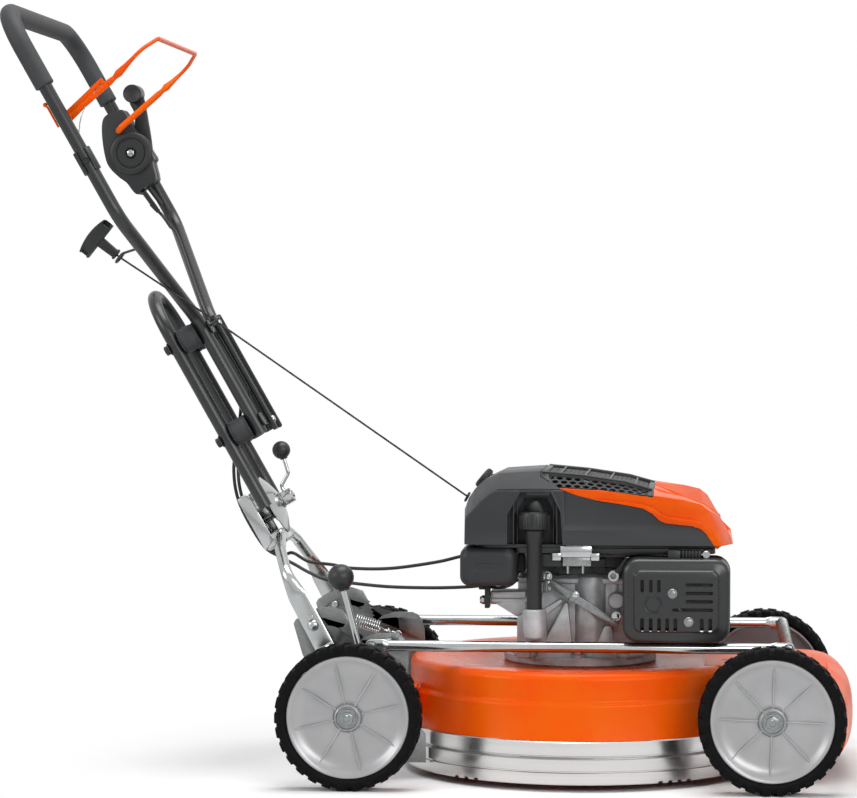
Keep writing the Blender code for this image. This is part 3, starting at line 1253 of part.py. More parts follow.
        arm_way = (Vector((-0.1240, 0, 0.4600)) - Vector((-0.1150, 0, 0.4351))).normalized()
        arm_end = Vector((-0.1240, 0, 0.4600)) + arm_way * GAP
        cut(knob, rod("clamp_knob_socket", arm_end - arm_way * 0.02, arm_end, 0.0040 + GAP * 2, steps=12))
        clamp.hold(bolt, knob)

    def handle(self):
        """Lower hoop, rubber buffers, neck channel, upper handle and its grip."""
        swing = self.swing_carrier
        hoop_path = [on_handle(HOOP_END, -NECK_HALF_WIDTH, -HOOP_SPACING)]
        straight_end = HOOP_APEX - NECK_HALF_WIDTH
        for turn in (0, 22.5, 45, 67.5, 90, 112.5, 135, 157.5, 180):
            angle = math.radians(turn)
            hoop_path.append(on_handle(
                straight_end + NECK_HALF_WIDTH * math.sin(angle), -NECK_HALF_WIDTH * math.cos(angle), -HOOP_SPACING
            ))
        hoop_path.append(on_handle(HOOP_END, NECK_HALF_WIDTH, -HOOP_SPACING))
        hoop = tube("lower_hoop", hoop_path, HANDLE_TUBE_RADIUS, self.black_steel)
        tongue = self.tongue()
        joined(hoop, tongue)
        tube_back = -HOOP_SPACING - HANDLE_TUBE_RADIUS
        buffer_low = -HOOP_SPACING + HANDLE_TUBE_RADIUS + GAP
        buffer_high = -HANDLE_TUBE_RADIUS - GAP
        for k, along in enumerate(BUFFER_ALONG):
            for side, hand in ((-1, "right"), (1, "left")):
                across = side * NECK_HALF_WIDTH
                stud = rod(
                    f"buffer_stud_{k}_{hand}", on_handle(along, across, tube_back - 0.009),
                    on_handle(along, across, tube_back + 0.004), 0.0060, steps=6,
                )
                joined(hoop, stud)
                level = ("lower", "upper")[k]
                swing.hold(rod(
                    f"buffer_{level}_{hand}", on_handle(along, across, buffer_low), on_handle(along, across, buffer_high),
                    BUFFER_RADIUS, self.tyre_rubber, steps=18,
                ))
        swing.hold(hoop)
        low, high = NECK_CHANNEL_ALONG
        front = HANDLE_TUBE_RADIUS + GAP + NECK_CHANNEL_DEPTH
        web = self.handle_block(
            "neck_channel", (low, -NECK_HALF_WIDTH - 0.010, front - NECK_CHANNEL_WALL),
            (high, NECK_HALF_WIDTH + 0.010, front), self.black_steel,
        )
        for side in (-1, 1):
            low_y, high_y = sorted((side * (NECK_HALF_WIDTH - 0.002), side * (NECK_HALF_WIDTH + 0.002)))
            joined(web, self.handle_block(
                f"neck_flange_{side}", (low + 0.0005, low_y, HANDLE_TUBE_RADIUS + GAP),
                (high - 0.0005, high_y, front - 0.001),
            ))
        eye_out = NECK_EYE_PLACE[2]
        rope_way = (Vector(ROPE_ENTRY) - on_handle(*HOOK_PLACE)).normalized()
        eye = ring("neck_eye", on_handle(*NECK_EYE_PLACE), rope_way, EYE_RADIUS, EYE_WIRE)
        eye_stem = rod(
            "neck_eye_stem", on_handle(0.170, -NECK_HALF_WIDTH - 0.006, eye_out - 0.004),
            on_handle(NECK_EYE_PLACE[0] - 0.001, NECK_EYE_PLACE[1] + EYE_RADIUS, eye_out), EYE_WIRE, steps=8,
        )
        joined(web, eye_stem, eye)
        swing.hold(web)
        corner = HANDLE_CORNER
        near = [
            (NECK_CHANNEL_ALONG[0], -NECK_HALF_WIDTH), (NECK_TOP, -NECK_HALF_WIDTH), (SHOULDER, -HANDLE_HALF_WIDTH),
            (HANDLE_TOP - corner - 0.010, -HANDLE_HALF_WIDTH),
        ]
        legs = rounded([on_handle(a, y, 0) for a, y in near], HANDLE_BEND)
        top = []
        for turn in (0, 22.5, 45, 67.5, 90):
            angle = math.radians(turn)
            top.append(on_handle(
                HANDLE_TOP - corner + corner * math.sin(angle), -HANDLE_HALF_WIDTH + corner - corner * math.cos(angle), 0
            ))
        half_path = legs + top
        far_half = [Vector((p.x, -p.y, p.z)) for p in reversed(half_path)]
        frame_path = half_path + far_half
        upper = tube("upper_handle", frame_path, HANDLE_TUBE_RADIUS, self.black_steel)
        hook_arm = rod(
            "rope_hook_arm", on_handle(HOOK_ALONG - 0.002, -(SHOULDER_Y - 0.003), -0.004),
            on_handle(HOOK_PLACE[0], HOOK_PLACE[1], HOOK_PLACE[2] + EYE_RADIUS), EYE_WIRE, steps=8,
        )
        hook = ring("rope_hook", on_handle(*HOOK_PLACE), self.rope_way(), EYE_RADIUS, EYE_WIRE)
        sleeve = rod(
            "cable_sleeve", on_handle(0.436, -HANDLE_HALF_WIDTH, 0), on_handle(0.471, -HANDLE_HALF_WIDTH, 0),
            HANDLE_TUBE_RADIUS + 0.0025, steps=12,
        )
        joined(upper, hook_arm, hook, sleeve)
        swing.hold(upper)
        leg_start = on_handle(GRIP_START, -HANDLE_HALF_WIDTH, 0)
        leg_end = Vector((leg_start.x, -leg_start.y, leg_start.z))
        grip_path = [leg_start, *top, *[Vector((p.x, -p.y, p.z)) for p in reversed(top)], leg_end]
        grip = tube("handle_grip", grip_path, HANDLE_TUBE_RADIUS + GAP + GRIP_WALL, self.foam)
        before, after = [on_handle(GRIP_START - 0.02, y, 0) for y in (-HANDLE_HALF_WIDTH, HANDLE_HALF_WIDTH)]
        inside = tube("grip_inside", [before, *grip_path, after], HANDLE_TUBE_RADIUS + GAP)
        cut(grip, inside)
        swing.hold(grip)

    def rope_way(self):
        """Direction in which the starter rope runs up from the neck to its hook."""
        return (on_handle(*HOOK_PLACE) - on_handle(*NECK_EYE_PLACE)).normalized()

    def handle_block(self, name, low, high, material=None):
        """A box whose sides follow the handle: along it, across it and out of it."""
        made = box(name, low, high, material)
        place = Matrix((
            (UP_THE_HANDLE.x, 0.0, OUT_OF_HANDLE.x, HANDLE_FOOT[0]), (0.0, 1.0, 0.0, 0.0),
            (UP_THE_HANDLE.z, 0.0, OUT_OF_HANDLE.z, HANDLE_FOOT[1]), (0.0, 0.0, 0.0, 1.0),
        ))
        made.data.transform(place)
        if place.to_3x3().determinant() < 0:
            made.data.flip_normals()
        return made

    def tongue(self):
        """Plate that joins the hoop's ends and turns on the clamp bolt."""
        low, high = -HOOP_SPACING - TONGUE_THICKNESS / 2, -HOOP_SPACING + TONGUE_THICKNESS / 2
        round_end = [(a, y) for y, a in arc_points((0.0, CLAMP_ALONG), 0.026, 200, 340, 6)]
        half = NECK_HALF_WIDTH - 0.005
        outline = [(-0.080, -half), (-0.098, -half), *round_end, (-0.098, half), (-0.080, half)]
        bm = bmesh.new()
        face = bm.faces.new([bm.verts.new(on_handle(a, y, low)) for a, y in outline])
        grown = bmesh.ops.extrude_face_region(bm, geom=[face])
        verts = [v for v in grown["geom"] if isinstance(v, bmesh.types.BMVert)]
        bmesh.ops.translate(bm, vec=OUT_OF_HANDLE * (high - low), verts=verts)
        plate = new_object("hoop_tongue", bm)
        hole = rod(
            "tongue_hole", on_handle(CLAMP_ALONG, 0, low - 0.01), on_handle(CLAMP_ALONG, 0, high + 0.01),
            CLAMP_BOLT_RADIUS + RUNNING, steps=12,
        )
        return cut(plate, hole)

    def controls(self):
        """Orange stop bail, and the lever with its housing on the left leg."""
        pivot = on_handle(BAIL_ALONG, 0, 0)
        pair = (pivot.x, pivot.z)
        bail_carrier = Carrier("bail_squeeze", pivot, self.swing_carrier)
        near_y = -(HANDLE_HALF_WIDTH - HANDLE_TUBE_RADIUS - GAP)
        far_y = HOUSING_INNER_Y - BAIL_ROD_RADIUS - 0.0080
        path = rounded(
            [
                side_point(pair, near_y), side_point(pair, near_y + 0.014), side_point(BAIL_KINK, -BAIL_KINK_Y),
                side_point(BAIL_CROSSBAR, -BAIL_HALF_WIDTH), side_point(BAIL_CROSSBAR, BAIL_HALF_WIDTH),
                side_point(BAIL_KINK, far_y), side_point(pair, far_y), side_point(pair, HOUSING_INNER_Y + 0.0150),
            ],
            [0.007, 0.018, 0.030, 0.030, 0.018, 0.010], 2,
        )
        bail = tube("stop_bail", path, BAIL_ROD_RADIUS, self.orange)
        plate_outline = [
            (pair[0] + dx, pair[1] + dz)
            for dx, dz in ((-0.006, -0.004), (0.004, -0.007), (0.049, 0.0375), (0.0604, 0.0474), (0.051, 0.0588),
                           (0.040, 0.0490), (-0.006, 0.006))
        ]
        plate = prism("bail_plate", plate_outline, near_y + 0.0065, near_y + 0.0100)
        joined(bail, plate)
        bail_carrier.hold(bail)
        outline = [
            (-0.4056, 0.9860), (-0.3973, 0.9844), (-0.3783, 0.9533), (-0.3512, 0.9145), (-0.3528, 0.9052),
            (-0.3472, 0.8803), (-0.3534, 0.8726), (-0.3674, 0.8648), (-0.3752, 0.8555), (-0.3829, 0.8601),
            (-0.3929, 0.8733), (-0.4047, 0.8819), (-0.4202, 0.8974), (-0.4270, 0.9145), (-0.4315, 0.9440),
            (-0.4311, 0.9688), (-0.4230, 0.9800),
        ]
        housing = prism("control_housing", outline, HOUSING_INNER_Y, HOUSING_OUTER_Y, self.black_plastic)
        slot_y = (SPEED_ARM_Y[0] - SPEED_SLOT_MARGIN, SPEED_ARM_Y[1] + SPEED_SLOT_MARGIN)
        arm_slot = box("arm_slot", (HUB_CENTRE[0] - 0.0325, slot_y[0], 0.8850), (-0.3300, slot_y[1], 1.0500))
        pin_bore = rod(
            "hub_bore", side_point(HUB_CENTRE, HOUSING_INNER_Y - 0.01), side_point(HUB_CENTRE, slot_y[0] + 0.001),
            HUB_PIN_RADIUS + RUNNING,
        )
        bail_bore = rod(
            "bail_bore", side_point(pair, HOUSING_INNER_Y - 0.01), side_point(pair, HOUSING_INNER_Y + 0.0155),
            BAIL_ROD_RADIUS + RUNNING, steps=12,
        )
        cut(housing, arm_slot, pin_bore, bail_bore)
        self.swing_carrier.hold(housing)
        lever_carrier = Carrier("speed_lever_turn", side_point(HUB_CENTRE, SPEED_ARM_Y[0]), self.swing_carrier)
        disc_y = HOUSING_INNER_Y - GAP
        lever = rod(
            "speed_lever", side_point(HUB_CENTRE, disc_y - HUB_DISC_THICKNESS), side_point(HUB_CENTRE, disc_y),
            HUB_DISC_RADIUS, self.black_plastic, steps=18,
        )
        pin = rod(
            "hub_pin", side_point(HUB_CENTRE, disc_y - 0.002), side_point(HUB_CENTRE, SPEED_ARM_Y[0] + 0.002),
            HUB_PIN_RADIUS,
        )
        arm_outline = [
            (-0.4050, 0.9200), (-0.4000, 0.9050), (-0.3860, 0.8990), (-0.3680, 0.9020), (-0.3570, 0.9160),
            (-0.3560, 0.9300), (-0.3710, 1.0120), (-0.3850, 1.0200), (-0.3920, 1.0000), (-0.3840, 0.9800),
            (-0.3860, 0.9420), (-0.4000, 0.9350),
        ]
        arm = prism("speed_arm", arm_outline, *SPEED_ARM_Y)
        knob = rod(
            "speed_knob", side_point(SPEED_KNOB, SPEED_KNOB_Y[0]), side_point(SPEED_KNOB, SPEED_KNOB_Y[1]),
            SPEED_KNOB_RADIUS, steps=20,
        )
        joined(lever, pin, arm, knob)
        lever_carrier.hold(lever)

    def starter(self):
        """Pull grip on its rope, which runs through the hook and the neck eye to the engine."""
        hook = on_handle(*HOOK_PLACE)
        way = Vector(PULL_WAY).normalized()
        grip_foot = hook + way * (EYE_WIRE + 0.004)
        grip_head = grip_foot + way * STARTER_STEM_LENGTH
        pull = Carrier("starter_pull", grip_foot, self.swing_carrier)
        across = way.cross(Vector((0, 1, 0))).normalized()
        stem = rod("starter_grip", grip_foot, grip_head, STARTER_STEM_RADIUS, self.black_plastic, steps=12)
        half = STARTER_BAR_LENGTH / 2
        bar_path = [
            grip_head - across * half - way * 0.006, grip_head - across * half * 0.4, grip_head + across * half * 0.4,
            grip_head + across * half - way * 0.006,
        ]
        joined(stem, tube("starter_bar", bar_path, STARTER_BAR_RADIUS, resolution=3))
        pull.hold(stem)
        rope_path = [grip_foot - way * GAP, hook, on_handle(*NECK_EYE_PLACE), Vector(ROPE_ENTRY)]
        rope = wire_curve("starter_rope", rope_path, ROPE_RADIUS, self.black_plastic)
        self.swing_carrier.hold(rope)

    def cables(self):
        """Stop and throttle cables, along the legs, behind the clamp and across to the engine."""
        inside = HANDLE_TUBE_RADIUS + CABLE_RADIUS + 0.004
        leg_y = HANDLE_HALF_WIDTH - inside
        neck_y = NECK_HALF_WIDTH - inside
        down_the_neck = [(0.205, neck_y, 0.0), (0.100, neck_y, 0.0), (0.060, 0.045, -0.004), (0.010, 0.030, -0.040),
                         (-0.030, 0.024, -0.070), (-0.080, 0.022, -0.0905), (-0.160, 0.020, -0.0920),
                         (-0.188, 0.014, -0.072)]
        half = HANDLE_HALF_WIDTH
        stop_route = [
            (0.490, -leg_y, 0.004), (0.400, -leg_y, 0.0), (0.376, 0.0215 - half, 0.0), (0.350, 0.046 - half, 0.0),
        ]
        stop_route += [(a, -y, out) for a, y, out in down_the_neck]
        stop_points = [on_handle(*p) for p in stop_route]
        stop_points += [
            Vector((-0.058, -0.040, 0.2760)), Vector((0.037, -0.080, 0.2650)), Vector((0.120, -0.105, 0.2690)),
            Vector((AIR_BOX[0][0] + 0.0360, -0.112, AIR_BOX[0][2] - GAP - CABLE_RADIUS)),
        ]
        throttle_route = [
            (0.418, half - 0.026, 0.016), (0.400, half - 0.022, 0.006), (0.376, half - 0.0245, 0.001),
            (0.350, half - 0.046, 0.0),
        ]
        throttle_route += down_the_neck
        throttle_points = [on_handle(*p) for p in throttle_route]
        throttle_points += [
            Vector((-0.0508, 0.000, 0.2990)), Vector((0.037, -0.040, 0.2940)), Vector((0.110, -0.062, 0.3020)),
            Vector((AIR_BOX[1][0] - 0.0310, -0.070, 0.3290)),
        ]
        step = CABLE_RADIUS * 2 * CABLE_POINT_SPACING
        for name, points in (("stop_cable", stop_points), ("throttle_cable", throttle_points)):
            cable = wire_curve(name, smooth_route(points, step), CABLE_RADIUS, self.black_plastic)
            self.swing_carrier.hold(cable)


clear_scene()
Mower().build()
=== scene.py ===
"""Looks of the petrol lawn mower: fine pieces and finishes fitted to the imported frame.

Metres, +X to the front of the mower, +Y to its left side, +Z up, z = 0 on the ground. Pieces are
drawn in mower coordinates, whose x counts from the rear axle, and are moved to the frame as they
are made.
"""

import json
import logging
import math
from dataclasses import dataclass
from enum import Enum, IntEnum

import bmesh
import bpy
from mathutils import Matrix, Vector

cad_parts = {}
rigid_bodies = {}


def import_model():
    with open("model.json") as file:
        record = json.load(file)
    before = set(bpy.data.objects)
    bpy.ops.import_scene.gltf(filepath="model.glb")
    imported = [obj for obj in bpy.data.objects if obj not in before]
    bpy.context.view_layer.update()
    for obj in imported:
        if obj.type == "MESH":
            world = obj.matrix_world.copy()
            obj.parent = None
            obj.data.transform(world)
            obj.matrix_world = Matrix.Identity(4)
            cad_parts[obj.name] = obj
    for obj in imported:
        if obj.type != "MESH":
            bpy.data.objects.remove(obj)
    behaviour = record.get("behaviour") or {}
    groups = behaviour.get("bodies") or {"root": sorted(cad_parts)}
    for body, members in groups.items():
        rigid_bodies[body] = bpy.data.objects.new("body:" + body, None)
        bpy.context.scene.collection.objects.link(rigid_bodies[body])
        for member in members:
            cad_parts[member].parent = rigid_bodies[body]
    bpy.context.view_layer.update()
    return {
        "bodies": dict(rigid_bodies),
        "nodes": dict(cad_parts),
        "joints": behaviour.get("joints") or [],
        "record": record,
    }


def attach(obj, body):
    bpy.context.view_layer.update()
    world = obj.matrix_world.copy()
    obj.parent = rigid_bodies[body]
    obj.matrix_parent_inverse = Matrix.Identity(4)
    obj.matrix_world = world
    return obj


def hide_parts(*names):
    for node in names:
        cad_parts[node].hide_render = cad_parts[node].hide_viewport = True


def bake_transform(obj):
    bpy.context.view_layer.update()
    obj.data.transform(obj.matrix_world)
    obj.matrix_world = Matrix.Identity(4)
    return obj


log = logging.getLogger("mower")

# Where the rear axle stands in the frame; the front one is a wheelbase ahead of it
REAR_AXLE_X = -0.11
WHEELBASE = 0.6
# A height shaft's place from its axle: how far ahead, and its height over the ground
SHAFT_AHEAD, SHAFT_Z = 0.045, 0.095
# The fork's pivot in the side plates, and the bolt that runs in their slots: x and z
FORK_PIVOT, SLOT_BOLT = (-0.0416, 0.186), (-0.0615, 0.2236)
AHEAD, LEFT, UP = Vector((1, 0, 0)), Vector((0, 1, 0)), Vector((0, 0, 1))
HANDLE_FOOT = Vector((-0.149, 0.0, 0.499))
HANDLE_UP = Vector((-0.4909, 0.0, 0.8712))
HANDLE_OUT = Vector((0.8712, 0.0, 0.4909))


class Side(IntEnum):
    """A side of the mower, as the sign of its y."""

    RIGHT = -1
    LEFT = 1

    @property
    def hand(self) -> str:
        """The side's name as the frame writes it."""
        return self.name.lower()


def linear(code: str) -> tuple[float, float, float, float]:
    """Turns an sRGB hex colour to linear light.

    Args:
        code: six hex digits after a hash sign.

    Returns:
        Red, green, blue and a full alpha.
    """
    channels = [int(code[k:k + 2], 16) / 255 for k in (1, 3, 5)]
    return (*[c / 12.92 if c <= 0.04045 else ((c + 0.055) / 1.055) ** 2.4 for c in channels], 1.0)


def add_node(tree: bpy.types.NodeTree, kind: str, inputs: dict | None = None, **settings) -> bpy.types.Node:
    """Adds one node with its settings and its inputs.

    Args:
        tree: the node tree that gets it.
        kind: the node's type name.
        inputs: values or output sockets by input name.
        settings: the node's own properties.

    Returns:
        The new node.
    """
    node = tree.nodes.new(kind)
    for name, value in settings.items():
        setattr(node, name, value)
    for name, value in (inputs or {}).items():
        if isinstance(value, bpy.types.NodeSocket):
            tree.links.new(value, node.inputs[name])
        else:
            node.inputs[name].default_value = value
    return node


@dataclass(frozen=True)
class Finish:
    """A surface and how it was made: colour, gloss, and the patterns that break them up.

    Sizes of patterns are real ones in millimetres. Anything under 1.5 mm wouldn't show in the
    render, so the finest grain is drawn at about that size.
    """

    name: str
    colour: str
    roughness: float
    metallic: float = 0.0
    specular: float = 0.5
    glance: str = "#FFFFFF"
    tint: str = ""
    mottle_mm: float = 30.0
    gloss_spread: float = 0.06
    grain_mm: float = 1.5
    grain_depth_mm: float = 0.0
    coat: float = 0.0
    coat_roughness: float = 0.1
    stretch: tuple[float, float, float] = (1.0, 1.0, 1.0)

    def material(self) -> bpy.types.Material:
        """Makes the material once and gives the same one afterwards.

        Returns:
            The material.
        """
        made = bpy.data.materials.get(self.name)
        if made is None:
            made = bpy.data.materials.new(self.name)
            made.use_nodes = True
            self.dress(made.node_tree, made.node_tree.nodes["Principled BSDF"])
        return made

    def dress(self, tree: bpy.types.NodeTree, shader: bpy.types.Node) -> None:
        """Fills the shader.

        Args:
            tree: the material's node tree.
            shader: its Principled BSDF.
        """
        shader.inputs["Metallic"].default_value = self.metallic
        shader.inputs["Specular IOR Level"].default_value = self.specular
        shader.inputs["Specular Tint"].default_value = linear(self.glance)
        shader.inputs["Coat Weight"].default_value = self.coat
        shader.inputs["Coat Roughness"].default_value = self.coat_roughness
        place = add_node(tree, "ShaderNodeTexCoord")
        spread = add_node(
            tree, "ShaderNodeMapping", {"Vector": place.outputs["Object"], "Scale": self.stretch}
        ).outputs["Vector"]
        mottle = add_node(
            tree, "ShaderNodeTexNoise", {"Vector": spread, "Scale": 1000 / self.mottle_mm, "Detail": 3.0}
        ).outputs["Fac"]
        tree.links.new(self.colour_mix(tree, mottle), shader.inputs["Base Color"])
        gloss = add_node(
            tree, "ShaderNodeMapRange",
            {
                "Value": mottle, "From Min": 0.3, "From Max": 0.7, "To Min": self.roughness - self.gloss_spread,
                "To Max": self.roughness + self.gloss_spread,
            },
        )
        tree.links.new(gloss.outputs["Result"], shader.inputs["Roughness"])
        if self.grain_depth_mm > 0:
            relief = {"Height": self.relief(tree, spread), "Distance": self.grain_depth_mm / 1000, "Strength": 1.0}
            bump = add_node(tree, "ShaderNodeBump", relief)
            tree.links.new(bump.outputs["Normal"], shader.inputs["Normal"])

    def colour_mix(self, tree: bpy.types.NodeTree, share: bpy.types.NodeSocket) -> bpy.types.NodeSocket:
        """Gives the colour, turning softly to its tint where a pattern says so.

        Args:
            tree: the material's node tree.
            share: the pattern, 0 to 1.

        Returns:
            The colour's socket.
        """
        ramp = add_node(tree, "ShaderNodeValToRGB", {"Fac": share})
        ramp.color_ramp.elements[0].position = 0.35
        ramp.color_ramp.elements[0].color = linear(self.colour)
        ramp.color_ramp.elements[1].position = 0.65
        ramp.color_ramp.elements[1].color = linear(self.tint or self.colour)
        return ramp.outputs["Color"]

    def relief(self, tree: bpy.types.NodeTree, spread: bpy.types.NodeSocket) -> bpy.types.NodeSocket:
        """Gives the fine relief of the surface.

        Args:
            tree: the material's node tree.
            spread: the coordinates that the pattern follows.

        Returns:
            The socket of its height.
        """
        inputs = {"Vector": spread, "Scale": 1000 / self.grain_mm, "Detail": 2.0}
        return add_node(tree, "ShaderNodeTexNoise", inputs).outputs["Fac"]


@dataclass(frozen=True)
class SpangledSteel(Finish):
    """Galvanised or plated sheet, whose zinc crystals differ slightly in tone and gloss."""

    spangle_mm: float = 7.0

    def colour_mix(self, tree: bpy.types.NodeTree, share: bpy.types.NodeSocket) -> bpy.types.NodeSocket:
        """Adds the crystals to the soft variation.

        Args:
            tree: the material's node tree.
            share: the soft variation, 0 to 1.

        Returns:
            The colour's socket.
        """
        place = add_node(tree, "ShaderNodeTexCoord")
        crystal = add_node(
            tree, "ShaderNodeTexVoronoi", {"Vector": place.outputs["Object"], "Scale": 1000 / self.spangle_mm}
        )
        grey = add_node(tree, "ShaderNodeSeparateColor", {"Color": crystal.outputs["Color"]})
        both = add_node(tree, "ShaderNodeMath", {0: share, 1: grey.outputs["Red"]}, operation="ADD")
        half = add_node(tree, "ShaderNodeMath", {0: both.outputs["Value"], 1: 0.5}, operation="MULTIPLY")
        return super().colour_mix(tree, half.outputs["Value"])


@dataclass(frozen=True)
class CastMetal(Finish):
    """Sand-cast aluminium: a pebbled skin with darker hollows."""

    def relief(self, tree: bpy.types.NodeTree, spread: bpy.types.NodeSocket) -> bpy.types.NodeSocket:
        """Gives the pebbled skin.

        Args:
            tree: the material's node tree.
            spread: the coordinates that the pattern follows.

        Returns:
            The socket of its height.
        """
        fine = add_node(
            tree, "ShaderNodeTexNoise",
            {"Vector": spread, "Scale": 1000 / self.grain_mm, "Detail": 4.0, "Roughness": 0.7},
        )
        pebble = add_node(tree, "ShaderNodeTexVoronoi", {"Vector": spread, "Scale": 1000 / (self.grain_mm * 1.6)})
        height = add_node(
            tree, "ShaderNodeMath", {0: fine.outputs["Fac"], 1: pebble.outputs["Distance"]}, operation="ADD"
        )
        return height.outputs["Value"]


class Slot(Enum):
    """The record's material slots and the finish that each one has."""

    # Baked enamel on pressed steel: a deep even colour, glossy, with a faint orange-peel ripple
    ORANGE_ENAMEL = Finish(
        "Baked orange enamel", "#E25A08", 0.27, specular=0.22, glance="#FFD2A0", tint="#E64D04", mottle_mm=70,
        gloss_spread=0.03, grain_mm=5.0, grain_depth_mm=0.012,
    )
    # Moulded ABS: even colour, softer gloss, and the fine texture of a spark-eroded mould
    ORANGE_PLASTIC = Finish(
        "Moulded orange ABS", "#DC5608", 0.33, specular=0.2, glance="#FFD2A0", tint="#DB4808", mottle_mm=50,
        gloss_spread=0.03, grain_mm=1.6, grain_depth_mm=0.008,
    )
    # Rolled aluminium strip, polished round the ring: bright, with fine level lines
    POLISHED_ALUMINIUM = Finish(
        "Polished aluminium", "#CFCECD", 0.24, metallic=1.0, tint="#C6C5C4", mottle_mm=14, gloss_spread=0.05,
        grain_mm=1.6, grain_depth_mm=0.006, stretch=(0.02, 0.02, 1.0),
    )
    # Sand-cast aluminium: a light grey, dull skin, slightly pebbled
    CAST_ALUMINIUM = CastMetal(
        "Sand-cast aluminium", "#B7B9BA", 0.48, metallic=0.4, tint="#9DA0A2", mottle_mm=22, gloss_spread=0.05,
        grain_mm=1.8, grain_depth_mm=0.07,
    )
    # Zinc electroplate: mid grey metal, satin, with a faint crystal pattern
    ZINC_PLATED_STEEL = SpangledSteel(
        "Zinc-plated steel", "#808383", 0.3, metallic=1.0, tint="#8C8F8F", mottle_mm=25, gloss_spread=0.04,
        grain_mm=3.0, grain_depth_mm=0.006, spangle_mm=4.0,
    )
    # Bright chromate on drawn tube and turned steel: light, smooth and near a mirror
    BRIGHT_STEEL = Finish(
        "Bright-drawn steel", "#B4B6B6", 0.19, metallic=1.0, tint="#ABADAD", mottle_mm=30, gloss_spread=0.03
    )
    # Powder coat on steel tube: near black, smooth, with clear highlights along the tube
    BLACK_POWDER_COAT = Finish(
        "Black powder coat", "#262728", 0.3, specular=0.45, tint="#222324", mottle_mm=40, gloss_spread=0.03,
        grain_mm=1.6, grain_depth_mm=0.008,
    )
    # Moulded polypropylene: black, satin, a little softer than the cover's ABS
    BLACK_PLASTIC = Finish(
        "Moulded black polypropylene", "#252627", 0.4, specular=0.35, tint="#212223", mottle_mm=30, gloss_spread=0.03,
        grain_mm=1.6, grain_depth_mm=0.01,
    )
    # Moulded ABS with a spark-eroded skin: charcoal, low gloss
    DARK_GREY_PLASTIC = Finish(
        "Moulded charcoal ABS", "#323335", 0.4, specular=0.22, tint="#303133", mottle_mm=45, gloss_spread=0.03,
        grain_mm=1.6, grain_depth_mm=0.01,
    )
    # Foamed rubber: dark grey and dull, with fine closed pores
    GRIP_RUBBER = Finish(
        "Foamed grip rubber", "#303133", 0.62, specular=0.35, tint="#343537", mottle_mm=20, gloss_spread=0.04,
        grain_mm=1.7, grain_depth_mm=0.03,
    )
    # Vulcanised rubber: almost black, dull
    TYRE_RUBBER = Finish(
        "Tyre rubber", "#0F0F10", 0.6, specular=0.07, tint="#0C0C0D", mottle_mm=12, gloss_spread=0.04, grain_mm=1.8,
        grain_depth_mm=0.02,
    )
    # Polypropylene with aluminium flake: silver grey, softly metallic
    SILVER_PLASTIC = Finish(
        "Silver-flake polypropylene", "#A2A2A3", 0.32, metallic=0.45, tint="#9C9C9D", mottle_mm=40, gloss_spread=0.02,
        grain_mm=1.5, grain_depth_mm=0.004,
    )


class Special(Enum):
    """Finishes of single pieces whose look departs from their slot's."""

    # Thick zinc plate, passivated: darker and duller than the tubes
    ZINC_PLATE = SpangledSteel(
        "Passivated zinc plate", "#7E8080", 0.4, metallic=1.0, tint="#777979", mottle_mm=35, gloss_spread=0.03,
        grain_mm=3.0, grain_depth_mm=0.006, spangle_mm=4.0,
    )
    # Steel painted brown-black and dull: painted shade for the dark seen through the guard's slots
    HOT_STEEL = Finish(
        "Heat-darkened steel", "#2A2725", 0.6, metallic=0.6, tint="#211F1E", mottle_mm=18, gloss_spread=0.05
    )


def frame_on(centre: Vector, axis: Vector, side: Vector | None = None) -> Matrix:
    """Gives a placement whose z runs along an axis.

    Args:
        centre: where its origin goes.
        axis: where its z points.
        side: roughly where its x points, if that matters.

    Returns:
        The placement as a matrix.
    """
    up = Vector(axis).normalized()
    x = Vector(side) if side is not None else up.orthogonal()
    x = (x - up * x.dot(up)).normalized()
    y = up.cross(x)
    return Matrix.Translation(Vector(centre)) @ Matrix((x, y, up)).transposed().to_4x4()


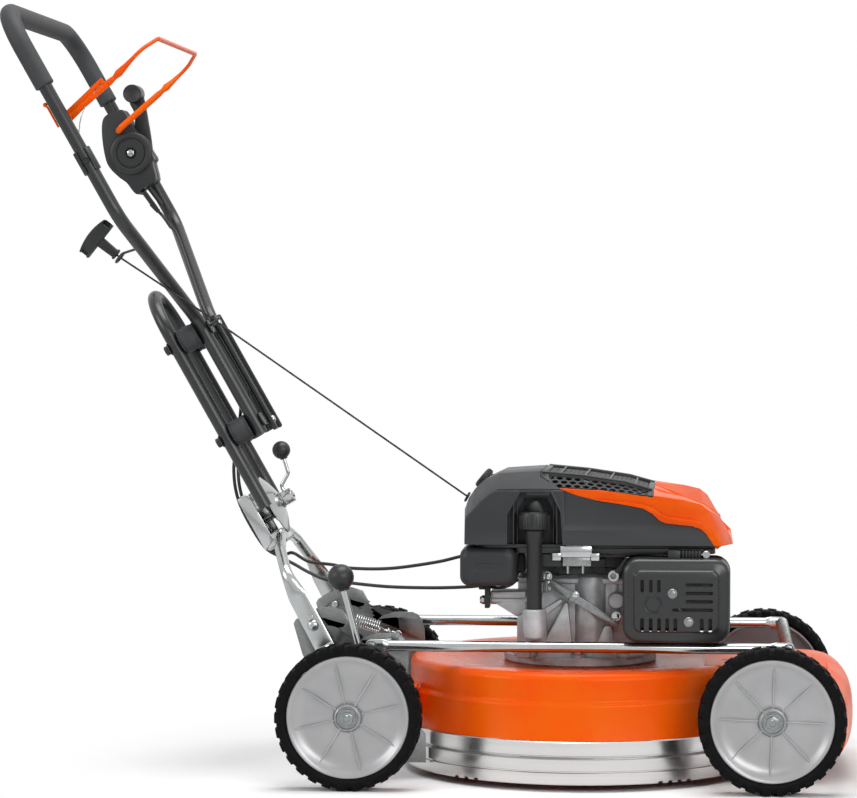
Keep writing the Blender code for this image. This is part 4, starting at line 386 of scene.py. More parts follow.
class Shape:
    """A mesh under work, in mower coordinates."""

    def __init__(self) -> None:
        """Starts empty."""
        self.bm = bmesh.new()

    def add(self, *others: "Shape") -> "Shape":
        """Takes in other shapes and gives itself.

        Args:
            others: the shapes that it takes in.

        Returns:
            The shape itself.
        """
        for other in others:
            mesh = bpy.data.meshes.new("passing")
            other.bm.to_mesh(mesh)
            self.bm.from_mesh(mesh)
            bpy.data.meshes.remove(mesh)
        return self

    def moved(self, matrix: Matrix) -> "Shape":
        """Moves the whole shape and keeps its faces outwards.

        Args:
            matrix: the placement.

        Returns:
            The shape itself.
        """
        bmesh.ops.transform(self.bm, matrix=matrix, verts=self.bm.verts)
        if matrix.determinant() < 0:
            bmesh.ops.reverse_faces(self.bm, faces=self.bm.faces)
        return self

    def soften(self, width: float, segments: int = 2, angle: float = 30.0) -> "Shape":
        """Rounds every edge that is sharper than an angle.

        Args:
            width: how far the rounding reaches on each side.
            segments: how many strips it has.
            angle: the least angle in degrees between the two faces.

        Returns:
            The shape itself.
        """
        limit = math.radians(angle)
        edges = [e for e in self.bm.edges if len(e.link_faces) == 2 and e.calc_face_angle(0.0) > limit]
        bmesh.ops.bevel(
            self.bm, geom=edges, offset=width, offset_type="OFFSET", segments=segments, profile=0.5, affect="EDGES",
            clamp_overlap=True, material=-1,
        )
        return self

    def carved(self, tool: "Shape", operation: str = "DIFFERENCE") -> "Shape":
        """Cuts, joins or trims the shape by another.

        Args:
            tool: the other shape.
            operation: DIFFERENCE, UNION or INTERSECT.

        Returns:
            The shape itself.
        """
        bodies = []
        for shape in (self, tool):
            bmesh.ops.recalc_face_normals(shape.bm, faces=shape.bm.faces)
            mesh = bpy.data.meshes.new("passing")
            shape.bm.to_mesh(mesh)
            bodies.append(bpy.data.objects.new("passing", mesh))
            bpy.context.scene.collection.objects.link(bodies[-1])
        step = bodies[0].modifiers.new("carve", "BOOLEAN")
        step.solver = "EXACT"
        step.operation = operation
        step.use_self = True
        step.object = bodies[1]
        made = bpy.data.meshes.new_from_object(bodies[0].evaluated_get(bpy.context.evaluated_depsgraph_get()))
        self.bm.clear()
        self.bm.from_mesh(made)
        for body in bodies:
            bpy.data.meshes.remove(body.data)
        bpy.data.meshes.remove(made)
        return self

    def ringed(self, count: int, centre: Vector, axis: Vector) -> "Shape":
        """Repeats the shape evenly round an axis.

        Args:
            count: how many there are in the end.
            centre: a point of the axis.
            axis: its direction.

        Returns:
            The shape itself.
        """
        geometry = [*self.bm.verts, *self.bm.edges, *self.bm.faces]
        bmesh.ops.spin(
            self.bm, geom=geometry, cent=centre, axis=axis, angle=math.tau * (count - 1) / count, steps=count - 1,
            use_duplicate=True,
        )
        return self

    def piece(
        self, name: str, slot: Slot, nodes: tuple, finish: Enum | None = None, smooth: float = 32.0,
        outward: bool = False
    ) -> bpy.types.Object:
        """Turns the shape into an object of the scene.

        Args:
            name: the object's name.
            slot: the material slot that it takes its finish from.
            nodes: the CAD nodes that it stands for.
            finish: the choice that gives its finish, if that isn't the slot's own.
            smooth: edges sharper than this, in degrees, stay crisp.
            outward: whether its normals are worked out again.

        Returns:
            The new object, in the frame's coordinates.
        """
        bmesh.ops.remove_doubles(self.bm, verts=self.bm.verts, dist=1e-6)
        if outward:
            bmesh.ops.recalc_face_normals(self.bm, faces=self.bm.faces)
        bmesh.ops.translate(self.bm, vec=(REAR_AXLE_X, 0.0, 0.0), verts=self.bm.verts)
        mesh = bpy.data.meshes.new(name)
        self.bm.to_mesh(mesh)
        self.bm.free()
        mesh.shade_smooth()
        mesh.set_sharp_from_angle(angle=math.radians(smooth))
        mesh.materials.append((finish or slot).value.material())
        made = bpy.data.objects.new(name, mesh)
        bpy.context.scene.collection.objects.link(made)
        slot.name.lower()
        if nodes:
            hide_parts(*nodes)
        log.info("%s: %d faces", name, len(mesh.polygons))
        return made

    def fit(self, name: str, body: str, slot: Slot, *nodes: str, **look) -> None:
        """Hands the shape to the frame as a piece that rides on one body.

        Args:
            name: the object's name.
            body: the body that it rides on.
            slot: the material slot of its finish.
            nodes: the CAD nodes that it stands for.
            look: finish, smooth and outward, as piece() takes them.
        """
        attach(self.piece(name, slot, nodes, **look), body)

    def hold(self, name: str, bodies: tuple, ends: tuple, slot: Slot, *nodes: str) -> None:
        """Hands the shape to the frame as a piece that stays in the frame's coordinates, on no body.

        Args:
            name: the object's name.
            bodies: not used.
            ends: not used.
            slot: the material slot of its finish.
            nodes: the CAD nodes that it stands for.
        """
        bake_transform(self.piece(name, slot, nodes))


def prism(outline: list, low: float, high: float, axis: str = "Y", soft: float = 0.0, segments: int = 2) -> Shape:
    """Pushes an outline along an axis.

    Args:
        outline: its corners: (x, z) for Y, (x, y) for Z and (y, z) for X.
        low: one end on the axis.
        high: the other end.
        axis: X, Y or Z.
        soft: how far its edges are rounded.
        segments: how many strips that rounding has.

    Returns:
        The new shape.
    """
    low, high = sorted((low, high))
    place = {"Y": lambda a, b, c: (a, c, b), "Z": lambda a, b, c: (a, b, c), "X": lambda a, b, c: (c, a, b)}[axis]
    shape = Shape()
    face = shape.bm.faces.new([shape.bm.verts.new(place(a, b, low)) for a, b in outline])
    grown = bmesh.ops.extrude_face_region(shape.bm, geom=[face])
    verts = [v for v in grown["geom"] if isinstance(v, bmesh.types.BMVert)]
    bmesh.ops.translate(shape.bm, vec=place(0.0, 0.0, high - low), verts=verts)
    bmesh.ops.recalc_face_normals(shape.bm, faces=shape.bm.faces)
    return shape.soften(soft, segments) if soft else shape


def block(low: tuple, high: tuple, soft: float = 0.0, segments: int = 2) -> Shape:
    """A box between two opposite corners, with rounded edges.

    Args:
        low: one corner.
        high: the opposite corner.
        soft: how far its edges are rounded.
        segments: how many strips that rounding has.

    Returns:
        The new shape.
    """
    shape = Shape()
    low, high = zip(*[sorted(pair) for pair in zip(low, high)])
    size = [h - l for l, h in zip(low, high)]
    middle = [(h + l) / 2 for l, h in zip(low, high)]
    bmesh.ops.create_cube(shape.bm, size=1.0, matrix=Matrix.Translation(middle) @ Matrix.Diagonal((*size, 1.0)))
    return shape.soften(soft, segments) if soft else shape


def turned(
    profile: list, centre: tuple = (0, 0, 0), axis: tuple = (0, 0, 1), steps: int = 64, closed: bool = False,
    side: Vector | None = None
) -> Shape:
    """Spins a profile about an axis.

    Args:
        profile: its (radius, height) pairs.
        centre: a point of the axis, where height is 0.
        axis: the axis' direction.
        steps: how many steps a full turn has.
        closed: whether the profile's ends meet.
        side: where the first step starts, if that matters.

    Returns:
        The new shape.
    """
    shape = Shape()
    verts = [shape.bm.verts.new((radius, 0.0, height)) for radius, height in profile]
    edges = [shape.bm.edges.new(pair) for pair in zip(verts, verts[1:])]
    if closed:
        edges.append(shape.bm.edges.new((verts[-1], verts[0])))
    bmesh.ops.spin(
        shape.bm, geom=verts + edges, cent=(0, 0, 0), axis=(0, 0, 1), angle=math.tau, steps=steps, use_merge=True
    )
    bmesh.ops.remove_doubles(shape.bm, verts=shape.bm.verts, dist=1e-6)
    bmesh.ops.recalc_face_normals(shape.bm, faces=shape.bm.faces)
    return shape.moved(frame_on(centre, axis, side))


def rod(start: tuple | Vector, end: tuple | Vector, radius: float, steps: int = 24, soft: float = 0.0) -> Shape:
    """A round bar between two points, with softened rims.

    Args:
        start: the middle of one end.
        end: the middle of the other.
        radius: its radius.
        steps: how many sides its round has.
        soft: how far its rims are rounded.

    Returns:
        The new shape.
    """
    start, end = Vector(start), Vector(end)
    length = (end - start).length
    soft = min(soft, radius * 0.45, length * 0.45)
    profile = [(0.0, 0.0), (radius - soft, 0.0), (radius, soft), (radius, length - soft), (radius - soft, length)]
    return turned([*profile, (0.0, length)], start, end - start, steps)


def nut(start: tuple | Vector, end: tuple | Vector, radius: float, phase: float = 11.0) -> Shape:
    """A hexagon bar between two points, with chamfered rims.

    Args:
        start: the middle of one end.
        end: the middle of the other.
        radius: from its axis to a corner.
        phase: how far it is turned, in degrees.

    Returns:
        The new shape.
    """
    start, end = Vector(start), Vector(end)
    shape = Shape()
    place = frame_on((start + end) / 2, end - start) @ Matrix.Rotation(math.radians(phase), 4, "Z")
    bmesh.ops.create_cone(
        shape.bm, cap_ends=True, segments=6, radius1=radius, radius2=radius, depth=(end - start).length, matrix=place
    )
    return shape.soften(radius * 0.1)


def ball(centre: Vector, radius: float) -> Shape:
    """A smooth ball.

    Args:
        centre: its middle.
        radius: its radius.

    Returns:
        The new shape.
    """
    shape = Shape()
    bmesh.ops.create_uvsphere(
        shape.bm, u_segments=40, v_segments=24, radius=radius, matrix=Matrix.Translation(Vector(centre))
    )
    return shape


def swept(path: list, radii: float | list, sides: int = 20, side: Vector | None = None) -> Shape:
    """Carries a round or oval section along a path.

    Args:
        path: its points.
        radii: one radius, or a pair of half widths for each point, the first towards the side.
        sides: how many sides the section has.
        side: the direction of the section's first half width at the start.

    Returns:
        The new shape, closed at both ends.
    """
    shape = Shape()
    path = [Vector(p) for p in path]
    pairs = [(radii, radii)] * len(path) if isinstance(radii, float) else radii
    loops = []
    for k, (point, (wide, thick)) in enumerate(zip(path, pairs)):
        way = (path[min(k + 1, len(path) - 1)] - path[max(k - 1, 0)]).normalized()
        place = frame_on(point, way, side if side is not None else way.orthogonal())
        side = place.to_3x3().col[0].copy()
        ring = bmesh.ops.create_circle(
            shape.bm, cap_ends=k in (0, len(path) - 1), segments=sides, radius=1.0,
            matrix=place @ Matrix.Diagonal((wide, thick, 1.0, 1.0)),
        )["verts"]
        loops.append(list({edge for vert in ring for edge in vert.link_edges}))
    for a, b in zip(loops, loops[1:]):
        bmesh.ops.bridge_loops(shape.bm, edges=a + b)
    bmesh.ops.recalc_face_normals(shape.bm, faces=shape.bm.faces)
    return shape


def rounded(points: list, radii: float | list, steps: int = 8) -> list:
    """Makes a path's inner corners arcs.

    Args:
        points: the path's corners.
        radii: one bend radius, or one for each inner corner.
        steps: how many points an arc has.

    Returns:
        The finer path.
    """
    points = [Vector(p) for p in points]
    if isinstance(radii, float):
        radii = [radii] * (len(points) - 2)
    path = [points[0]]
    for before, corner, after, radius in zip(points, points[1:], points[2:], radii):
        back, ahead = (before - corner).normalized(), (after - corner).normalized()
        half = back.angle(ahead) / 2
        if half > math.radians(89.5):
            path.append(corner)
            continue
        reach = min(radius / math.tan(half), (before - corner).length / 2, (after - corner).length / 2)
        middle = corner + (back + ahead).normalized() * (reach * math.tan(half) / math.sin(half))
        first, last = corner + back * reach - middle, corner + ahead * reach - middle
        sweep = first.angle(last)
        for k in range(steps + 1):
            share = k / steps
            path.append(
                middle + (first * math.sin((1 - share) * sweep) + last * math.sin(share * sweep)) / math.sin(sweep)
            )
    path.append(points[-1])
    return path


def smoothed(points: list, pieces: int = 6, closed: bool = False) -> list:
    """Runs a smooth curve through points.

    Args:
        points: two- or three-number points that it passes through.
        pieces: how many steps there are between two of them.
        closed: whether it comes back to its start.

    Returns:
        The finer list of points.
    """
    points = [Vector(p) for p in points]
    if closed:
        ends = [points[-1], *points, points[0], points[1]]
    else:
        ends = [points[0] * 2 - points[1], *points, points[-1] * 2 - points[-2]]
    path = []
    for a, b, c, d in zip(ends, ends[1:], ends[2:], ends[3:]):
        for k in range(pieces):
            t = k / pieces
            path.append((b * 2 + (c - a) * t + (a * 2 - b * 5 + c * 4 - d) * t**2 + (b * 3 - a - c * 3 + d) * t**3) / 2)
    if not closed:
        path.append(points[-1])
    return path


def arc(centre: tuple, radius: float, start: float, end: float, steps: int = 12) -> list:
    """Points of an arc in degrees, in the plane of an outline."""
    turns = [math.radians(start + (end - start) * k / steps) for k in range(steps + 1)]
    return [(centre[0] + radius * math.cos(t), centre[1] + radius * math.sin(t)) for t in turns]


def rounded_box(low: tuple, high: tuple, radius: float, steps: int = 6) -> list:
    """The outline of a rectangle with round corners.

    Args:
        low: its lowest corner.
        high: its highest corner.
        radius: the corners' radius.
        steps: how many pieces a corner has.

    Returns:
        The outline's points.
    """
    outline = []
    for x, z, start in ((high[0], high[1], 0), (low[0], high[1], 90), (low[0], low[1], 180), (high[0], low[1], 270)):
        centre = (x - radius if start in (0, 270) else x + radius, z - radius if start in (0, 90) else z + radius)
        outline += arc(centre, radius, start, start + 90, steps)
    return outline


def capsule(first: tuple, last: tuple, radius: float, last_radius: float | None = None) -> list:
    """The outline of a bar with round ends between two points.

    Args:
        first: the middle of one end.
        last: the middle of the other.
        radius: the first end's radius.
        last_radius: the last end's, if it differs.

    Returns:
        The outline's points.
    """
    heading = math.degrees(math.atan2(last[1] - first[1], last[0] - first[0]))
    return arc(last, last_radius or radius, heading - 90, heading + 90) + arc(
        first, radius, heading + 90, heading + 270
    )


def inset(outline: list, gap: float) -> list:
    """Shrinks an outline by the same gap all round.

    Args:
        outline: its corners in order.
        gap: how far each edge moves inwards, or outwards if it is negative.

    Returns:
        The smaller outline, with as many corners.
    """
    points = [Vector(p) for p in outline]
    area = sum(a.x * b.y - b.x * a.y for a, b in zip(points, points[1:] + points[:1]))
    turn = 1.0 if area > 0 else -1.0
    made = []
    for before, corner, after in zip(points[-1:] + points[:-1], points, points[1:] + points[:1]):
        first, last = (corner - before).normalized(), (after - corner).normalized()
        normals = [Vector((-way.y, way.x)) * turn for way in (first, last)]
        middle = (normals[0] + normals[1]) / max(1.0 + normals[0].dot(normals[1]), 0.35)
        made.append(tuple(corner + middle * gap))
    return made


def lofted(loops: list, capped: bool = True) -> Shape:
    """Lays a skin over closed loops that have as many points each.

    Args:
        loops: the loops, each a list of three-number points.
        capped: whether the first and the last loop are closed by a face.

    Returns:
        The new shape.
    """
    shape = Shape()
    rows = [[shape.bm.verts.new(point) for point in loop] for loop in loops]
    for a, b in zip(rows, rows[1:]):
        for k in range(len(a)):
            shape.bm.faces.new((a[k], a[(k + 1) % len(a)], b[(k + 1) % len(b)], b[k]))
    if capped:
        shape.bm.faces.new(rows[0])
        shape.bm.faces.new(rows[-1])
    bmesh.ops.recalc_face_normals(shape.bm, faces=shape.bm.faces)
    return shape


def between(table: list, x: float) -> float:
    """Reads a height from a table of (x, height) pairs in rising order of x.

    Args:
        table: the pairs.
        x: where to read it.

    Returns:
        The height there.
    """
    for (x0, h0), (x1, h1) in zip(table, table[1:]):
        if x <= x1:
            return h0 + (h1 - h0) * max(x - x0, 0.0) / (x1 - x0)
    return table[-1][1]


def on_handle(along: float, across: float, out: float) -> Vector:
    """A point by its place on the sloping handle.

    Args:
        along: how far up the handle from the buffers' middle.
        across: to the mower's left.
        out: away from the ground, square to the handle.

    Returns:
        The point in mower coordinates.
    """
    return HANDLE_FOOT + HANDLE_UP * along + Vector((0.0, across, 0.0)) + HANDLE_OUT * out


# The wire hook that the starter grip hangs in, and the rope's direction there
ROPE_HOOK, ROPE_WAY = on_handle(0.316, -0.205, -0.035), Vector((-0.784, 0.0, 0.621))


def handle_place() -> Matrix:
    """The placement whose x is out from the handle, y across it and z up along it."""
    return Matrix.Translation(HANDLE_FOOT) @ Matrix((HANDLE_OUT, LEFT, HANDLE_UP)).transposed().to_4x4()


class Studio:
    """Camera, lights, floor and backdrop.

    The camera is the one that took the photograph: where it stood, how far it is turned and tilted,
    and its focal length in pixels of the photograph's width.
    """

    eye = (0.3742, -5.0, 0.7545)
    turn_degrees = 4.46
    tilt_degrees = 2.376
    focal_px = 3367
    photo_width_px = 857
    sensor_mm = 36.0
    floor_middle_x = 0.19
    shadow_reach, white_reach = 0.44, 0.8

    target = Vector((0.05, 0.0, 0.5))

    def build(self) -> None:
        """Sets up the whole studio."""
        self.camera()
        self.lights()
        self.world()
        self.floor()
        bpy.context.scene.view_settings.view_transform = "Standard"
        log.info("studio ready")

    def camera(self) -> None:
        """Places the camera where the photograph was taken."""
        turn, tilt = math.radians(self.turn_degrees), math.radians(self.tilt_degrees)
        way = Vector((-math.sin(turn) * math.cos(tilt), math.cos(turn) * math.cos(tilt), -math.sin(tilt)))
        data = bpy.data.cameras.new("camera")
        data.sensor_width = self.sensor_mm
        data.lens = self.sensor_mm * self.focal_px / self.photo_width_px
        data.clip_end = 60.0
        made = bpy.data.objects.new("camera", data)
        made.location = self.eye
        made.rotation_euler = way.to_track_quat("-Z", "Y").to_euler()
        bpy.context.scene.collection.objects.link(made)
        bpy.context.scene.camera = made

    def lights(self) -> None:
        """Hangs three soft boxes: overhead, front right and front left."""
        for name, place, width, height, watts in (
            ("overhead", (0.2, -0.2, 3.1), 2.4, 1.6, 78.0), ("front_right", (2.0, -3.2, 1.7), 2.6, 1.3, 56.0),
            ("front_left", (-3.0, -2.0, 1.6), 2.0, 1.3, 34.0),
        ):
            data = bpy.data.lights.new(name, "AREA")
            data.shape = "RECTANGLE"
            data.size = width
            data.size_y = height
            data.energy = watts
            made = bpy.data.objects.new(name, data)
            made.location = place
            made.rotation_euler = (self.target - Vector(place)).to_track_quat("-Z", "Y").to_euler()
            bpy.context.scene.collection.objects.link(made)

    def world(self) -> None:
        """Shows white to the camera and in reflections, and lights gently."""
        made = bpy.data.worlds.new("studio_world")
        bpy.context.scene.world = made
        made.use_nodes = True
        tree = made.node_tree
        tree.nodes.clear()
        ray = add_node(tree, "ShaderNodeLightPath").outputs
        seen = add_node(tree, "ShaderNodeMath", {0: ray["Is Camera Ray"], 1: ray["Is Glossy Ray"]}, operation="ADD")
        shown = add_node(
            tree, "ShaderNodeMath", {0: seen.outputs["Value"], 1: ray["Is Transmission Ray"]}, operation="ADD",
            use_clamp=True,
        )
        soft = add_node(tree, "ShaderNodeBackground", {"Color": linear("#E6E8EA"), "Strength": 0.38})
        white = add_node(tree, "ShaderNodeBackground", {"Color": linear("#FFFFFF"), "Strength": 1.0})
        both = add_node(
            tree, "ShaderNodeMixShader",
            {0: shown.outputs["Value"], 1: soft.outputs["Background"], 2: white.outputs["Background"]},
        )
        add_node(tree, "ShaderNodeOutputWorld", {"Surface": both.outputs["Shader"]})

    def floor(self) -> None:
        """Lays a plain white floor that keeps the shadow and turns to pure white further out."""
        bm = bmesh.new()
        bmesh.ops.create_grid(bm, x_segments=1, y_segments=1, size=14.0)
        mesh = bpy.data.meshes.new("floor")
        bm.to_mesh(mesh)
        bm.free()
        made = bpy.data.objects.new("floor", mesh)
        bpy.context.scene.collection.objects.link(made)
        material = bpy.data.materials.new("Matt white floor")
        material.use_nodes = True
        tree = material.node_tree
        tree.nodes.clear()
        matt = add_node(tree, "ShaderNodeBsdfDiffuse", {"Color": linear("#F7F7F7")})
        glow = add_node(tree, "ShaderNodeEmission", {"Color": linear("#FFFFFF"), "Strength": 1.0})
        place = add_node(tree, "ShaderNodeTexCoord")
        reach = add_node(
            tree, "ShaderNodeVectorMath", {0: place.outputs["Object"], 1: (self.floor_middle_x, 0.0, 0.0)},
            operation="DISTANCE",
        )
        fade = add_node(
            tree, "ShaderNodeMapRange",
            {
                "Value": reach.outputs["Value"], "From Min": self.shadow_reach, "From Max": self.white_reach,
                "To Min": 0.0, "To Max": 1.0,
            }, interpolation_type="SMOOTHSTEP",
        )
        ray = add_node(tree, "ShaderNodeLightPath")
        share = add_node(
            tree, "ShaderNodeMath", {0: fade.outputs["Result"], 1: ray.outputs["Is Camera Ray"]}, operation="MULTIPLY"
        )
        both = add_node(
            tree, "ShaderNodeMixShader",
            {0: share.outputs["Value"], 1: matt.outputs["BSDF"], 2: glow.outputs["Emission"]},
        )
        add_node(tree, "ShaderNodeOutputMaterial", {"Surface": both.outputs["Shader"]})
        mesh.materials.append(material)


@dataclass
class Wheel:
    """One wheel: a tyre with two rows of staggered lugs on a dished disc with eight ridges."""

    end: str
    side: Side
    axle_x: float
    radius: float = 0.1048
    rim: float = 0.088
    half_width: float = 0.022
    middle_y: float = 0.257
    axle_z: float = 0.105
    lugs: int = 30
    ridges: int = 8
    ridge_turn: float = 2.0

    @property
    def name(self) -> str:
        """The wheel's name in the frame."""
        return f"{self.end}_{self.side.hand}"

    @property
    def centre(self) -> Vector:
        """The middle of the wheel."""
        return Vector((self.axle_x, self.side * self.middle_y, self.axle_z))

    @property
    def outward(self) -> Vector:
        """The direction of the wheel's outer face."""
        return Vector((0.0, self.side, 0.0))

    def build(self) -> None:
        """Builds the tyre, the disc and the nut."""
        body = f"wheel_{self.name}"
        self.tyre().fit(f"fine_tyre_{self.name}", body, Slot.TYRE_RUBBER, f"tyre_{self.name}")
        self.disc().fit(f"fine_disc_{self.name}", body, Slot.SILVER_PLASTIC, f"wheel_disc_{self.name}", smooth=28)
        self.nut().fit(
            f"fine_nut_{self.name}", f"{self.end}_carrier", Slot.ZINC_PLATED_STEEL, f"wheel_nut_{self.name}",
            outward=True,
        )

    def tyre(self) -> Shape:
        """Makes the carcass, with its bead and bulge, and sets the lugs on it.

        Returns:
            The tyre.
        """
        half, rim, top = self.half_width, self.rim, self.radius
        side = [
            (rim, half - 0.0065), (rim + 0.0012, half - 0.003), (rim + 0.003, half - 0.0012),
            (rim + 0.0058, half - 0.0004), (rim + 0.0088, half - 0.0012), (top - 0.0042, half - 0.0035),
            (top - 0.0026, half - 0.0075), (top - 0.0022, 0.006),
        ]
        profile = [*side, *[(radius, -height) for radius, height in reversed(side)]]
        shape = turned(profile, steps=120, closed=True)
        lug = self.lug()
        step = math.tau / self.lugs
        lug.ringed(self.lugs, Vector(), UP)
        other = Shape().add(lug).moved(Matrix.Rotation(step / 2, 4, "Z") @ Matrix.Scale(-1, 4, (0, 0, 1)))
        shape.add(lug, other)
        return shape.moved(frame_on(self.centre, self.outward, AHEAD))

    def lug(self) -> Shape:
        """Makes one lug of the outer row, which laps over the shoulder on to the sidewall.

        Returns:
            The lug.
        """
        half, top = self.half_width, self.radius
        outline = [
            (top - 0.003, 0.0014), (top - 0.0001, 0.0022), (top, 0.012), (top - 0.0006, half - 0.0022),
            (top - 0.0028, half - 0.0001), (top - 0.0098, half - 0.0004), (top - 0.0102, half - 0.0022),
            (top - 0.0048, half - 0.0052),
        ]
        shape = prism(outline, -0.0062, 0.0062, "Y", 0.0007, 1)
        for vert in shape.bm.verts:
            if vert.co.z > 0.012:
                vert.co.y += (vert.co.z - 0.012) * 0.25
        return shape

    def disc(self) -> Shape:
        """Makes the moulded disc: hub, shallow dish with ridges, and a rolled lip.

        Returns:
            The disc.
        """
        seat = self.rim - 0.0003
        face = [
            (0.0083, 0.0198), (0.0172, 0.0198), (0.0184, 0.0194), (0.019, 0.0184), (0.0194, 0.0108), (0.0206, 0.0094),
            (0.0226, 0.009), (0.04, 0.007), (0.054, 0.006), (0.064, 0.0062), (0.071, 0.0076), (0.0762, 0.01),
            (0.08, 0.0128), (0.0826, 0.0146), (0.0846, 0.0154), (0.0866, 0.0156), (0.0874, 0.015), (seat, 0.0138),
        ]
        back = [
            (seat, -0.018), (0.0852, -0.018), (0.0806, 0.0), (0.076, 0.0016), (0.0215, 0.004), (0.0172, -0.012),
            (0.0172, -0.0198), (0.0083, -0.0198),
        ]
        shape = turned([*face, *back], steps=144, closed=True)
        ridge = prism(
            [(-0.0019, 0.003), (-0.0009, 0.0116), (0.0009, 0.0116), (0.0019, 0.003)], 0.0186, 0.0798, "X", 0.0004, 1
        )
        for vert in ridge.bm.verts:
            vert.co.z -= (vert.co.x - 0.0186) * 0.006
            vert.co.y *= 1.3 - 5.0 * (vert.co.x - 0.0186)
        ridge.ringed(self.ridges, Vector(), UP)
        shape.add(ridge, turned([(0.0208, 0.008), (0.0216, 0.0108), (0.023, 0.0108), (0.0236, 0.008)], steps=72))
        turn = Matrix.Rotation(math.radians(self.ridge_turn) * self.side, 4, "Z")
        return shape.moved(frame_on(self.centre, self.outward, AHEAD) @ turn)

    def nut(self) -> Shape:
        """Makes the washer, the nut and the axle's threaded end.

        Returns:
            The nut with its washer.
        """
        def at(height: float) -> Vector:
            """A point of the axle."""
            return self.centre + self.outward * height

        rings = [
            (0.0083, 0.0203), (0.0174, 0.0203), (0.0174, 0.0222), (0.0168, 0.0226), (0.0156, 0.0226), (0.015, 0.022),
            (0.0148, 0.0206), (0.0128, 0.0206), (0.0124, 0.022), (0.0083, 0.022),
        ]
        washer = turned(rings, self.centre, self.outward, 48, closed=True)
        hexagon = nut(at(0.0204), at(0.0262), 0.01)
        collar = rod(at(0.0217), at(0.0224), 0.0108, 36, 0.0002)
        thread = rod(at(0.0255), at(0.0278), 0.0052, 30, 0.0012)
        return washer.add(collar, hexagon, thread)


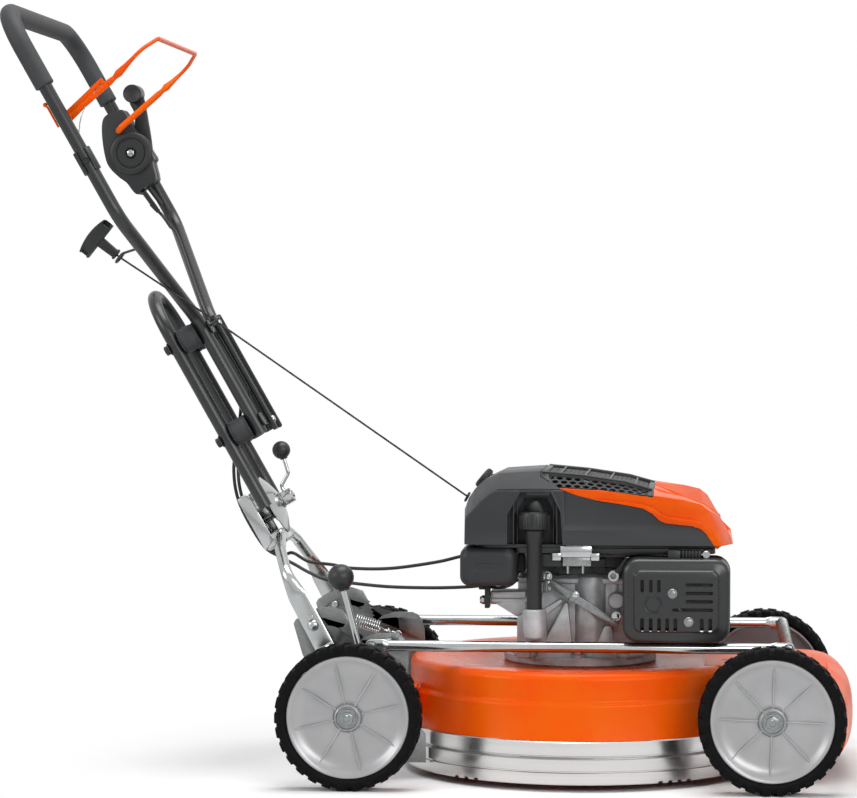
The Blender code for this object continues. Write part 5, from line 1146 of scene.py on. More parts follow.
@dataclass
class Deck:
    """The pressed bowl, its polished ring, the front hood and the two rear side plates."""

    centre_x: float = 0.321
    radius: float = 0.257
    upper_radius: float = 0.252
    top_z: float = 0.168
    floor_z: float = 0.16
    step_z: float = 0.124
    rim_z: float = 0.072
    wall: float = 0.0025
    ring_radius: float = 0.261
    ring_bottom_z: float = 0.01
    plate_y: float = 0.146
    plate_thickness: float = 0.004
    steps: int = 180
    slot_half: float = 0.006

    def build(self) -> None:
        """Builds every piece of the deck."""
        self.bowl().fit("fine_deck_bowl", "chassis", Slot.ORANGE_ENAMEL, "deck_shell")
        self.ring().fit("fine_ring", "chassis", Slot.POLISHED_ALUMINIUM, "deck_skirt", smooth=24, outward=True)
        self.hood().fit("fine_front_hood", "chassis", Slot.ORANGE_PLASTIC, "front_hood")
        for side in Side:
            node, zinc = f"rear_bracket_{side.hand}", Slot.ZINC_PLATED_STEEL
            self.side_plate(side).fit(f"fine_side_plate_{side.hand}", "chassis", zinc, node, finish=Special.ZINC_PLATE)

    def bowl(self) -> Shape:
        """Makes the bowl with its rounded shoulder and step, and the lugs for both shafts.

        Returns:
            The bowl.
        """
        upper, lower, top = self.upper_radius, self.radius, self.top_z
        shoulder = arc((upper - 0.012, top - 0.012), 0.012, 90, 0, 8)
        step = [
            (upper, self.step_z + 0.0055), (upper + 0.0006, self.step_z + 0.003), (upper + 0.0044, self.step_z - 0.001),
            (lower, self.step_z - 0.0036),
        ]
        outside = [
            (0.05, self.floor_z), (0.143, self.floor_z), (0.15, self.floor_z + 0.001), (0.19, top - 0.003),
            (0.206, top - 0.0004), (0.222, top), *shoulder, *step, (lower, self.rim_z + 0.0022),
            (lower + 0.0006, self.rim_z + 0.0008), (lower + 0.0004, self.rim_z),
        ]
        inside = [(radius - self.wall, height - self.wall) for radius, height in reversed(outside[1:-3])]
        profile = [*outside, (lower - self.wall, self.rim_z), *inside, (0.05, self.floor_z - self.wall)]
        shape = turned(profile, (self.centre_x, 0, 0), steps=self.steps, closed=True)
        front_x = self.centre_x + math.sqrt(self.radius**2 - self.plate_y**2)
        nose_x = WHEELBASE + SHAFT_AHEAD
        for side in Side:
            inner, outer = side * (self.plate_y - 0.0063), side * (self.plate_y - 0.0003)
            shape.add(
                block((0.07, inner, 0.095), (0.076, outer, 0.135), 0.0012),
                block((0.074, side * 0.0985, 0.095), (0.088, outer, 0.135), 0.0012),
            )
            outline = [
                (front_x - 0.004, 0.08), (nose_x + 0.02, 0.08), (nose_x + 0.02, 0.11), (nose_x + 0.008, 0.118),
                (front_x - 0.004, 0.15),
            ]
            shape.add(prism(outline, inner, side * (self.plate_y + 0.004), soft=0.0015))
        return shape

    def ring(self) -> Shape:
        """Makes the ring: three bands parted by two grooves, with a few notches in its lower edge.

        Returns:
            The ring.
        """
        radius, low, high = self.ring_radius, self.ring_bottom_z, self.rim_z - 0.0003
        profile = [
            (radius - 0.0024, high), (radius - 0.0014, high - 0.0012), (radius - 0.0012, 0.052),
            (radius - 0.0034, 0.051), (radius - 0.0034, 0.05), (radius - 0.0008, 0.049), (radius - 0.0026, 0.0474),
            (radius, 0.0462), (radius + 0.0002, 0.039), (radius, 0.0304), (radius - 0.0034, 0.0292),
            (radius - 0.0034, 0.028), (radius - 0.001, 0.0268), (radius - 0.0008, low + 0.0018),
            (radius - 0.0016, low + 0.0004), (radius - 0.003, low), (radius - 0.004, low + 0.0008),
            (radius - 0.004, high - 0.0008), (radius - 0.0034, high),
        ]
        shape = turned(profile, (self.centre_x, 0, 0), steps=self.steps, closed=True)
        notches = Shape()
        for degrees in (-131, -127, -123, -62, -58.5, -55, -51.5, 60, 120):
            turn = Matrix.Translation((self.centre_x, 0, 0)) @ Matrix.Rotation(math.radians(degrees), 4, "Z")
            notches.add(
                block((radius - 0.008, -0.0035, low - 0.001), (radius + 0.003, 0.0035, low + 0.0035)).moved(turn)
            )
        return shape.carved(notches)

    def hood(self) -> Shape:
        """Makes the moulded front hood: a low crowned top, a bowed nose, cheeks and flanks.

        Returns:
            The hood.
        """
        top = [
            (0.505, 0.1722, 0.0035, 0.0), (0.56, 0.1736, 0.007, 0.0), (0.61, 0.1738, 0.012, 0.0),
            (0.65, 0.1732, 0.0155, 0.0), (0.672, 0.1716, 0.0165, 0.0), (0.688, 0.166, 0.0175, 0.001),
            (0.704, 0.156, 0.0175, 0.003),
        ]
        nose = [
            (0.684, 0.1668, 0.02, 0.003), (0.698, 0.1592, 0.016, 0.008), (0.709, 0.149, 0.01, 0.012),
            (0.7165, 0.137, 0.005, 0.015), (0.721, 0.122, 0.0, 0.016), (0.723, 0.102, 0.0, 0.0165),
            (0.7228, 0.08, 0.0, 0.0165), (0.72, 0.064, 0.0, 0.016), (0.713, 0.054, 0.0, 0.013),
        ]
        shape = self.crowned(top, 0.135).add(self.crowned(nose, 0.2045))
        edge = [(x - recede, z - drop - 0.0004) for x, z, drop, recede in top[1:]]
        brow = [(x - recede - 0.0006, z - drop) for x, z, drop, recede in nose]
        for side in Side:
            cheek = [*edge, (0.7, 0.09), (0.683, 0.09), (0.683, 0.138), (0.6, 0.144), (0.565, 0.156)]
            shape.add(prism(cheek, side * 0.131, side * 0.135, soft=0.0008))
            flank = [*brow, (0.694, 0.064), (0.69, 0.11), (0.683, 0.138)]
            shape.add(prism(flank, side * 0.2, side * 0.2045, soft=0.0012))
        shape.add(block((0.53, -0.09, self.top_z + 0.0003), (0.542, 0.09, 0.1712), 0.0006))
        return shape

    def crowned(self, rows: list, half: float, wall: float = 0.003) -> Shape:
        """Lays a thin panel that falls and draws back towards both sides.

        Args:
            rows: x and z in the middle, then how far the edge falls and draws back.
            half: the panel's half width.
            wall: the panel's thickness.

        Returns:
            The panel.
        """
        loops = []
        for k in range(-10, 11):
            share = (k / 10) ** 2
            outer = smoothed([(x - recede * share, z - drop * share) for x, z, drop, recede in rows], 4)
            inner = []
            for before, here, after in zip([outer[0], *outer], outer, [*outer[1:], outer[-1]]):
                way = (after - before).normalized()
                inner.append(here + Vector((way.y, -way.x)) * wall)
            loops.append([(p.x, half * k / 10, p.y) for p in [*outer, *reversed(inner)]])
        return lofted(loops)

    def side_plate(self, side: Side) -> Shape:
        """Makes one side plate with its arc slot and, on the near side, the height notches.

        Args:
            side: the side that it stands on.

        Returns:
            The plate.
        """
        wall_x = self.centre_x - math.sqrt(self.radius**2 - self.plate_y**2)
        notched = []
        for k in range(7):
            x, z = -0.0006 - 0.00157 * k, 0.195 + 0.00524 * k
            notched += [(x + 0.0002, z), (x + 0.0034, z + 0.0006), (x - 0.0006, z + 0.003)]
        outline = [
            (wall_x - 0.0075, 0.024), (wall_x - 0.008, 0.066), (0.078, 0.09), (0.074, 0.15), (0.077, 0.168),
            (0.0765, 0.185), (0.073, 0.2), (0.067, 0.208), (0.058, 0.212), (0.03, 0.212), (0.011, 0.206), *notched,
            (-0.019, 0.2445), (-0.037, 0.25), (-0.056, 0.248), (-0.072, 0.24), (-0.088, 0.231), (-0.091, 0.225),
            (-0.078, 0.18), (-0.06, 0.145), (-0.03, 0.085), (-0.01, 0.04), (0.01, 0.024),
        ]
        face = side * (self.plate_y + self.plate_thickness)
        low, high = sorted((side * self.plate_y, face))
        plate = prism(outline, low, high)
        reach, half = (Vector(SLOT_BOLT) - Vector(FORK_PIVOT)).length, self.slot_half
        slot = arc(FORK_PIVOT, reach + half, 136, 56, 24) + arc(FORK_PIVOT, reach - half, 56, 136, 24)
        tool = prism(slot, low - 0.01, high + 0.01)
        for place, radius in (((SHAFT_AHEAD, SHAFT_Z), 0.0103), (FORK_PIVOT, 0.0058), ((0.02, 0.15), 0.006)):
            tool.add(rod((place[0], low - 0.01, place[1]), (place[0], high + 0.01, place[1]), radius, 32))
        plate.carved(tool).soften(0.0007, 2, 40)
        for x in (wall_x - 0.06, wall_x - 0.038):
            plate.add(nut((x, face - side * 0.001, 0.122), (x, face + side * 0.0045, 0.122), 0.007))
        if side < 0:
            plate.add(
                rod((0.058, -0.147, 0.206), (0.058, -0.1005, 0.206), 0.003, 20, 0.0005),
                nut((0.058, -0.15, 0.206), (0.058, -0.1545, 0.206), 0.0055),
            )
        bead = capsule((-0.06, 0.165), (-0.035, 0.115), 0.0042)
        plate.add(prism(bead, face - side * 0.001, face + side * 0.0012, soft=0.0008))
        return plate


@dataclass
class TopCover:
    """The three-part engine cover: dark shell, orange hood and perforated grille."""

    near_y: float = -0.1722
    near_crest_y: float = -0.13
    far_crest_y: float = 0.117
    far_y: float = 0.1592
    flare: float = 0.008
    wall: float = 0.003
    far_drop: float = 0.006
    gap: float = 0.0005
    hole_pitch: float = 0.0128
    hole_radius: float = 0.005
    bevel: float = 0.0475
    mesh_end: float = 0.4295
    crest: tuple = (
        (0.157, 0.3446), (0.157, 0.377), (0.1572, 0.392), (0.163, 0.408), (0.172, 0.4215), (0.184, 0.433),
        (0.207, 0.444), (0.267, 0.448), (0.33, 0.442), (0.392, 0.4325), (0.431, 0.4205), (0.475, 0.4105),
        (0.504, 0.3995), (0.527, 0.383), (0.541, 0.356), (0.5455, 0.3446),
    )
    face: tuple = (
        (0.16, 0.3446), (0.16, 0.377), (0.1612, 0.3835), (0.169, 0.392), (0.183, 0.406), (0.196, 0.418), (0.208, 0.424),
        (0.267, 0.4252), (0.33, 0.424), (0.392, 0.4192), (0.431, 0.416), (0.475, 0.4095), (0.4984, 0.404),
        (0.5101, 0.3945), (0.518, 0.377), (0.5294, 0.3446),
    )
    crease: tuple = (0.3033, 0.0, 0.3763)
    hem: tuple = ((0.26, 0.4256), (0.296, 0.4256), (0.357, 0.4225), (0.416, 0.415), (0.4312, 0.413))
    hood_edge: tuple = (
        (0.522, 0.339), (0.5065, 0.3615), (0.499, 0.368), (0.489, 0.372), (0.448, 0.3765), (0.44, 0.38), (0.43, 0.3895),
        (0.416, 0.3975), (0.387, 0.403), (0.348, 0.409), (0.32, 0.416),
    )

    def build(self) -> None:
        """Builds the shell, the hood, the grille and the caps."""
        hood_region = [*self.hem[1:], (0.4312, 0.5), (0.6, 0.5), (0.6, 0.33), *self.hood_edge]
        grille_region = [(0.268, 0.5), (0.268, 0.441), (0.296, 0.4262), (0.357, 0.4232), (0.416, 0.4157)]
        grille_region += [(0.4312, 0.4136), (0.4312, 0.5)]
        self.shell(hood_region, grille_region).fit(
            "fine_cover", "chassis", Slot.DARK_GREY_PLASTIC, "engine_cover", smooth=30
        )
        self.hood(hood_region).fit("fine_hood", "chassis", Slot.ORANGE_PLASTIC, "engine_hood", smooth=30)
        self.grille(grille_region).fit("fine_grille", "chassis", Slot.BLACK_PLASTIC, "cooling_grille", smooth=35)
        self.base().fit("fine_cover_base", "chassis", Slot.BLACK_PLASTIC, "blower_base")
        self.fuel_cap().fit("fine_fuel_cap", "fuel_cap_body", Slot.BLACK_PLASTIC, "fuel_cap")

    def mass(self, gap: float) -> Shape:
        """Makes the cover's whole outer form, shrunk by a gap.

        Args:
            gap: how far it is shrunk.

        Returns:
            The form.
        """
        low = -0.01 if gap else 0.0
        crest, face = inset(list(self.crest), gap), inset(list(self.face), gap)
        loops = []
        for outline, y, drop in (
            (face, self.near_y + gap, 0.0), (crest, self.near_crest_y + gap * 0.3, 0.0),
            (crest, self.far_crest_y - gap * 0.3, self.far_drop), (face, self.far_y - gap, 0.0),
        ):
            ends = (0, len(outline) - 1)
            loops.append(
                [(x, y, z + (low if k in ends else -self.fall(x) if drop else 0.0)) for k, (x, z) in enumerate(outline)]
            )
        shape = lofted(loops)
        bmesh.ops.bisect_plane(
            shape.bm, geom=shape.bm.verts[:] + shape.bm.edges[:] + shape.bm.faces[:], dist=1e-6, plane_co=self.crease,
            plane_no=(0.0438, 0.0, 1.0),
        )
        for vert in shape.bm.verts:
            if vert.co.z < 0.35:
                vert.co.y += math.copysign(self.flare, vert.co.y)
        return shape

    def shell(self, hood_region: list, grille_region: list) -> Shape:
        """Makes the dark shell with the filler's recess, its ribs and the rope's eye.

        Args:
            hood_region: the part of the side view that the hood takes.
            grille_region: the part that the grille takes.

        Returns:
            The shell.
        """
        shape = self.mass(0.0).carved(self.mass(self.wall))
        step = [
            (0.1606, 0.347), (0.1606, 0.379), (0.1622, 0.384), (0.17, 0.3922), (0.196, 0.4174), (0.205, 0.4222),
            (0.3033, 0.4232), (0.3033, 0.347),
        ]
        shape.add(prism(step, self.near_y - 0.003, self.near_y + 0.001, soft=0.0022, segments=4))
        cuts = prism(inset(hood_region, -self.gap), -0.3, 0.3)
        shape.carved(cuts).carved(prism(inset(grille_region, -self.gap), -0.3, 0.3))
        wide = [
            (0.2215, 0.33), (0.2215, 0.388), (0.234, 0.409), (0.24, 0.42), (0.284, 0.42), (0.2975, 0.392),
            (0.3025, 0.33),
        ]
        lining = prism(inset(wide, -0.003), self.near_y - 0.0035, -0.136, soft=0.0015)
        lining.carved(prism(wide, -0.3, -0.158)).carved(prism(inset(wide, 0.009), -0.3, -0.14))
        lining.carved(prism([(0.2, 0.3), (0.32, 0.3), (0.32, 0.3446), (0.2, 0.3446)], -0.3, 0.3))
        shape.carved(prism(wide, -0.3, -0.138)).soften(0.001, 2, 35)
        shape.add(lining)
        for x, width in ((0.23, 0.0022), (0.235, 0.0018), (0.2925, 0.0022), (0.2875, 0.0018)):
            depth = -0.169 if width > 0.002 else -0.16
            shape.add(block((x - width / 2, depth, 0.345), (x + width / 2, -0.1385, 0.404), 0.0006))
        tab = prism(
            rounded_box((0.249, 0.4155), (0.283, 0.4255), 0.002), self.near_y - 0.0016, self.near_y + 0.001, soft=0.0005
        )
        tab.carved(prism(rounded_box((0.256, 0.419), (0.277, 0.4225), 0.0016), -0.3, self.near_y - 0.0004))
        shape.add(tab)
        eye = turned(arc((0.0062, 0.0), 0.0019, 0, 330, 11), (0.157, -0.07, 0.4055), (-1.0, 0.0, 0.55), 32, closed=True)
        neck = rod(
            (0.1735 + 0.766 * 0.008, 0.1, 0.4205 - 0.643 * 0.008),
            (0.1735 + 0.766 * 0.0022, 0.1, 0.4205 - 0.643 * 0.0022), 0.014, 40, 0.0008,
        )
        return shape.add(eye, neck)

    def hood(self, region: list) -> Shape:
        """Makes the orange hood with its flared lip and the crease on its top.

        Args:
            region: the part of the side view that it takes.

        Returns:
            The hood.
        """
        shape = self.mass(0.0).carved(self.mass(self.wall)).carved(
            prism(region, -0.3, 0.3), "INTERSECT"
        ).soften(0.0012, 2, 28)
        lower = list(self.hood_edge[:-1])
        upper = [
            (0.348, 0.41), (0.39, 0.4065), (0.416, 0.4035), (0.431, 0.3985), (0.443, 0.3895), (0.452, 0.3855),
            (0.489, 0.3815), (0.502, 0.378), (0.512, 0.369), (0.529, 0.3446),
        ]
        for side, y in zip(Side, (self.near_y, self.far_y)):
            shape.add(prism([*lower, *upper], y - side * 0.0016, y + side * 0.003, soft=0.001))
        for y in (-0.072, 0.059):
            shape.add(swept([(x, y, self.height(x, y) - 0.0014) for x, _ in self.crest[10:14]], 0.0026, 12))
        return shape

    def height(self, x: float, y: float) -> float:
        """The cover's outer height over a point of the ground plan.

        Args:
            x: the place along the mower.
            y: the place across it.

        Returns:
            The height.
        """
        near, top, fall = between(self.face[5:14], x), between(self.crest[6:15], x), self.fall(x)
        if y < self.near_crest_y:
            return near + (top - near) * (y - self.near_y) / (self.near_crest_y - self.near_y)
        if y < self.far_crest_y:
            return top - fall * (y - self.near_crest_y) / (self.far_crest_y - self.near_crest_y)
        return top - fall + (near - top + fall) * (y - self.far_crest_y) / (self.far_y - self.far_crest_y)

    def fall(self, x: float) -> float:
        """How far the cover's crest falls towards the far side.

        Args:
            x: the place along the mower.

        Returns:
            The drop from the near crest to the far one.
        """
        return between(
            [
                (0.0, self.far_drop), (0.392, self.far_drop), (0.4312, self.far_drop - 0.0008),
                (0.475, self.far_drop + 0.009), (0.7, self.far_drop + 0.009),
            ], x,
        )

    def grille(self, region: list) -> Shape:
        """Makes the grille: a raised frame, cross ribs and a sheet of hexagonal holes.

        Args:
            region: the part of the side view that it takes.

        Returns:
            The grille.
        """
        frame = self.mass(0.0).carved(self.mass(self.wall)).carved(
            prism(inset(region, self.gap), -0.3, 0.3), "INTERSECT"
        )
        window = prism([(0.2765, -0.13), (0.4235, -0.13), (0.4235, 0.117), (0.2765, 0.117)], 0.3, 0.6, "Z")
        near = prism([(0.285, -0.169), (0.4235, -0.169), (0.4235, -0.135), (0.2785, -0.135)], 0.3, 0.6, "Z")
        far = prism([(0.285, 0.156), (0.4235, 0.156), (0.4235, 0.122), (0.2785, 0.122)], 0.3, 0.6, "Z")
        frame.carved(window).carved(near).carved(far).soften(0.0008, 2, 35)
        for y in (self.near_crest_y - 0.0025, self.far_crest_y + 0.0025):
            path = [(x, y, self.height(x, y) + 0.0004) for x in (0.27, 0.3, 0.33, 0.36, 0.392, 0.429)]
            frame.add(swept(path, 0.0022, 12))
        for k in range(4):
            x = 0.296 + 0.036 * k
            path = [(x, y, self.height(x, y) - 0.0006) for y in (-0.1285, -0.06, 0.0, 0.06, 0.1155)]
            frame.add(swept(path, 0.0016, 10))
        return frame.add(self.mesh_sheet())

    def mesh_sheet(self) -> Shape:
        """Makes the sheet of hexagonal holes, bent over the crest to both bevels.

        Returns:
            The sheet.
        """
        shape = Shape()
        reach, bevel = self.hole_pitch / math.sqrt(3), self.bevel
        span = self.far_crest_y - self.near_crest_y
        rows = int((span + 2 * bevel - 0.008) / (self.hole_pitch * math.sqrt(3) / 2))
        for row in range(rows):
            v = 0.004 + row * self.hole_pitch * math.sqrt(3) / 2
            for column in range(17):
                u = 0.2765 + (column + (row % 2) / 2) * self.hole_pitch
                lowest, highest = self.hems(min(u, self.mesh_end))
                if u > 0.433 or v < lowest - reach * 0.6 or v > highest + reach * 0.6:
                    continue
                rings = []
                for radius in (reach, self.hole_radius):
                    corners = []
                    for k in range(6):
                        turn = math.radians(30 + 60 * k)
                        corners.append(self.bent(u + radius * math.cos(turn), v + radius * math.sin(turn)))
                    rings.append([shape.bm.verts.new(corner) for corner in corners])
                for k in range(6):
                    after = (k + 1) % 6
                    shape.bm.faces.new((rings[0][k], rings[0][after], rings[1][after], rings[1][k]))
        bmesh.ops.remove_doubles(shape.bm, verts=shape.bm.verts, dist=1e-5)
        bmesh.ops.dissolve_degenerate(shape.bm, edges=shape.bm.edges, dist=2e-5)
        bmesh.ops.recalc_face_normals(shape.bm, faces=shape.bm.faces)
        bmesh.ops.solidify(shape.bm, geom=shape.bm.faces[:], thickness=0.002)
        return shape

    def hems(self, u: float) -> tuple:
        """Gives the places across the flat sheet where it meets the hood's near and far edges.

        Args:
            u: the place along the sheet.

        Returns:
            The near hem's place and the far one's.
        """
        hem = between(self.hem, u) + 0.0034
        near, top, bevel = between(self.face[5:14], u), between(self.crest[6:15], u), self.bevel
        far = top - self.fall(u)
        lowest = bevel * min(max((hem - near) / (top - near), 0.0), 1.0)
        highest = bevel * min(max((far - hem) / (far - near), 0.0), 1.0)
        return lowest, bevel + self.far_crest_y - self.near_crest_y + highest

    def bent(self, u: float, v: float) -> tuple:
        """Turns a place on the flat sheet into a point under the cover's surface.

        Args:
            u: the place along the sheet.
            v: the place across it.

        Returns:
            The point.
        """
        bevel, u = self.bevel, min(u, self.mesh_end)
        slope = (self.near_crest_y - self.near_y) / bevel
        lowest, highest = self.hems(u)
        v = min(max(v, lowest), highest)
        span = self.far_crest_y - self.near_crest_y
        if v < bevel:
            y = self.near_y + v * slope
        elif v < bevel + span:
            y = self.near_crest_y + v - bevel
        else:
            y = self.far_crest_y + (v - bevel - span) * slope
        return (u, y, self.height(u, y) - 0.0026)

    def base(self) -> Shape:
        """Makes the plate under the cover, with its rim and screw bosses.

        Returns:
            The plate.
        """
        plate = prism(rounded_box((0.174, -0.166), (0.526, 0.16), 0.028), 0.339, 0.3444, "Z", 0.0012)
        plate.add(prism(rounded_box((0.232, -0.1675), (0.52, 0.156), 0.012), 0.3316, 0.3395, "Z", 0.0012))
        for x, y in ((0.2, -0.135), (0.2, 0.13), (0.48, -0.13), (0.48, 0.125)):
            plate.add(rod((x, y, 0.33), (x, y, 0.34), 0.008, 28, 0.001))
        return plate

    def fuel_cap(self) -> Shape:
        """Makes the ribbed fuel cap on the rear slope.

        Returns:
            The cap.
        """
        axis = Vector((-0.766, 0.0, 0.643))
        foot = Vector((0.1735, 0.1, 0.4205)) - axis * 0.002
        profile = [
            (0.0, 0.0), (0.015, 0.0), (0.0165, 0.001), (0.0165, 0.0076), (0.015, 0.0096), (0.01, 0.0104), (0.0, 0.0104)
        ]
        cap = turned(profile, foot, axis, 64)
        rib = block((0.0157, -0.0011, 0.0012), (0.017, 0.0011, 0.0078), 0.0004).ringed(20, Vector(), UP)
        return cap.add(rib.moved(frame_on(foot, axis)))


@dataclass
class Crankcase:
    """The cast crankcase and cylinder, and the small pieces bolted to its near side."""

    crank_x: float = 0.321
    foot_z: float = 0.1603
    flange_radius: float = 0.113
    drum_radius: float = 0.08
    wall_y: float = 0.085
    fins: int = 8

    def build(self) -> None:
        """Builds the casting and what is bolted to it."""
        self.casting().fit("fine_crankcase", "chassis", Slot.CAST_ALUMINIUM, "crankcase", smooth=34)
        self.bright_fittings().fit("fine_engine_bolts", "chassis", Slot.BRIGHT_STEEL)
        self.dark_fittings().fit("fine_engine_fittings", "chassis", Slot.BLACK_PLASTIC)
        self.straps().fit("fine_engine_straps", "chassis", Slot.ZINC_PLATED_STEEL)

    def casting(self) -> Shape:
        """Makes the casting: foot flange, drum, walls with ribs, cylinder with fins and the filler's boss.

        Returns:
            The casting.
        """
        x0, wall = self.crank_x, self.wall_y
        profile = [
            (0.03, self.foot_z), (0.111, self.foot_z), (self.flange_radius, 0.1623), (self.flange_radius, 0.1715),
            (0.1115, 0.1735), (0.096, 0.175), (0.086, 0.179), (0.082, 0.186), (self.drum_radius, 0.2), (0.0785, 0.286),
            (0.076, 0.295), (0.069, 0.302), (0.038, 0.305), (0.035, 0.31), (0.034, 0.3385), (0.03, 0.3385),
            (0.03, self.foot_z),
        ]
        shape = turned(profile, (x0, 0, 0), steps=96)
        plan = [
            (x0 - 0.09, -wall + 0.022), (x0 - 0.07, -wall), (x0 + 0.072, -wall), (x0 + 0.09, -wall + 0.02),
            (x0 + 0.09, wall - 0.02), (x0 + 0.072, wall), (x0 - 0.07, wall), (x0 - 0.09, wall - 0.022),
        ]
        shape.add(
            prism(plan, 0.169, 0.293, "Z", 0.007, 3), prism(inset(plan, -0.0045), 0.28, 0.2885, "Z", 0.002),
            prism(inset(plan, -0.006), 0.17, 0.18, "Z", 0.003), block((0.38, -0.05, 0.207), (0.499, 0.05, 0.298), 0.006)
        )
        pitch = 0.078 / (self.fins - 1)
        for k in range(self.fins):
            x = 0.418 + pitch * k
            shape.add(prism(rounded_box((-0.062, 0.198), (0.062, 0.307), 0.012), x - 0.0016, x + 0.0016, "X", 0.001))
        for apex, width, height, foot in ((0.3017, 0.0043, 0.2537, 0.257), (0.3595, 0.0105, 0.2197, 0.338)):
            rib = [(foot, 0.169), (apex + width + 0.0085, 0.169), (apex + width, height), (apex, height)]
            shape.add(prism(rib, -0.099, -wall + 0.004, soft=0.0016))
        shape.add(
            prism(
                [(0.244, 0.204), (0.264, 0.24), (0.296, 0.259), (0.299, 0.254), (0.272, 0.232), (0.254, 0.2)], -0.095,
                -0.081, soft=0.0016,
            )
        )
        cover = turned(
            [(0.0, 0.169), (0.026, 0.169), (0.026, 0.282), (0.0235, 0.29), (0.017, 0.2945), (0.0, 0.2955)],
            (0.3385, -0.072, 0), steps=48,
        )
        shape.add(
            cover, rod((0.3745, -0.076, 0.21), (0.3745, -0.076, 0.283), 0.0105, 32, 0.002),
            rod((0.3725, -0.08, 0.2935), (0.3725, -0.102, 0.2935), 0.0078, 32, 0.0012),
            rod((0.377, -0.08, 0.256), (0.377, -0.0945, 0.256), 0.0135, 32, 0.003),
            rod((0.2758, -0.08, 0.2916), (0.2758, -0.096, 0.2916), 0.0078, 28, 0.0012),
            rod((0.3765, -0.07, 0.2353), (0.3765, -0.0985, 0.2353), 0.0082, 28, 0.0012),
        )
        collar = turned(
            [
                (0.0114, 0.23), (0.0114, 0.249), (0.0124, 0.2508), (0.016, 0.2508), (0.0172, 0.249), (0.0168, 0.22),
                (0.015, 0.211), (0.0114, 0.208),
            ], (0.26, -0.165, 0), steps=48, closed=True,
        )
        shape.add(
            collar, prism([(0.245, 0.198), (0.276, 0.198), (0.275, 0.238), (0.245, 0.238)], -0.154, -0.07, soft=0.004),
            prism([(0.233, 0.174), (0.252, 0.174), (0.252, 0.244), (0.233, 0.236)], -0.125, -0.06, soft=0.003),
            rod((0.1935, -0.1, 0.2562), (0.25, -0.096, 0.2562), 0.0056, 28, 0.001),
            prism([(0.194, 0.256), (0.244, 0.256), (0.244, 0.229), (0.235, 0.231)], -0.104, -0.094, soft=0.0015),
            block((0.193, -0.108, 0.26), (0.244, -0.06, 0.27), 0.002),
        )
        for k in range(6):
            turn = math.radians(30 + 60 * k)
            x, y = x0 + 0.102 * math.cos(turn), 0.102 * math.sin(turn)
            shape.add(rod((x, y, 0.17), (x, y, 0.178), 0.01, 28, 0.001))
        return shape

    def bright_fittings(self) -> Shape:
        """Makes the bolts, the silver switch box and the clamp on the filler tube.

        Returns:
            The bright pieces.
        """
        shape = Shape()
        for x, y, z, radius in (
            (0.2758, -0.096, 0.2916, 0.006), (0.3765, -0.108, 0.2353, 0.0055), (0.317, -0.108, 0.2665, 0.0048)
        ):
            shape.add(
                rod((x, y + 0.001, z), (x, y - 0.0014, z), radius * 1.25, 28, 0.0004),
                nut((x, y - 0.001, z), (x, y - 0.0056, z), radius),
            )
        for k in range(6):
            turn = math.radians(30 + 60 * k)
            x, y = self.crank_x + 0.102 * math.cos(turn), 0.102 * math.sin(turn)
            shape.add(nut((x, y, 0.1775), (x, y, 0.1845), 0.0075, 40.0 * k))
        shape.add(block((0.2975, -0.177, 0.3263), (0.3436, -0.14, 0.3436), 0.0026))
        for low, high in ((0.2865, 0.299), (0.342, 0.354)):
            shape.add(block((low, -0.179, 0.3222), (high, -0.165, 0.333), 0.0012))
        for x in (0.3081, 0.3299):
            shape.add(rod((x, -0.16, 0.302), (x, -0.16, 0.3145), 0.0022, 16, 0.0003))
        shape.add(
            turned(
                [(0.0046, 0.0), (0.0078, 0.0), (0.0078, 0.0032), (0.0046, 0.0032)], (0.3725, -0.102, 0.2935),
                (0, -1, 0), 32, closed=True,
            ), rod((0.1775, -0.1, 0.257), (0.186, -0.1, 0.257), 0.0052, 24, 0.0006),
            nut((0.18, -0.1, 0.257), (0.185, -0.1, 0.257), 0.0068),
            rod((0.5068, -0.196, 0.3333), (0.5068, -0.15, 0.3333), 0.0055, 24, 0.0008),
        )
        return shape

    def dark_fittings(self) -> Shape:
        """Makes the governor bracket, the connector over the muffler and the switch box's base.

        Returns:
            The dark pieces.
        """
        shape = block((0.1855, -0.118, 0.2464), (0.1925, -0.084, 0.28), 0.001)
        shape.add(
            block((0.1762, -0.108, 0.2725), (0.186, -0.092, 0.2802), 0.0012),
            block((0.272, -0.11, 0.306), (0.362, -0.07, 0.32), 0.0015),
            block((0.345, -0.135, 0.3235), (0.5, 0.12, 0.3335), 0.0015),
            block((0.27, -0.164, 0.312), (0.3, -0.13, 0.33), 0.0015),
            block((0.256, -0.1, 0.305), (0.39, -0.05, 0.339), 0.003),
        )
        arm = smoothed([(0.189, -0.096, 0.276), (0.206, -0.098, 0.2745), (0.222, -0.1, 0.279), (0.233, -0.1, 0.288)], 6)
        shape.add(swept(arm, 0.0024, 12), block((0.452, -0.196, 0.323), (0.47, -0.15, 0.339), 0.0015))
        for k in range(6):
            x = 0.4725 + 0.0046 * k
            shape.add(block((x, -0.193, 0.3262), (x + 0.0024, -0.15, 0.3385), 0.0005))
        shape.add(
            block((0.47, -0.188, 0.3275), (0.5, -0.152, 0.337), 0.001),
            swept([(0.353, -0.128, 0.3262), (0.376, -0.14, 0.33), (0.4, -0.15, 0.33), (0.452, -0.17, 0.33)], 0.0016, 12)
        )
        strap = [(0.3745, 0.3035), (0.3905, 0.3245), (0.453, 0.3245), (0.453, 0.3175), (0.3955, 0.3175), (0.3825, 0.3)]
        shape.add(prism(strap, -0.15, -0.146, soft=0.001))
        return shape

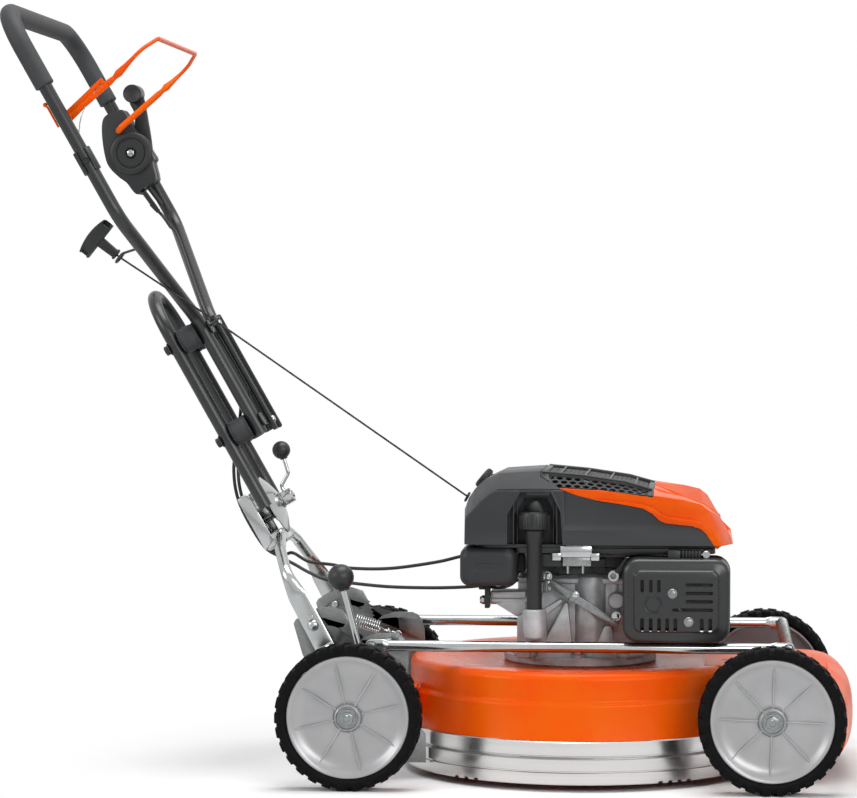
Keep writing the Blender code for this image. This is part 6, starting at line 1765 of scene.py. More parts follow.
    def straps(self) -> Shape:
        """Makes the flat brace across the casting, its clip and the strap to the muffler.

        Returns:
            The straps.
        """
        first, last = Vector((0.2798, 0.0, 0.2837)), Vector((0.379, 0.0, 0.2215))
        way = (last - first).normalized()
        side = Vector((-way.z, 0.0, way.x)) * 0.0058
        corners = [first + side, last + side, last - side, first - side]
        shape = prism([(c.x, c.z) for c in corners], -0.1075, -0.103, soft=0.001)
        edge = [first + side, last + side, last + side * 0.72, first + side * 0.72]
        shape.add(prism([(c.x, c.z) for c in edge], -0.1095, -0.103, soft=0.0006))
        middle = first + way * 0.04
        clip = [
            middle - way * 0.0045 + side * 1.5, middle + way * 0.0045 + side * 1.5, middle + way * 0.0045 - side * 1.25,
            middle - way * 0.0045 - side * 1.25,
        ]
        shape.add(
            prism([(c.x, c.z) for c in clip], -0.111, -0.1, soft=0.0012),
            prism([(0.264, 0.269), (0.264, 0.283), (0.28, 0.287), (0.283, 0.272)], -0.106, -0.084, soft=0.0015),
        )
        for x in (0.2685, 0.2755):
            shape.add(rod((x, -0.108, 0.269), (x, -0.108, 0.284), 0.0022, 16, 0.0004))
        shape.add(block((0.301, -0.172, 0.3135), (0.342, -0.135, 0.3268), 0.0014))
        return shape


@dataclass
class AirBox:
    """The air filter's box with its lid, seam and sunken panel."""

    low: tuple = (0.152, -0.172, 0.2828)
    high: tuple = (0.234, -0.09, 0.34)
    corner: float = 0.014

    def build(self) -> None:
        """Builds the box and its intake."""
        (x0, y0, z0), (x1, y1, z1) = self.low, self.high
        outline = rounded_box((x0, z0), (x1, z1), self.corner, 8)
        loops = []
        for gap, y in (
            (0.025, y0 + 0.0022), (0.024, y0 + 0.0022), (0.0225, y0 + 0.0012), (0.013, y0 + 0.0004),
            (0.009, y0 + 0.001), (0.005, y0 + 0.003), (0.002, y0 + 0.0066), (0.0004, y0 + 0.011), (0.0, y0 + 0.018),
            (0.0, y0 + 0.04), (0.0014, y0 + 0.0404), (0.0014, y0 + 0.042), (0.0, y0 + 0.0424), (0.0, y1 - 0.006),
            (0.003, y1 - 0.0014), (0.008, y1),
        ):
            span = Vector((x1 - x0, z1 - z0))
            middle = Vector((x0 + x1, z0 + z1)) / 2
            scale = (1 - 2 * gap / span.x, 1 - 2 * gap / span.y)
            loops.append(
                [(middle.x + (x - middle.x) * scale[0], y, middle.y + (z - middle.y) * scale[1]) for x, z in outline]
            )
        shape = lofted(loops)
        shape.add(block((0.204, -0.1, 0.296), (0.244, -0.045, 0.326), 0.006, 3))
        shape.fit("fine_air_box", "chassis", Slot.DARK_GREY_PLASTIC, "air_filter_box", smooth=26)


@dataclass
class OilFiller:
    """The upright filler tube and its winged cap."""

    x: float = 0.26
    y: float = -0.165
    tube_radius: float = 0.0112
    cap_radius: float = 0.022

    def build(self) -> None:
        """Builds the tube and the cap."""
        centre = (self.x, self.y, 0.0)
        radius = self.tube_radius
        tube = turned(
            [
                (radius, 0.231), (radius, 0.345), (radius + 0.0022, 0.349), (radius + 0.0026, 0.364),
                (radius + 0.0016, 0.3655), (radius - 0.0022, 0.3655), (radius - 0.0024, 0.231),
            ], centre, steps=48, closed=True,
        )
        tube.fit("fine_filler_tube", "chassis", Slot.BLACK_PLASTIC, "oil_filler_tube")
        outer = self.cap_radius
        cap = turned(
            [
                (0.0, 0.3663), (outer - 0.0016, 0.3663), (outer - 0.0006, 0.3672), (outer - 0.0004, 0.386),
                (outer - 0.0018, 0.39), (outer - 0.0048, 0.3918), (outer - 0.0066, 0.3912), (outer - 0.0084, 0.3892),
                (0.0, 0.3888),
            ], centre, steps=96,
        )
        rib = block((outer - 0.0008, -0.0012, 0.3675), (outer + 0.0004, 0.0012, 0.3862), 0.0004)
        cap.add(rib.ringed(28, Vector(), UP).moved(Matrix.Translation(centre)))
        wing = [
            (-0.017, 0.3885), (-0.015, 0.399), (-0.012, 0.402), (0.004, 0.4082), (0.009, 0.408), (0.013, 0.402),
            (0.017, 0.3885),
        ]
        turn = Matrix.Translation((self.x, self.y, 0)) @ Matrix.Rotation(math.radians(-38), 4, "Z")
        cap.add(
            prism(wing, -0.0046, 0.0046, soft=0.0018).moved(turn),
            rod((self.x, self.y, 0.235), (self.x, self.y, 0.3665), 0.003, 16, 0.0004),
        )
        cap.fit("fine_oil_cap", "oil_cap_body", Slot.BLACK_PLASTIC, "oil_cap")


@dataclass
class Exhaust:
    """The muffler and the pressed guard over it."""

    low: tuple = (0.388, 0.2075)
    high: tuple = (0.5405, 0.328)
    corner: float = 0.0215
    front_y: float = -0.215
    back_y: float = -0.151
    thickness: float = 0.0018

    def build(self) -> None:
        """Builds the guard, its screws and the muffler's body."""
        self.guard().fit("fine_guard", "chassis", Slot.BLACK_POWDER_COAT, "muffler_guard", smooth=40)
        self.screws().fit("fine_guard_screws", "chassis", Slot.ZINC_PLATED_STEEL)
        # The muffler's near-black finish is painted shade for the dark behind the guard's slots
        self.body().fit("fine_muffler", "chassis", Slot.CAST_ALUMINIUM, "muffler", finish=Special.HOT_STEEL)

    def ring(self, gap: float, y: float) -> list:
        """A rounded rectangle of the guard at a depth, smaller by a gap all round.

        Args:
            gap: how much smaller it is.
            y: its depth.

        Returns:
            The ring's points.
        """
        low, high = self.low, self.high
        outline = rounded_box(
            (low[0] + gap, low[1] + gap), (high[0] - gap, high[1] - gap), max(self.corner - gap * 0.72, 0.004), 8
        )
        return [(x, y, z) for x, z in outline]

    def guard(self) -> Shape:
        """Makes the pressed guard with its raised face and slots.

        Returns:
            The guard.
        """
        front = self.front_y
        steps = [
            (-0.0012, self.back_y), (-0.0012, self.back_y - 0.0012), (0.0, self.back_y - 0.003), (0.0, front + 0.016),
            (0.0008, front + 0.0118), (0.003, front + 0.009), (0.007, front + 0.0074), (0.0135, front + 0.006),
            (0.0156, front + 0.0048), (0.0166, front + 0.002), (0.0176, front + 0.0008), (0.0196, front + 0.0002),
        ]
        shape = lofted([self.ring(gap, y) for gap, y in steps], capped=False)
        bmesh.ops.edgeloop_fill(
            shape.bm, edges=[e for e in shape.bm.edges if e.is_boundary and abs(e.verts[0].co.y - front) < 0.001]
        )
        bmesh.ops.recalc_face_normals(shape.bm, faces=shape.bm.faces)
        for face in shape.bm.faces:
            if abs(face.normal.y) > 0.99 and face.calc_center_median().y < front + 0.001 and face.normal.y > 0:
                bmesh.ops.reverse_faces(shape.bm, faces=shape.bm.faces)
                break
        bmesh.ops.solidify(shape.bm, geom=shape.bm.faces[:], thickness=self.thickness)
        tool = Shape()
        for x in (0.4159, 0.4281, 0.4395):
            tool.add(self.slot((x, 0.2835), (x, 0.2962), 0.0026))
        for x in (0.4159, 0.4281, 0.4401, 0.4516, 0.4631, 0.5006, 0.5126):
            tool.add(self.slot((x, 0.227), (x, 0.2415), 0.0027))
        for x, z in ((0.4775, 0.2918), (0.4775, 0.2799), (0.4775, 0.268), (0.459, 0.2561)):
            tool.add(self.slot((x + 0.0022, z), (0.514, z), 0.0024))
        shape.carved(tool)
        bridge = prism(
            [(0.47, 0.253), (0.474, 0.253), (0.469, 0.2592), (0.465, 0.2592)], front + 0.0002, front + 0.0018,
            soft=0.0003,
        )
        shape.add(bridge)
        plug = turned(
            [
                (0.0, 0.001), (0.0098, 0.001), (0.0104, 0.0004), (0.0106, -0.001), (0.0116, -0.001), (0.012, 0.0004),
                (0.0128, 0.0008), (0.0136, -0.0004),
            ], (0.4314, front, 0.2638), (0, -1, 0), 48,
        )
        shape.add(plug, block((0.44, -0.1545, 0.3256), (0.5, -0.14, 0.3395), 0.002))
        return shape

    def slot(self, first: tuple, last: tuple, half: float) -> Shape:
        """A tool that cuts one round-ended slot through the face."""
        return prism(capsule(first, last, half), self.front_y - 0.01, self.front_y + 0.012)

    def screws(self) -> Shape:
        """Makes the two flanged screws of the face.

        Returns:
            The screws.
        """
        shape = Shape()
        for x, z in ((0.459, 0.2791), (0.482, 0.2388)):
            shape.add(
                rod((x, self.front_y + 0.0005, z), (x, self.front_y - 0.0008, z), 0.007, 32, 0.0005),
                nut((x, self.front_y, z), (x, self.front_y - 0.0038, z), 0.005),
            )
        return shape

    def body(self) -> Shape:
        """Makes the muffler behind the slots and the pipe to the cylinder.

        Returns:
            The muffler.
        """
        shape = prism(rounded_box((0.404, 0.2255), (0.525, 0.31), 0.014), -0.21, -0.156, soft=0.006, segments=3)
        shape.add(
            prism(rounded_box((0.402, 0.2235), (0.527, 0.312), 0.015), -0.186, -0.182, soft=0.001),
            rod((0.47, -0.158, 0.262), (0.47, -0.064, 0.262), 0.014, 36, 0.002),
        )
        return shape


@dataclass
class Fork:
    """The silver lower handle: flanged head, two bent legs with flat feet, and the dished clamp disc."""

    tube_radius: float = 0.0082
    foot: tuple = FORK_PIVOT
    slot_bolt: tuple = SLOT_BOLT
    foot_y: float = 0.1565
    foot_thickness: float = 0.004
    disc_radius: float = 0.0465

    def build(self) -> None:
        """Builds the head with both legs, and the disc."""
        shape = self.head()
        for side in Side:
            shape.add(self.leg(side), self.pins(side))
        shape.fit("fine_fork", "fork_body", Slot.BRIGHT_STEEL, "fork", smooth=30)
        self.disc().fit("fine_clamp_disc", "fork_body", Slot.BRIGHT_STEEL, "clamp_disc")

    def head(self) -> Shape:
        """Makes the head: a pressed channel whose flanges face sideways, with the bolt's boss.

        Returns:
            The head.
        """
        web = prism(
            [(-0.05, -0.156), (0.05, -0.156), (0.048, -0.076), (0.03, -0.068), (-0.03, -0.068), (-0.048, -0.076)],
            -0.083, -0.0802, "X", 0.0008,
        )
        for side in Side:
            flange = [(-0.083, -0.156), (-0.064, -0.148), (-0.064, -0.08), (-0.07, -0.07), (-0.083, -0.07)]
            web.add(prism(flange, side * 0.0474, side * 0.05, soft=0.0008))
        web.add(
            block((-0.081, -0.048, -0.16), (-0.046, 0.048, -0.138), 0.005, 3),
            rod((-0.0815, 0, -0.1025), (-0.0515, 0, -0.1025), 0.019, 40, 0.0015),
            nut((-0.0895, 0, -0.1025), (-0.0828, 0, -0.1025), 0.0092),
        )
        return web.moved(handle_place())

    def leg(self, side: Side) -> Shape:
        """Makes one leg: round tube with two bends, pressed flat into its foot.

        Args:
            side: the side that it stands on.

        Returns:
            The leg.
        """
        top = [on_handle(-0.147, side * 0.03, -0.058), on_handle(-0.15, side * 0.05, -0.053)]
        knee, foot, y = Vector((-0.08, 0, 0.257)), Vector((self.foot[0], 0, self.foot[1])), side * self.foot_y
        points = [
            *top, Vector((-0.1165, side * 0.1, 0.329)), Vector((-0.101, side * 0.15, 0.297)),
            Vector((-0.086, y, 0.269)), Vector((-0.069, y, 0.2375)), Vector((self.foot[0], y, self.foot[1])),
        ]
        path = rounded(points, [0.022, 0.04, 0.034, 0.06, 0.06], 8)
        path = [p for k, p in enumerate(path) if k == 0 or (p - path[k - 1]).length > 0.0006]
        way = (foot - knee).normalized()
        path[-1] = path[-1] - way * 0.004
        sizes = []
        for point in path:
            share = min(max((0.306 - point.z) / 0.05, 0.0), 1.0)
            share = share * share * (3 - 2 * share)
            sizes.append(
                (
                    self.tube_radius + (0.0145 - self.tube_radius) * share,
                    self.tube_radius + (0.0021 - self.tube_radius) * share,
                )
            )
        cut = max(k for k, point in enumerate(path) if point.z > 0.306)
        shape = swept(path[:cut + 2], self.tube_radius, 32)
        shape.add(swept(path[cut:], sizes[cut:], 32, Vector((0, side, 0)).cross(path[-1] - path[-2])))
        heel = arc(
            (self.foot[0], self.foot[1]), 0.0145, math.degrees(math.atan2(way.z, way.x)) - 90,
            math.degrees(math.atan2(way.z, way.x)) + 90, 20,
        )
        back = [
            (self.foot[0] - way.x * 0.01 + dx, self.foot[1] - way.z * 0.01 + dz)
            for dx, dz in ((way.z * -0.0145, way.x * 0.0145), (way.z * 0.0145, way.x * -0.0145))
        ]
        return shape.add(prism([*heel, *back], y - 0.0021, y + 0.0021, soft=0.0007))

    def pins(self, side: Side) -> Shape:
        """Makes the foot's pivot pin and the domed slot bolt with its square neck.

        Args:
            side: the side that they sit on.

        Returns:
            The pins.
        """
        shape = Shape()
        outer = side * (self.foot_y + self.foot_thickness / 2)
        for place, radius in ((self.foot, 0.009), (self.slot_bolt, 0.0085)):
            shape.add(rod((place[0], side * 0.14, place[1]), (place[0], outer, place[1]), 0.005, 24, 0.0006))
            dome = [
                (0.0, 0.0052), (0.003, 0.005), (0.0056, 0.0041), (0.0076, 0.0024), (radius, 0.0004), (radius, -0.001),
                (0.0, -0.001),
            ]
            shape.add(turned(dome, (place[0], outer, place[1]), (0, side, 0), 36))
        x, z = self.slot_bolt
        neck = (x - 0.0085, outer - side * 0.0005, z + 0.007), (x + 0.0005, outer + side * 0.003, z + 0.015)
        shape.add(block(*neck, 0.0008))
        return shape

    def disc(self) -> Shape:
        """Makes the dished disc that grips the handle's tongue.

        Returns:
            The disc.
        """
        radius = self.disc_radius
        outer = [
            (0.0053, 0.0125), (0.014, 0.0125), (0.017, 0.0118), (0.024, 0.0098), (0.033, 0.0066), (0.041, 0.003),
            (0.045, 0.0014), (radius, 0.0006),
        ]
        inner = [(radius, -0.0006), (0.044, -0.0002), (0.033, 0.0044), (0.017, 0.0096), (0.0053, 0.0103)]
        shape = turned([*outer, *inner], on_handle(-0.1025, 0, -0.0447), HANDLE_OUT, 96, closed=True)
        washer = turned(
            [(0.0053, 0.0126), (0.012, 0.0126), (0.012, 0.0146), (0.0053, 0.0146)], on_handle(-0.1025, 0, -0.0447),
            HANDLE_OUT, 40, closed=True,
        )
        return shape.add(washer)


@dataclass
class Clamp:
    """The clamp bolt with its nut, cranked lever and ball."""

    along: float = -0.1025
    rod_radius: float = 0.0028
    ball_radius: float = 0.0135

    def build(self) -> None:
        """Builds the bolt with its lever, and the ball."""
        def at(out: float) -> Vector:
            """A point of the bolt's axis."""
            return on_handle(self.along, 0, out)

        shape = rod(at(-0.083), at(-0.0105), 0.005, 24, 0.0006)
        shape.add(nut(at(-0.0296), at(-0.0125), 0.0115, 25.0), rod(at(-0.0316), at(-0.0296), 0.0125, 36, 0.0005))
        path = rounded(
            [on_handle(-0.0985, 0, -0.021), on_handle(-0.084, 0, -0.0225), (-0.1162, 0, 0.435), (-0.1245, 0, 0.4615)],
            0.007, 8,
        )
        shape.add(swept(path, self.rod_radius, 20))
        shape.fit("fine_clamp_lever", "clamp", Slot.BRIGHT_STEEL, "clamp_lever")
        knob = ball((-0.1268, 0, 0.4693), self.ball_radius)
        way = Vector((-0.0083, 0, 0.0265)).normalized()
        knob.add(
            rod(
                Vector((-0.1268, 0, 0.4693)) - way * (self.ball_radius + 0.0006), Vector((-0.1268, 0, 0.4693)), 0.0056,
                24, 0.0004,
            )
        )
        knob.fit("fine_clamp_ball", "clamp", Slot.BLACK_PLASTIC, "clamp_knob")


@dataclass
class Handle:
    """The folding handle: lower hoop, rubber buffers, neck plate, upper tube, grip and sleeve."""

    tube_radius: float = 0.01
    half_width: float = 0.262
    neck_half: float = 0.065
    hoop_out: float = -0.048
    buffer_radius: float = 0.0188
    buffer_places: tuple = (0.017, 0.173)
    grip_start: float = 0.575
    grip_radius: float = 0.0142

    def build(self) -> None:
        """Builds every piece of the handle."""
        self.hoop().fit("fine_hoop", "handle", Slot.BLACK_POWDER_COAT, "lower_hoop")
        for along, level in zip(self.buffer_places, ("lower", "upper")):
            for side in Side:
                node = f"buffer_{level}_{side.hand}"
                self.rubber(along, side).fit(f"fine_{node}", "handle", Slot.GRIP_RUBBER, node)
        self.neck_plate().fit("fine_neck_plate", "handle", Slot.BLACK_POWDER_COAT, "neck_channel")
        self.neck_bolts().fit("fine_neck_bolts", "handle", Slot.BRIGHT_STEEL)
        self.tube().fit("fine_upper_tube", "handle", Slot.BLACK_POWDER_COAT, "upper_handle")
        self.sleeve().fit("fine_cable_sleeve", "handle", Slot.BLACK_PLASTIC)
        self.grip().fit("fine_grip", "handle", Slot.GRIP_RUBBER, "handle_grip")

    def hoop(self) -> Shape:
        """Makes the lower hoop with its tongue plate and stud heads.

        Returns:
            The hoop.
        """
        out, half, radius = self.hoop_out, self.neck_half, self.tube_radius
        path = [on_handle(-0.1, -half, out), on_handle(0.045, -half, out), on_handle(0.19, -half, out)]
        path += [
            on_handle(0.19 + half * math.sin(t), -half * math.cos(t), out)
            for t in [math.pi * k / 24 for k in range(1, 24)]
        ]
        path += [on_handle(0.19, half, out), on_handle(0.045, half, out), on_handle(-0.1, half, out)]
        shape = swept(path, radius, 28)
        plan = [(half - 0.005, -0.076), (half - 0.005, -0.098), (0.03, -0.118)]
        plan += [
            (0.026 * math.cos(t), -0.1025 - 0.026 * math.sin(t))
            for t in [math.radians(40 + 100 * k / 10) for k in range(11)]
        ]
        plan += [(-0.03, -0.118), (-half + 0.005, -0.098), (-half + 0.005, -0.076)]
        shape.add(prism(plan, -0.0508, -0.0452, "X", 0.001).moved(handle_place()))
        for along in self.buffer_places:
            for side in Side:
                shape.add(
                    rod(
                        on_handle(along, side * half, -0.059), on_handle(along, side * half, -0.057), 0.0098, 28, 0.0005
                    ), nut(on_handle(along, side * half, -0.0655), on_handle(along, side * half, -0.0588), 0.0074),
                )
        return shape

    def rubber(self, along: float, side: Side) -> Shape:
        """Makes one rubber buffer between its two steel washers.

        Args:
            along: its place on the handle.
            side: the side that it sits on.

        Returns:
            The buffer.
        """
        low, high, radius = -0.0378, -0.0102, self.buffer_radius
        profile = [
            (0.0052, low), (radius - 0.001, low), (radius, low + 0.0008), (radius, low + 0.0018),
            (radius - 0.0012, low + 0.0024), (radius - 0.0006, low + 0.004), (radius + 0.0001, -0.03),
            (radius + 0.0002, -0.024), (radius + 0.0001, -0.018), (radius - 0.0006, high - 0.004),
            (radius - 0.0012, high - 0.0024), (radius, high - 0.0018), (radius, high - 0.0008), (radius - 0.001, high),
            (0.0052, high),
        ]
        shape = turned(profile, on_handle(along, side * self.neck_half, 0.0), HANDLE_OUT, 64, closed=True)
        return shape

    def neck_plate(self) -> Shape:
        """Makes the plate between the tubes, its two cross straps and the rope's guide.

        Returns:
            The plate.
        """
        outline = rounded_box((-0.032, -0.006), (0.032, 0.188), 0.012, 8)
        shape = prism(outline, 0.0128, 0.0156, "X", 0.0008)
        for side in Side:
            flange = rounded_box((0.013, -0.006), (0.0208, 0.188), 0.0036)
            shape.add(prism(flange, side * 0.0294, side * 0.032, soft=0.0007))
        for along in self.buffer_places:
            strap = rounded_box((-0.074, along - 0.01), (0.074, along + 0.01), 0.006)
            shape.add(prism(strap, 0.0102, 0.0128, "X", 0.0007))
        shape.moved(handle_place())
        guide = turned(
            arc((0.0066, 0.0), 0.0026, 0, 340, 15), on_handle(0.175, -0.088, 0.0255), Vector((-0.8, 0.0, 0.6)), 32,
            closed=True,
        )
        stem = swept(
            rounded(
                [on_handle(0.175, -0.06, 0.0135), on_handle(0.175, -0.076, 0.0175), on_handle(0.175, -0.083, 0.0215)],
                0.008, 6,
            ), [(0.0048, 0.002)] * 9, 12,
        )
        return shape.add(guide, stem)

    def neck_bolts(self) -> Shape:
        """Makes the bright screws at both ends of the neck plate.

        Returns:
            The screws.
        """
        shape = Shape()
        for along in (0.01, 0.174):
            foot = on_handle(along, -0.024, 0.015)
            shape.add(
                turned(
                    [(0.0, 0.009), (0.0026, 0.0088), (0.0048, 0.0076), (0.0056, 0.0056), (0.0058, 0.0), (0.0, 0.0)],
                    foot, HANDLE_OUT, 32,
                ), turned([(0.0, 0.0008), (0.0078, 0.0008), (0.008, 0.0), (0.0, 0.0)], foot, HANDLE_OUT, 32),
            )
        return shape

    def tube_path(self) -> list:
        """The upper tube's centre line from the right foot round to the left one.

        Returns:
            The line's points.
        """
        half = self.half_width
        side = [(-0.002, self.neck_half), (0.19, self.neck_half), (0.36, half), (0.593, half)]
        right = [on_handle(a, -y, 0.0) for a, y in side]
        left = [on_handle(a, y, 0.0) for a, y in reversed(side)]
        top = [on_handle(0.698, -half, 0.0), on_handle(0.698, half, 0.0)]
        path = rounded([*right, *top, *left], [0.05, 0.05, 0.05, 0.095, 0.095, 0.05, 0.05, 0.05], 10)
        return [p for k, p in enumerate(path) if k == 0 or (p - path[k - 1]).length > 0.0005]

    def tube(self) -> Shape:
        """Makes the bent upper tube and the wire hook that the starter grip hangs in.

        Returns:
            The tube.
        """
        shape = swept(self.tube_path(), self.tube_radius, 28)
        foot = on_handle(0.314, -0.208, -0.004)
        across, reach = Vector((0.621, 0.0, 0.784)), 0.0086
        ring = [
            ROPE_HOOK + across * reach * math.cos(t) + Vector((0, reach, 0)) * math.sin(t)
            for t in [math.radians(20 + 15 * k) for k in range(22)]
        ]
        shape.add(swept([foot, foot.lerp(ring[0], 0.5), *ring], 0.0019, 12))
        return shape

    def sleeve(self) -> Shape:
        """Makes the two half shells of the cable clip and its screw.

        Returns:
            The clip.
        """
        shape = Shape()
        axis_foot, out = on_handle(0.436, -self.half_width, 0.0), self.tube_radius
        place = frame_on(axis_foot, HANDLE_UP, HANDLE_OUT)
        for turn in (0, 180):
            half = [math.radians(turn + 56 - 112 * k / 14) for k in range(15)]
            outline = [(math.cos(t) * (out + 0.0032), math.sin(t) * (out + 0.0032)) for t in half]
            outline += [(math.cos(t) * (out + 0.0001), math.sin(t) * (out + 0.0001)) for t in reversed(half)]
            shape.add(prism(outline, 0.0, 0.035, "Z", 0.0005).moved(place))
        middle = on_handle(0.453, -self.half_width, 0.0)
        shape.add(
            rod(middle + Vector((0, -0.009, 0)), middle + Vector((0, -0.0112, 0)), 0.0042, 28, 0.0006),
            turned(
                [(0.0044, 0.0), (0.0056, 0.0), (0.0056, 0.0012), (0.0044, 0.0012)], middle + Vector((0, -0.01, 0)),
                (0, -1, 0), 28, closed=True,
            ),
        )
        return shape

    def grip(self) -> Shape:
        """Makes the soft grip with its rolled ends.

        Returns:
            The grip.
        """
        half, start = self.half_width, self.grip_start
        corners = [(start, -half), (0.698, -half), (0.698, half), (start, half)]
        path = rounded([on_handle(a, y, 0.0) for a, y in corners], 0.095, 20)
        ends = [0.0, 0.0008, 0.002, 0.005]
        first, last = path[0], path[-1]
        head = [first + HANDLE_UP * e for e in ends]
        tail = [last + HANDLE_UP * e for e in reversed(ends)]
        full = self.grip_radius
        sizes = [full - 0.0014, full - 0.0004, full + 0.0002, full]
        radii = sizes + [full] * (len(path) - 2) + sizes[::-1]
        return swept([*head, *path[1:-1], *tail], [(r, r) for r in radii], 36)


@dataclass
class StopBail:
    """The orange stop bail: bent rod, pressed flat towards its crossbar, with the cable's plate."""

    pivot: tuple = (-0.4052, 0.9538)
    kink: tuple = (-0.3365, 1.015)
    bar: tuple = (-0.28, 1.071)
    radius: float = 0.0048

    def build(self) -> None:
        """Builds the bail."""
        self.bail().fit("fine_bail", "bail", Slot.ORANGE_ENAMEL, "stop_bail", smooth=36)

    def bail(self) -> Shape:
        """Makes the bail in one piece.

        Returns:
            The bail.
        """
        px, pz = self.pivot
        corners = [
            (px, -0.2517, pz), (px, -0.2377, pz), (self.kink[0], -0.226, self.kink[1]), *self.bowed(-0.23, -0.236),
            (self.bar[0], -0.195, self.bar[1]), (self.bar[0], 0.17, self.bar[1]), *reversed(self.bowed(0.205, 0.211)),
            (self.kink[0], 0.196, self.kink[1]), (px, 0.1875, pz), (px, 0.2155, pz),
        ]
        path = rounded(corners, [0.007, 0.012, 0.012, 0.024, 0.022, 0.022, 0.024, 0.012, 0.012, 0.012], 7)
        path = [p for k, p in enumerate(path) if k == 0 or (p - path[k - 1]).length > 0.0007]
        fine = [path[0]]
        for a, b in zip(path, path[1:]):
            steps = max(int((b - a).length / 0.008), 1)
            fine += [a.lerp(b, k / steps) for k in range(1, steps + 1)]
        sizes = []
        for p in fine:
            past = (p.x - px) / (self.bar[0] - px)
            bulge = math.exp(-(((p.x - self.kink[0] - 0.0062) / 0.004) ** 2))
            waist = math.exp(-(((p.x - self.kink[0]) / 0.0028) ** 2))
            flat = min(max((past - 0.62) / 0.12, 0.0), 1.0)
            wide = self.radius + 0.0018 * bulge - 0.0016 * waist - 0.0012 * flat
            thick = self.radius + 0.001 * bulge - 0.0016 * waist - 0.002 * flat
            sizes.append((wide, thick))
        shape = swept(fine, sizes, 20, Vector((0.6, 0.0, 0.6)))
        shape.add(ball((px, -0.2517, pz), self.radius * 1.05), ball((px, 0.213, pz), self.radius * 1.1))
        offsets = [
            (-0.006, -0.004), (0.004, -0.007), (0.049, 0.0375), (0.0604, 0.0474), (0.051, 0.0588), (0.04, 0.049),
            (-0.006, 0.006),
        ]
        outline = [(px + x, pz + z) for x, z in offsets]
        plate = prism(outline, -0.2447, -0.2422)
        hole = rod((px + 0.05, -0.26, pz + 0.049), (px + 0.05, -0.23, pz + 0.049), 0.0021, 20)
        slot = prism(capsule((px + 0.04, pz + 0.037), (px + 0.0445, pz + 0.0425), 0.002), -0.26, -0.23)
        plate.carved(hole.add(slot)).soften(0.0006, 2, 40)
        rib = swept(
            [(px + 0.002, -0.244, pz + 0.0005), (px + 0.03, -0.244, pz + 0.0245), (px + 0.058, -0.243, pz + 0.048)],
            [(0.0036, 0.003), (0.0046, 0.0034), (0.003, 0.0026)], 16,
        )
        shape.add(plate, rib)
        return shape

    def bowed(self, first_y: float, second_y: float) -> list:
        """Gives two points between the kink and the crossbar, where an arm bows outwards."""
        (kx, kz), (bx, bz) = self.kink, self.bar
        return [(kx + (bx - kx) * t, y, kz + (bz - kz) * t) for t, y in ((0.3, first_y), (0.68, second_y))]


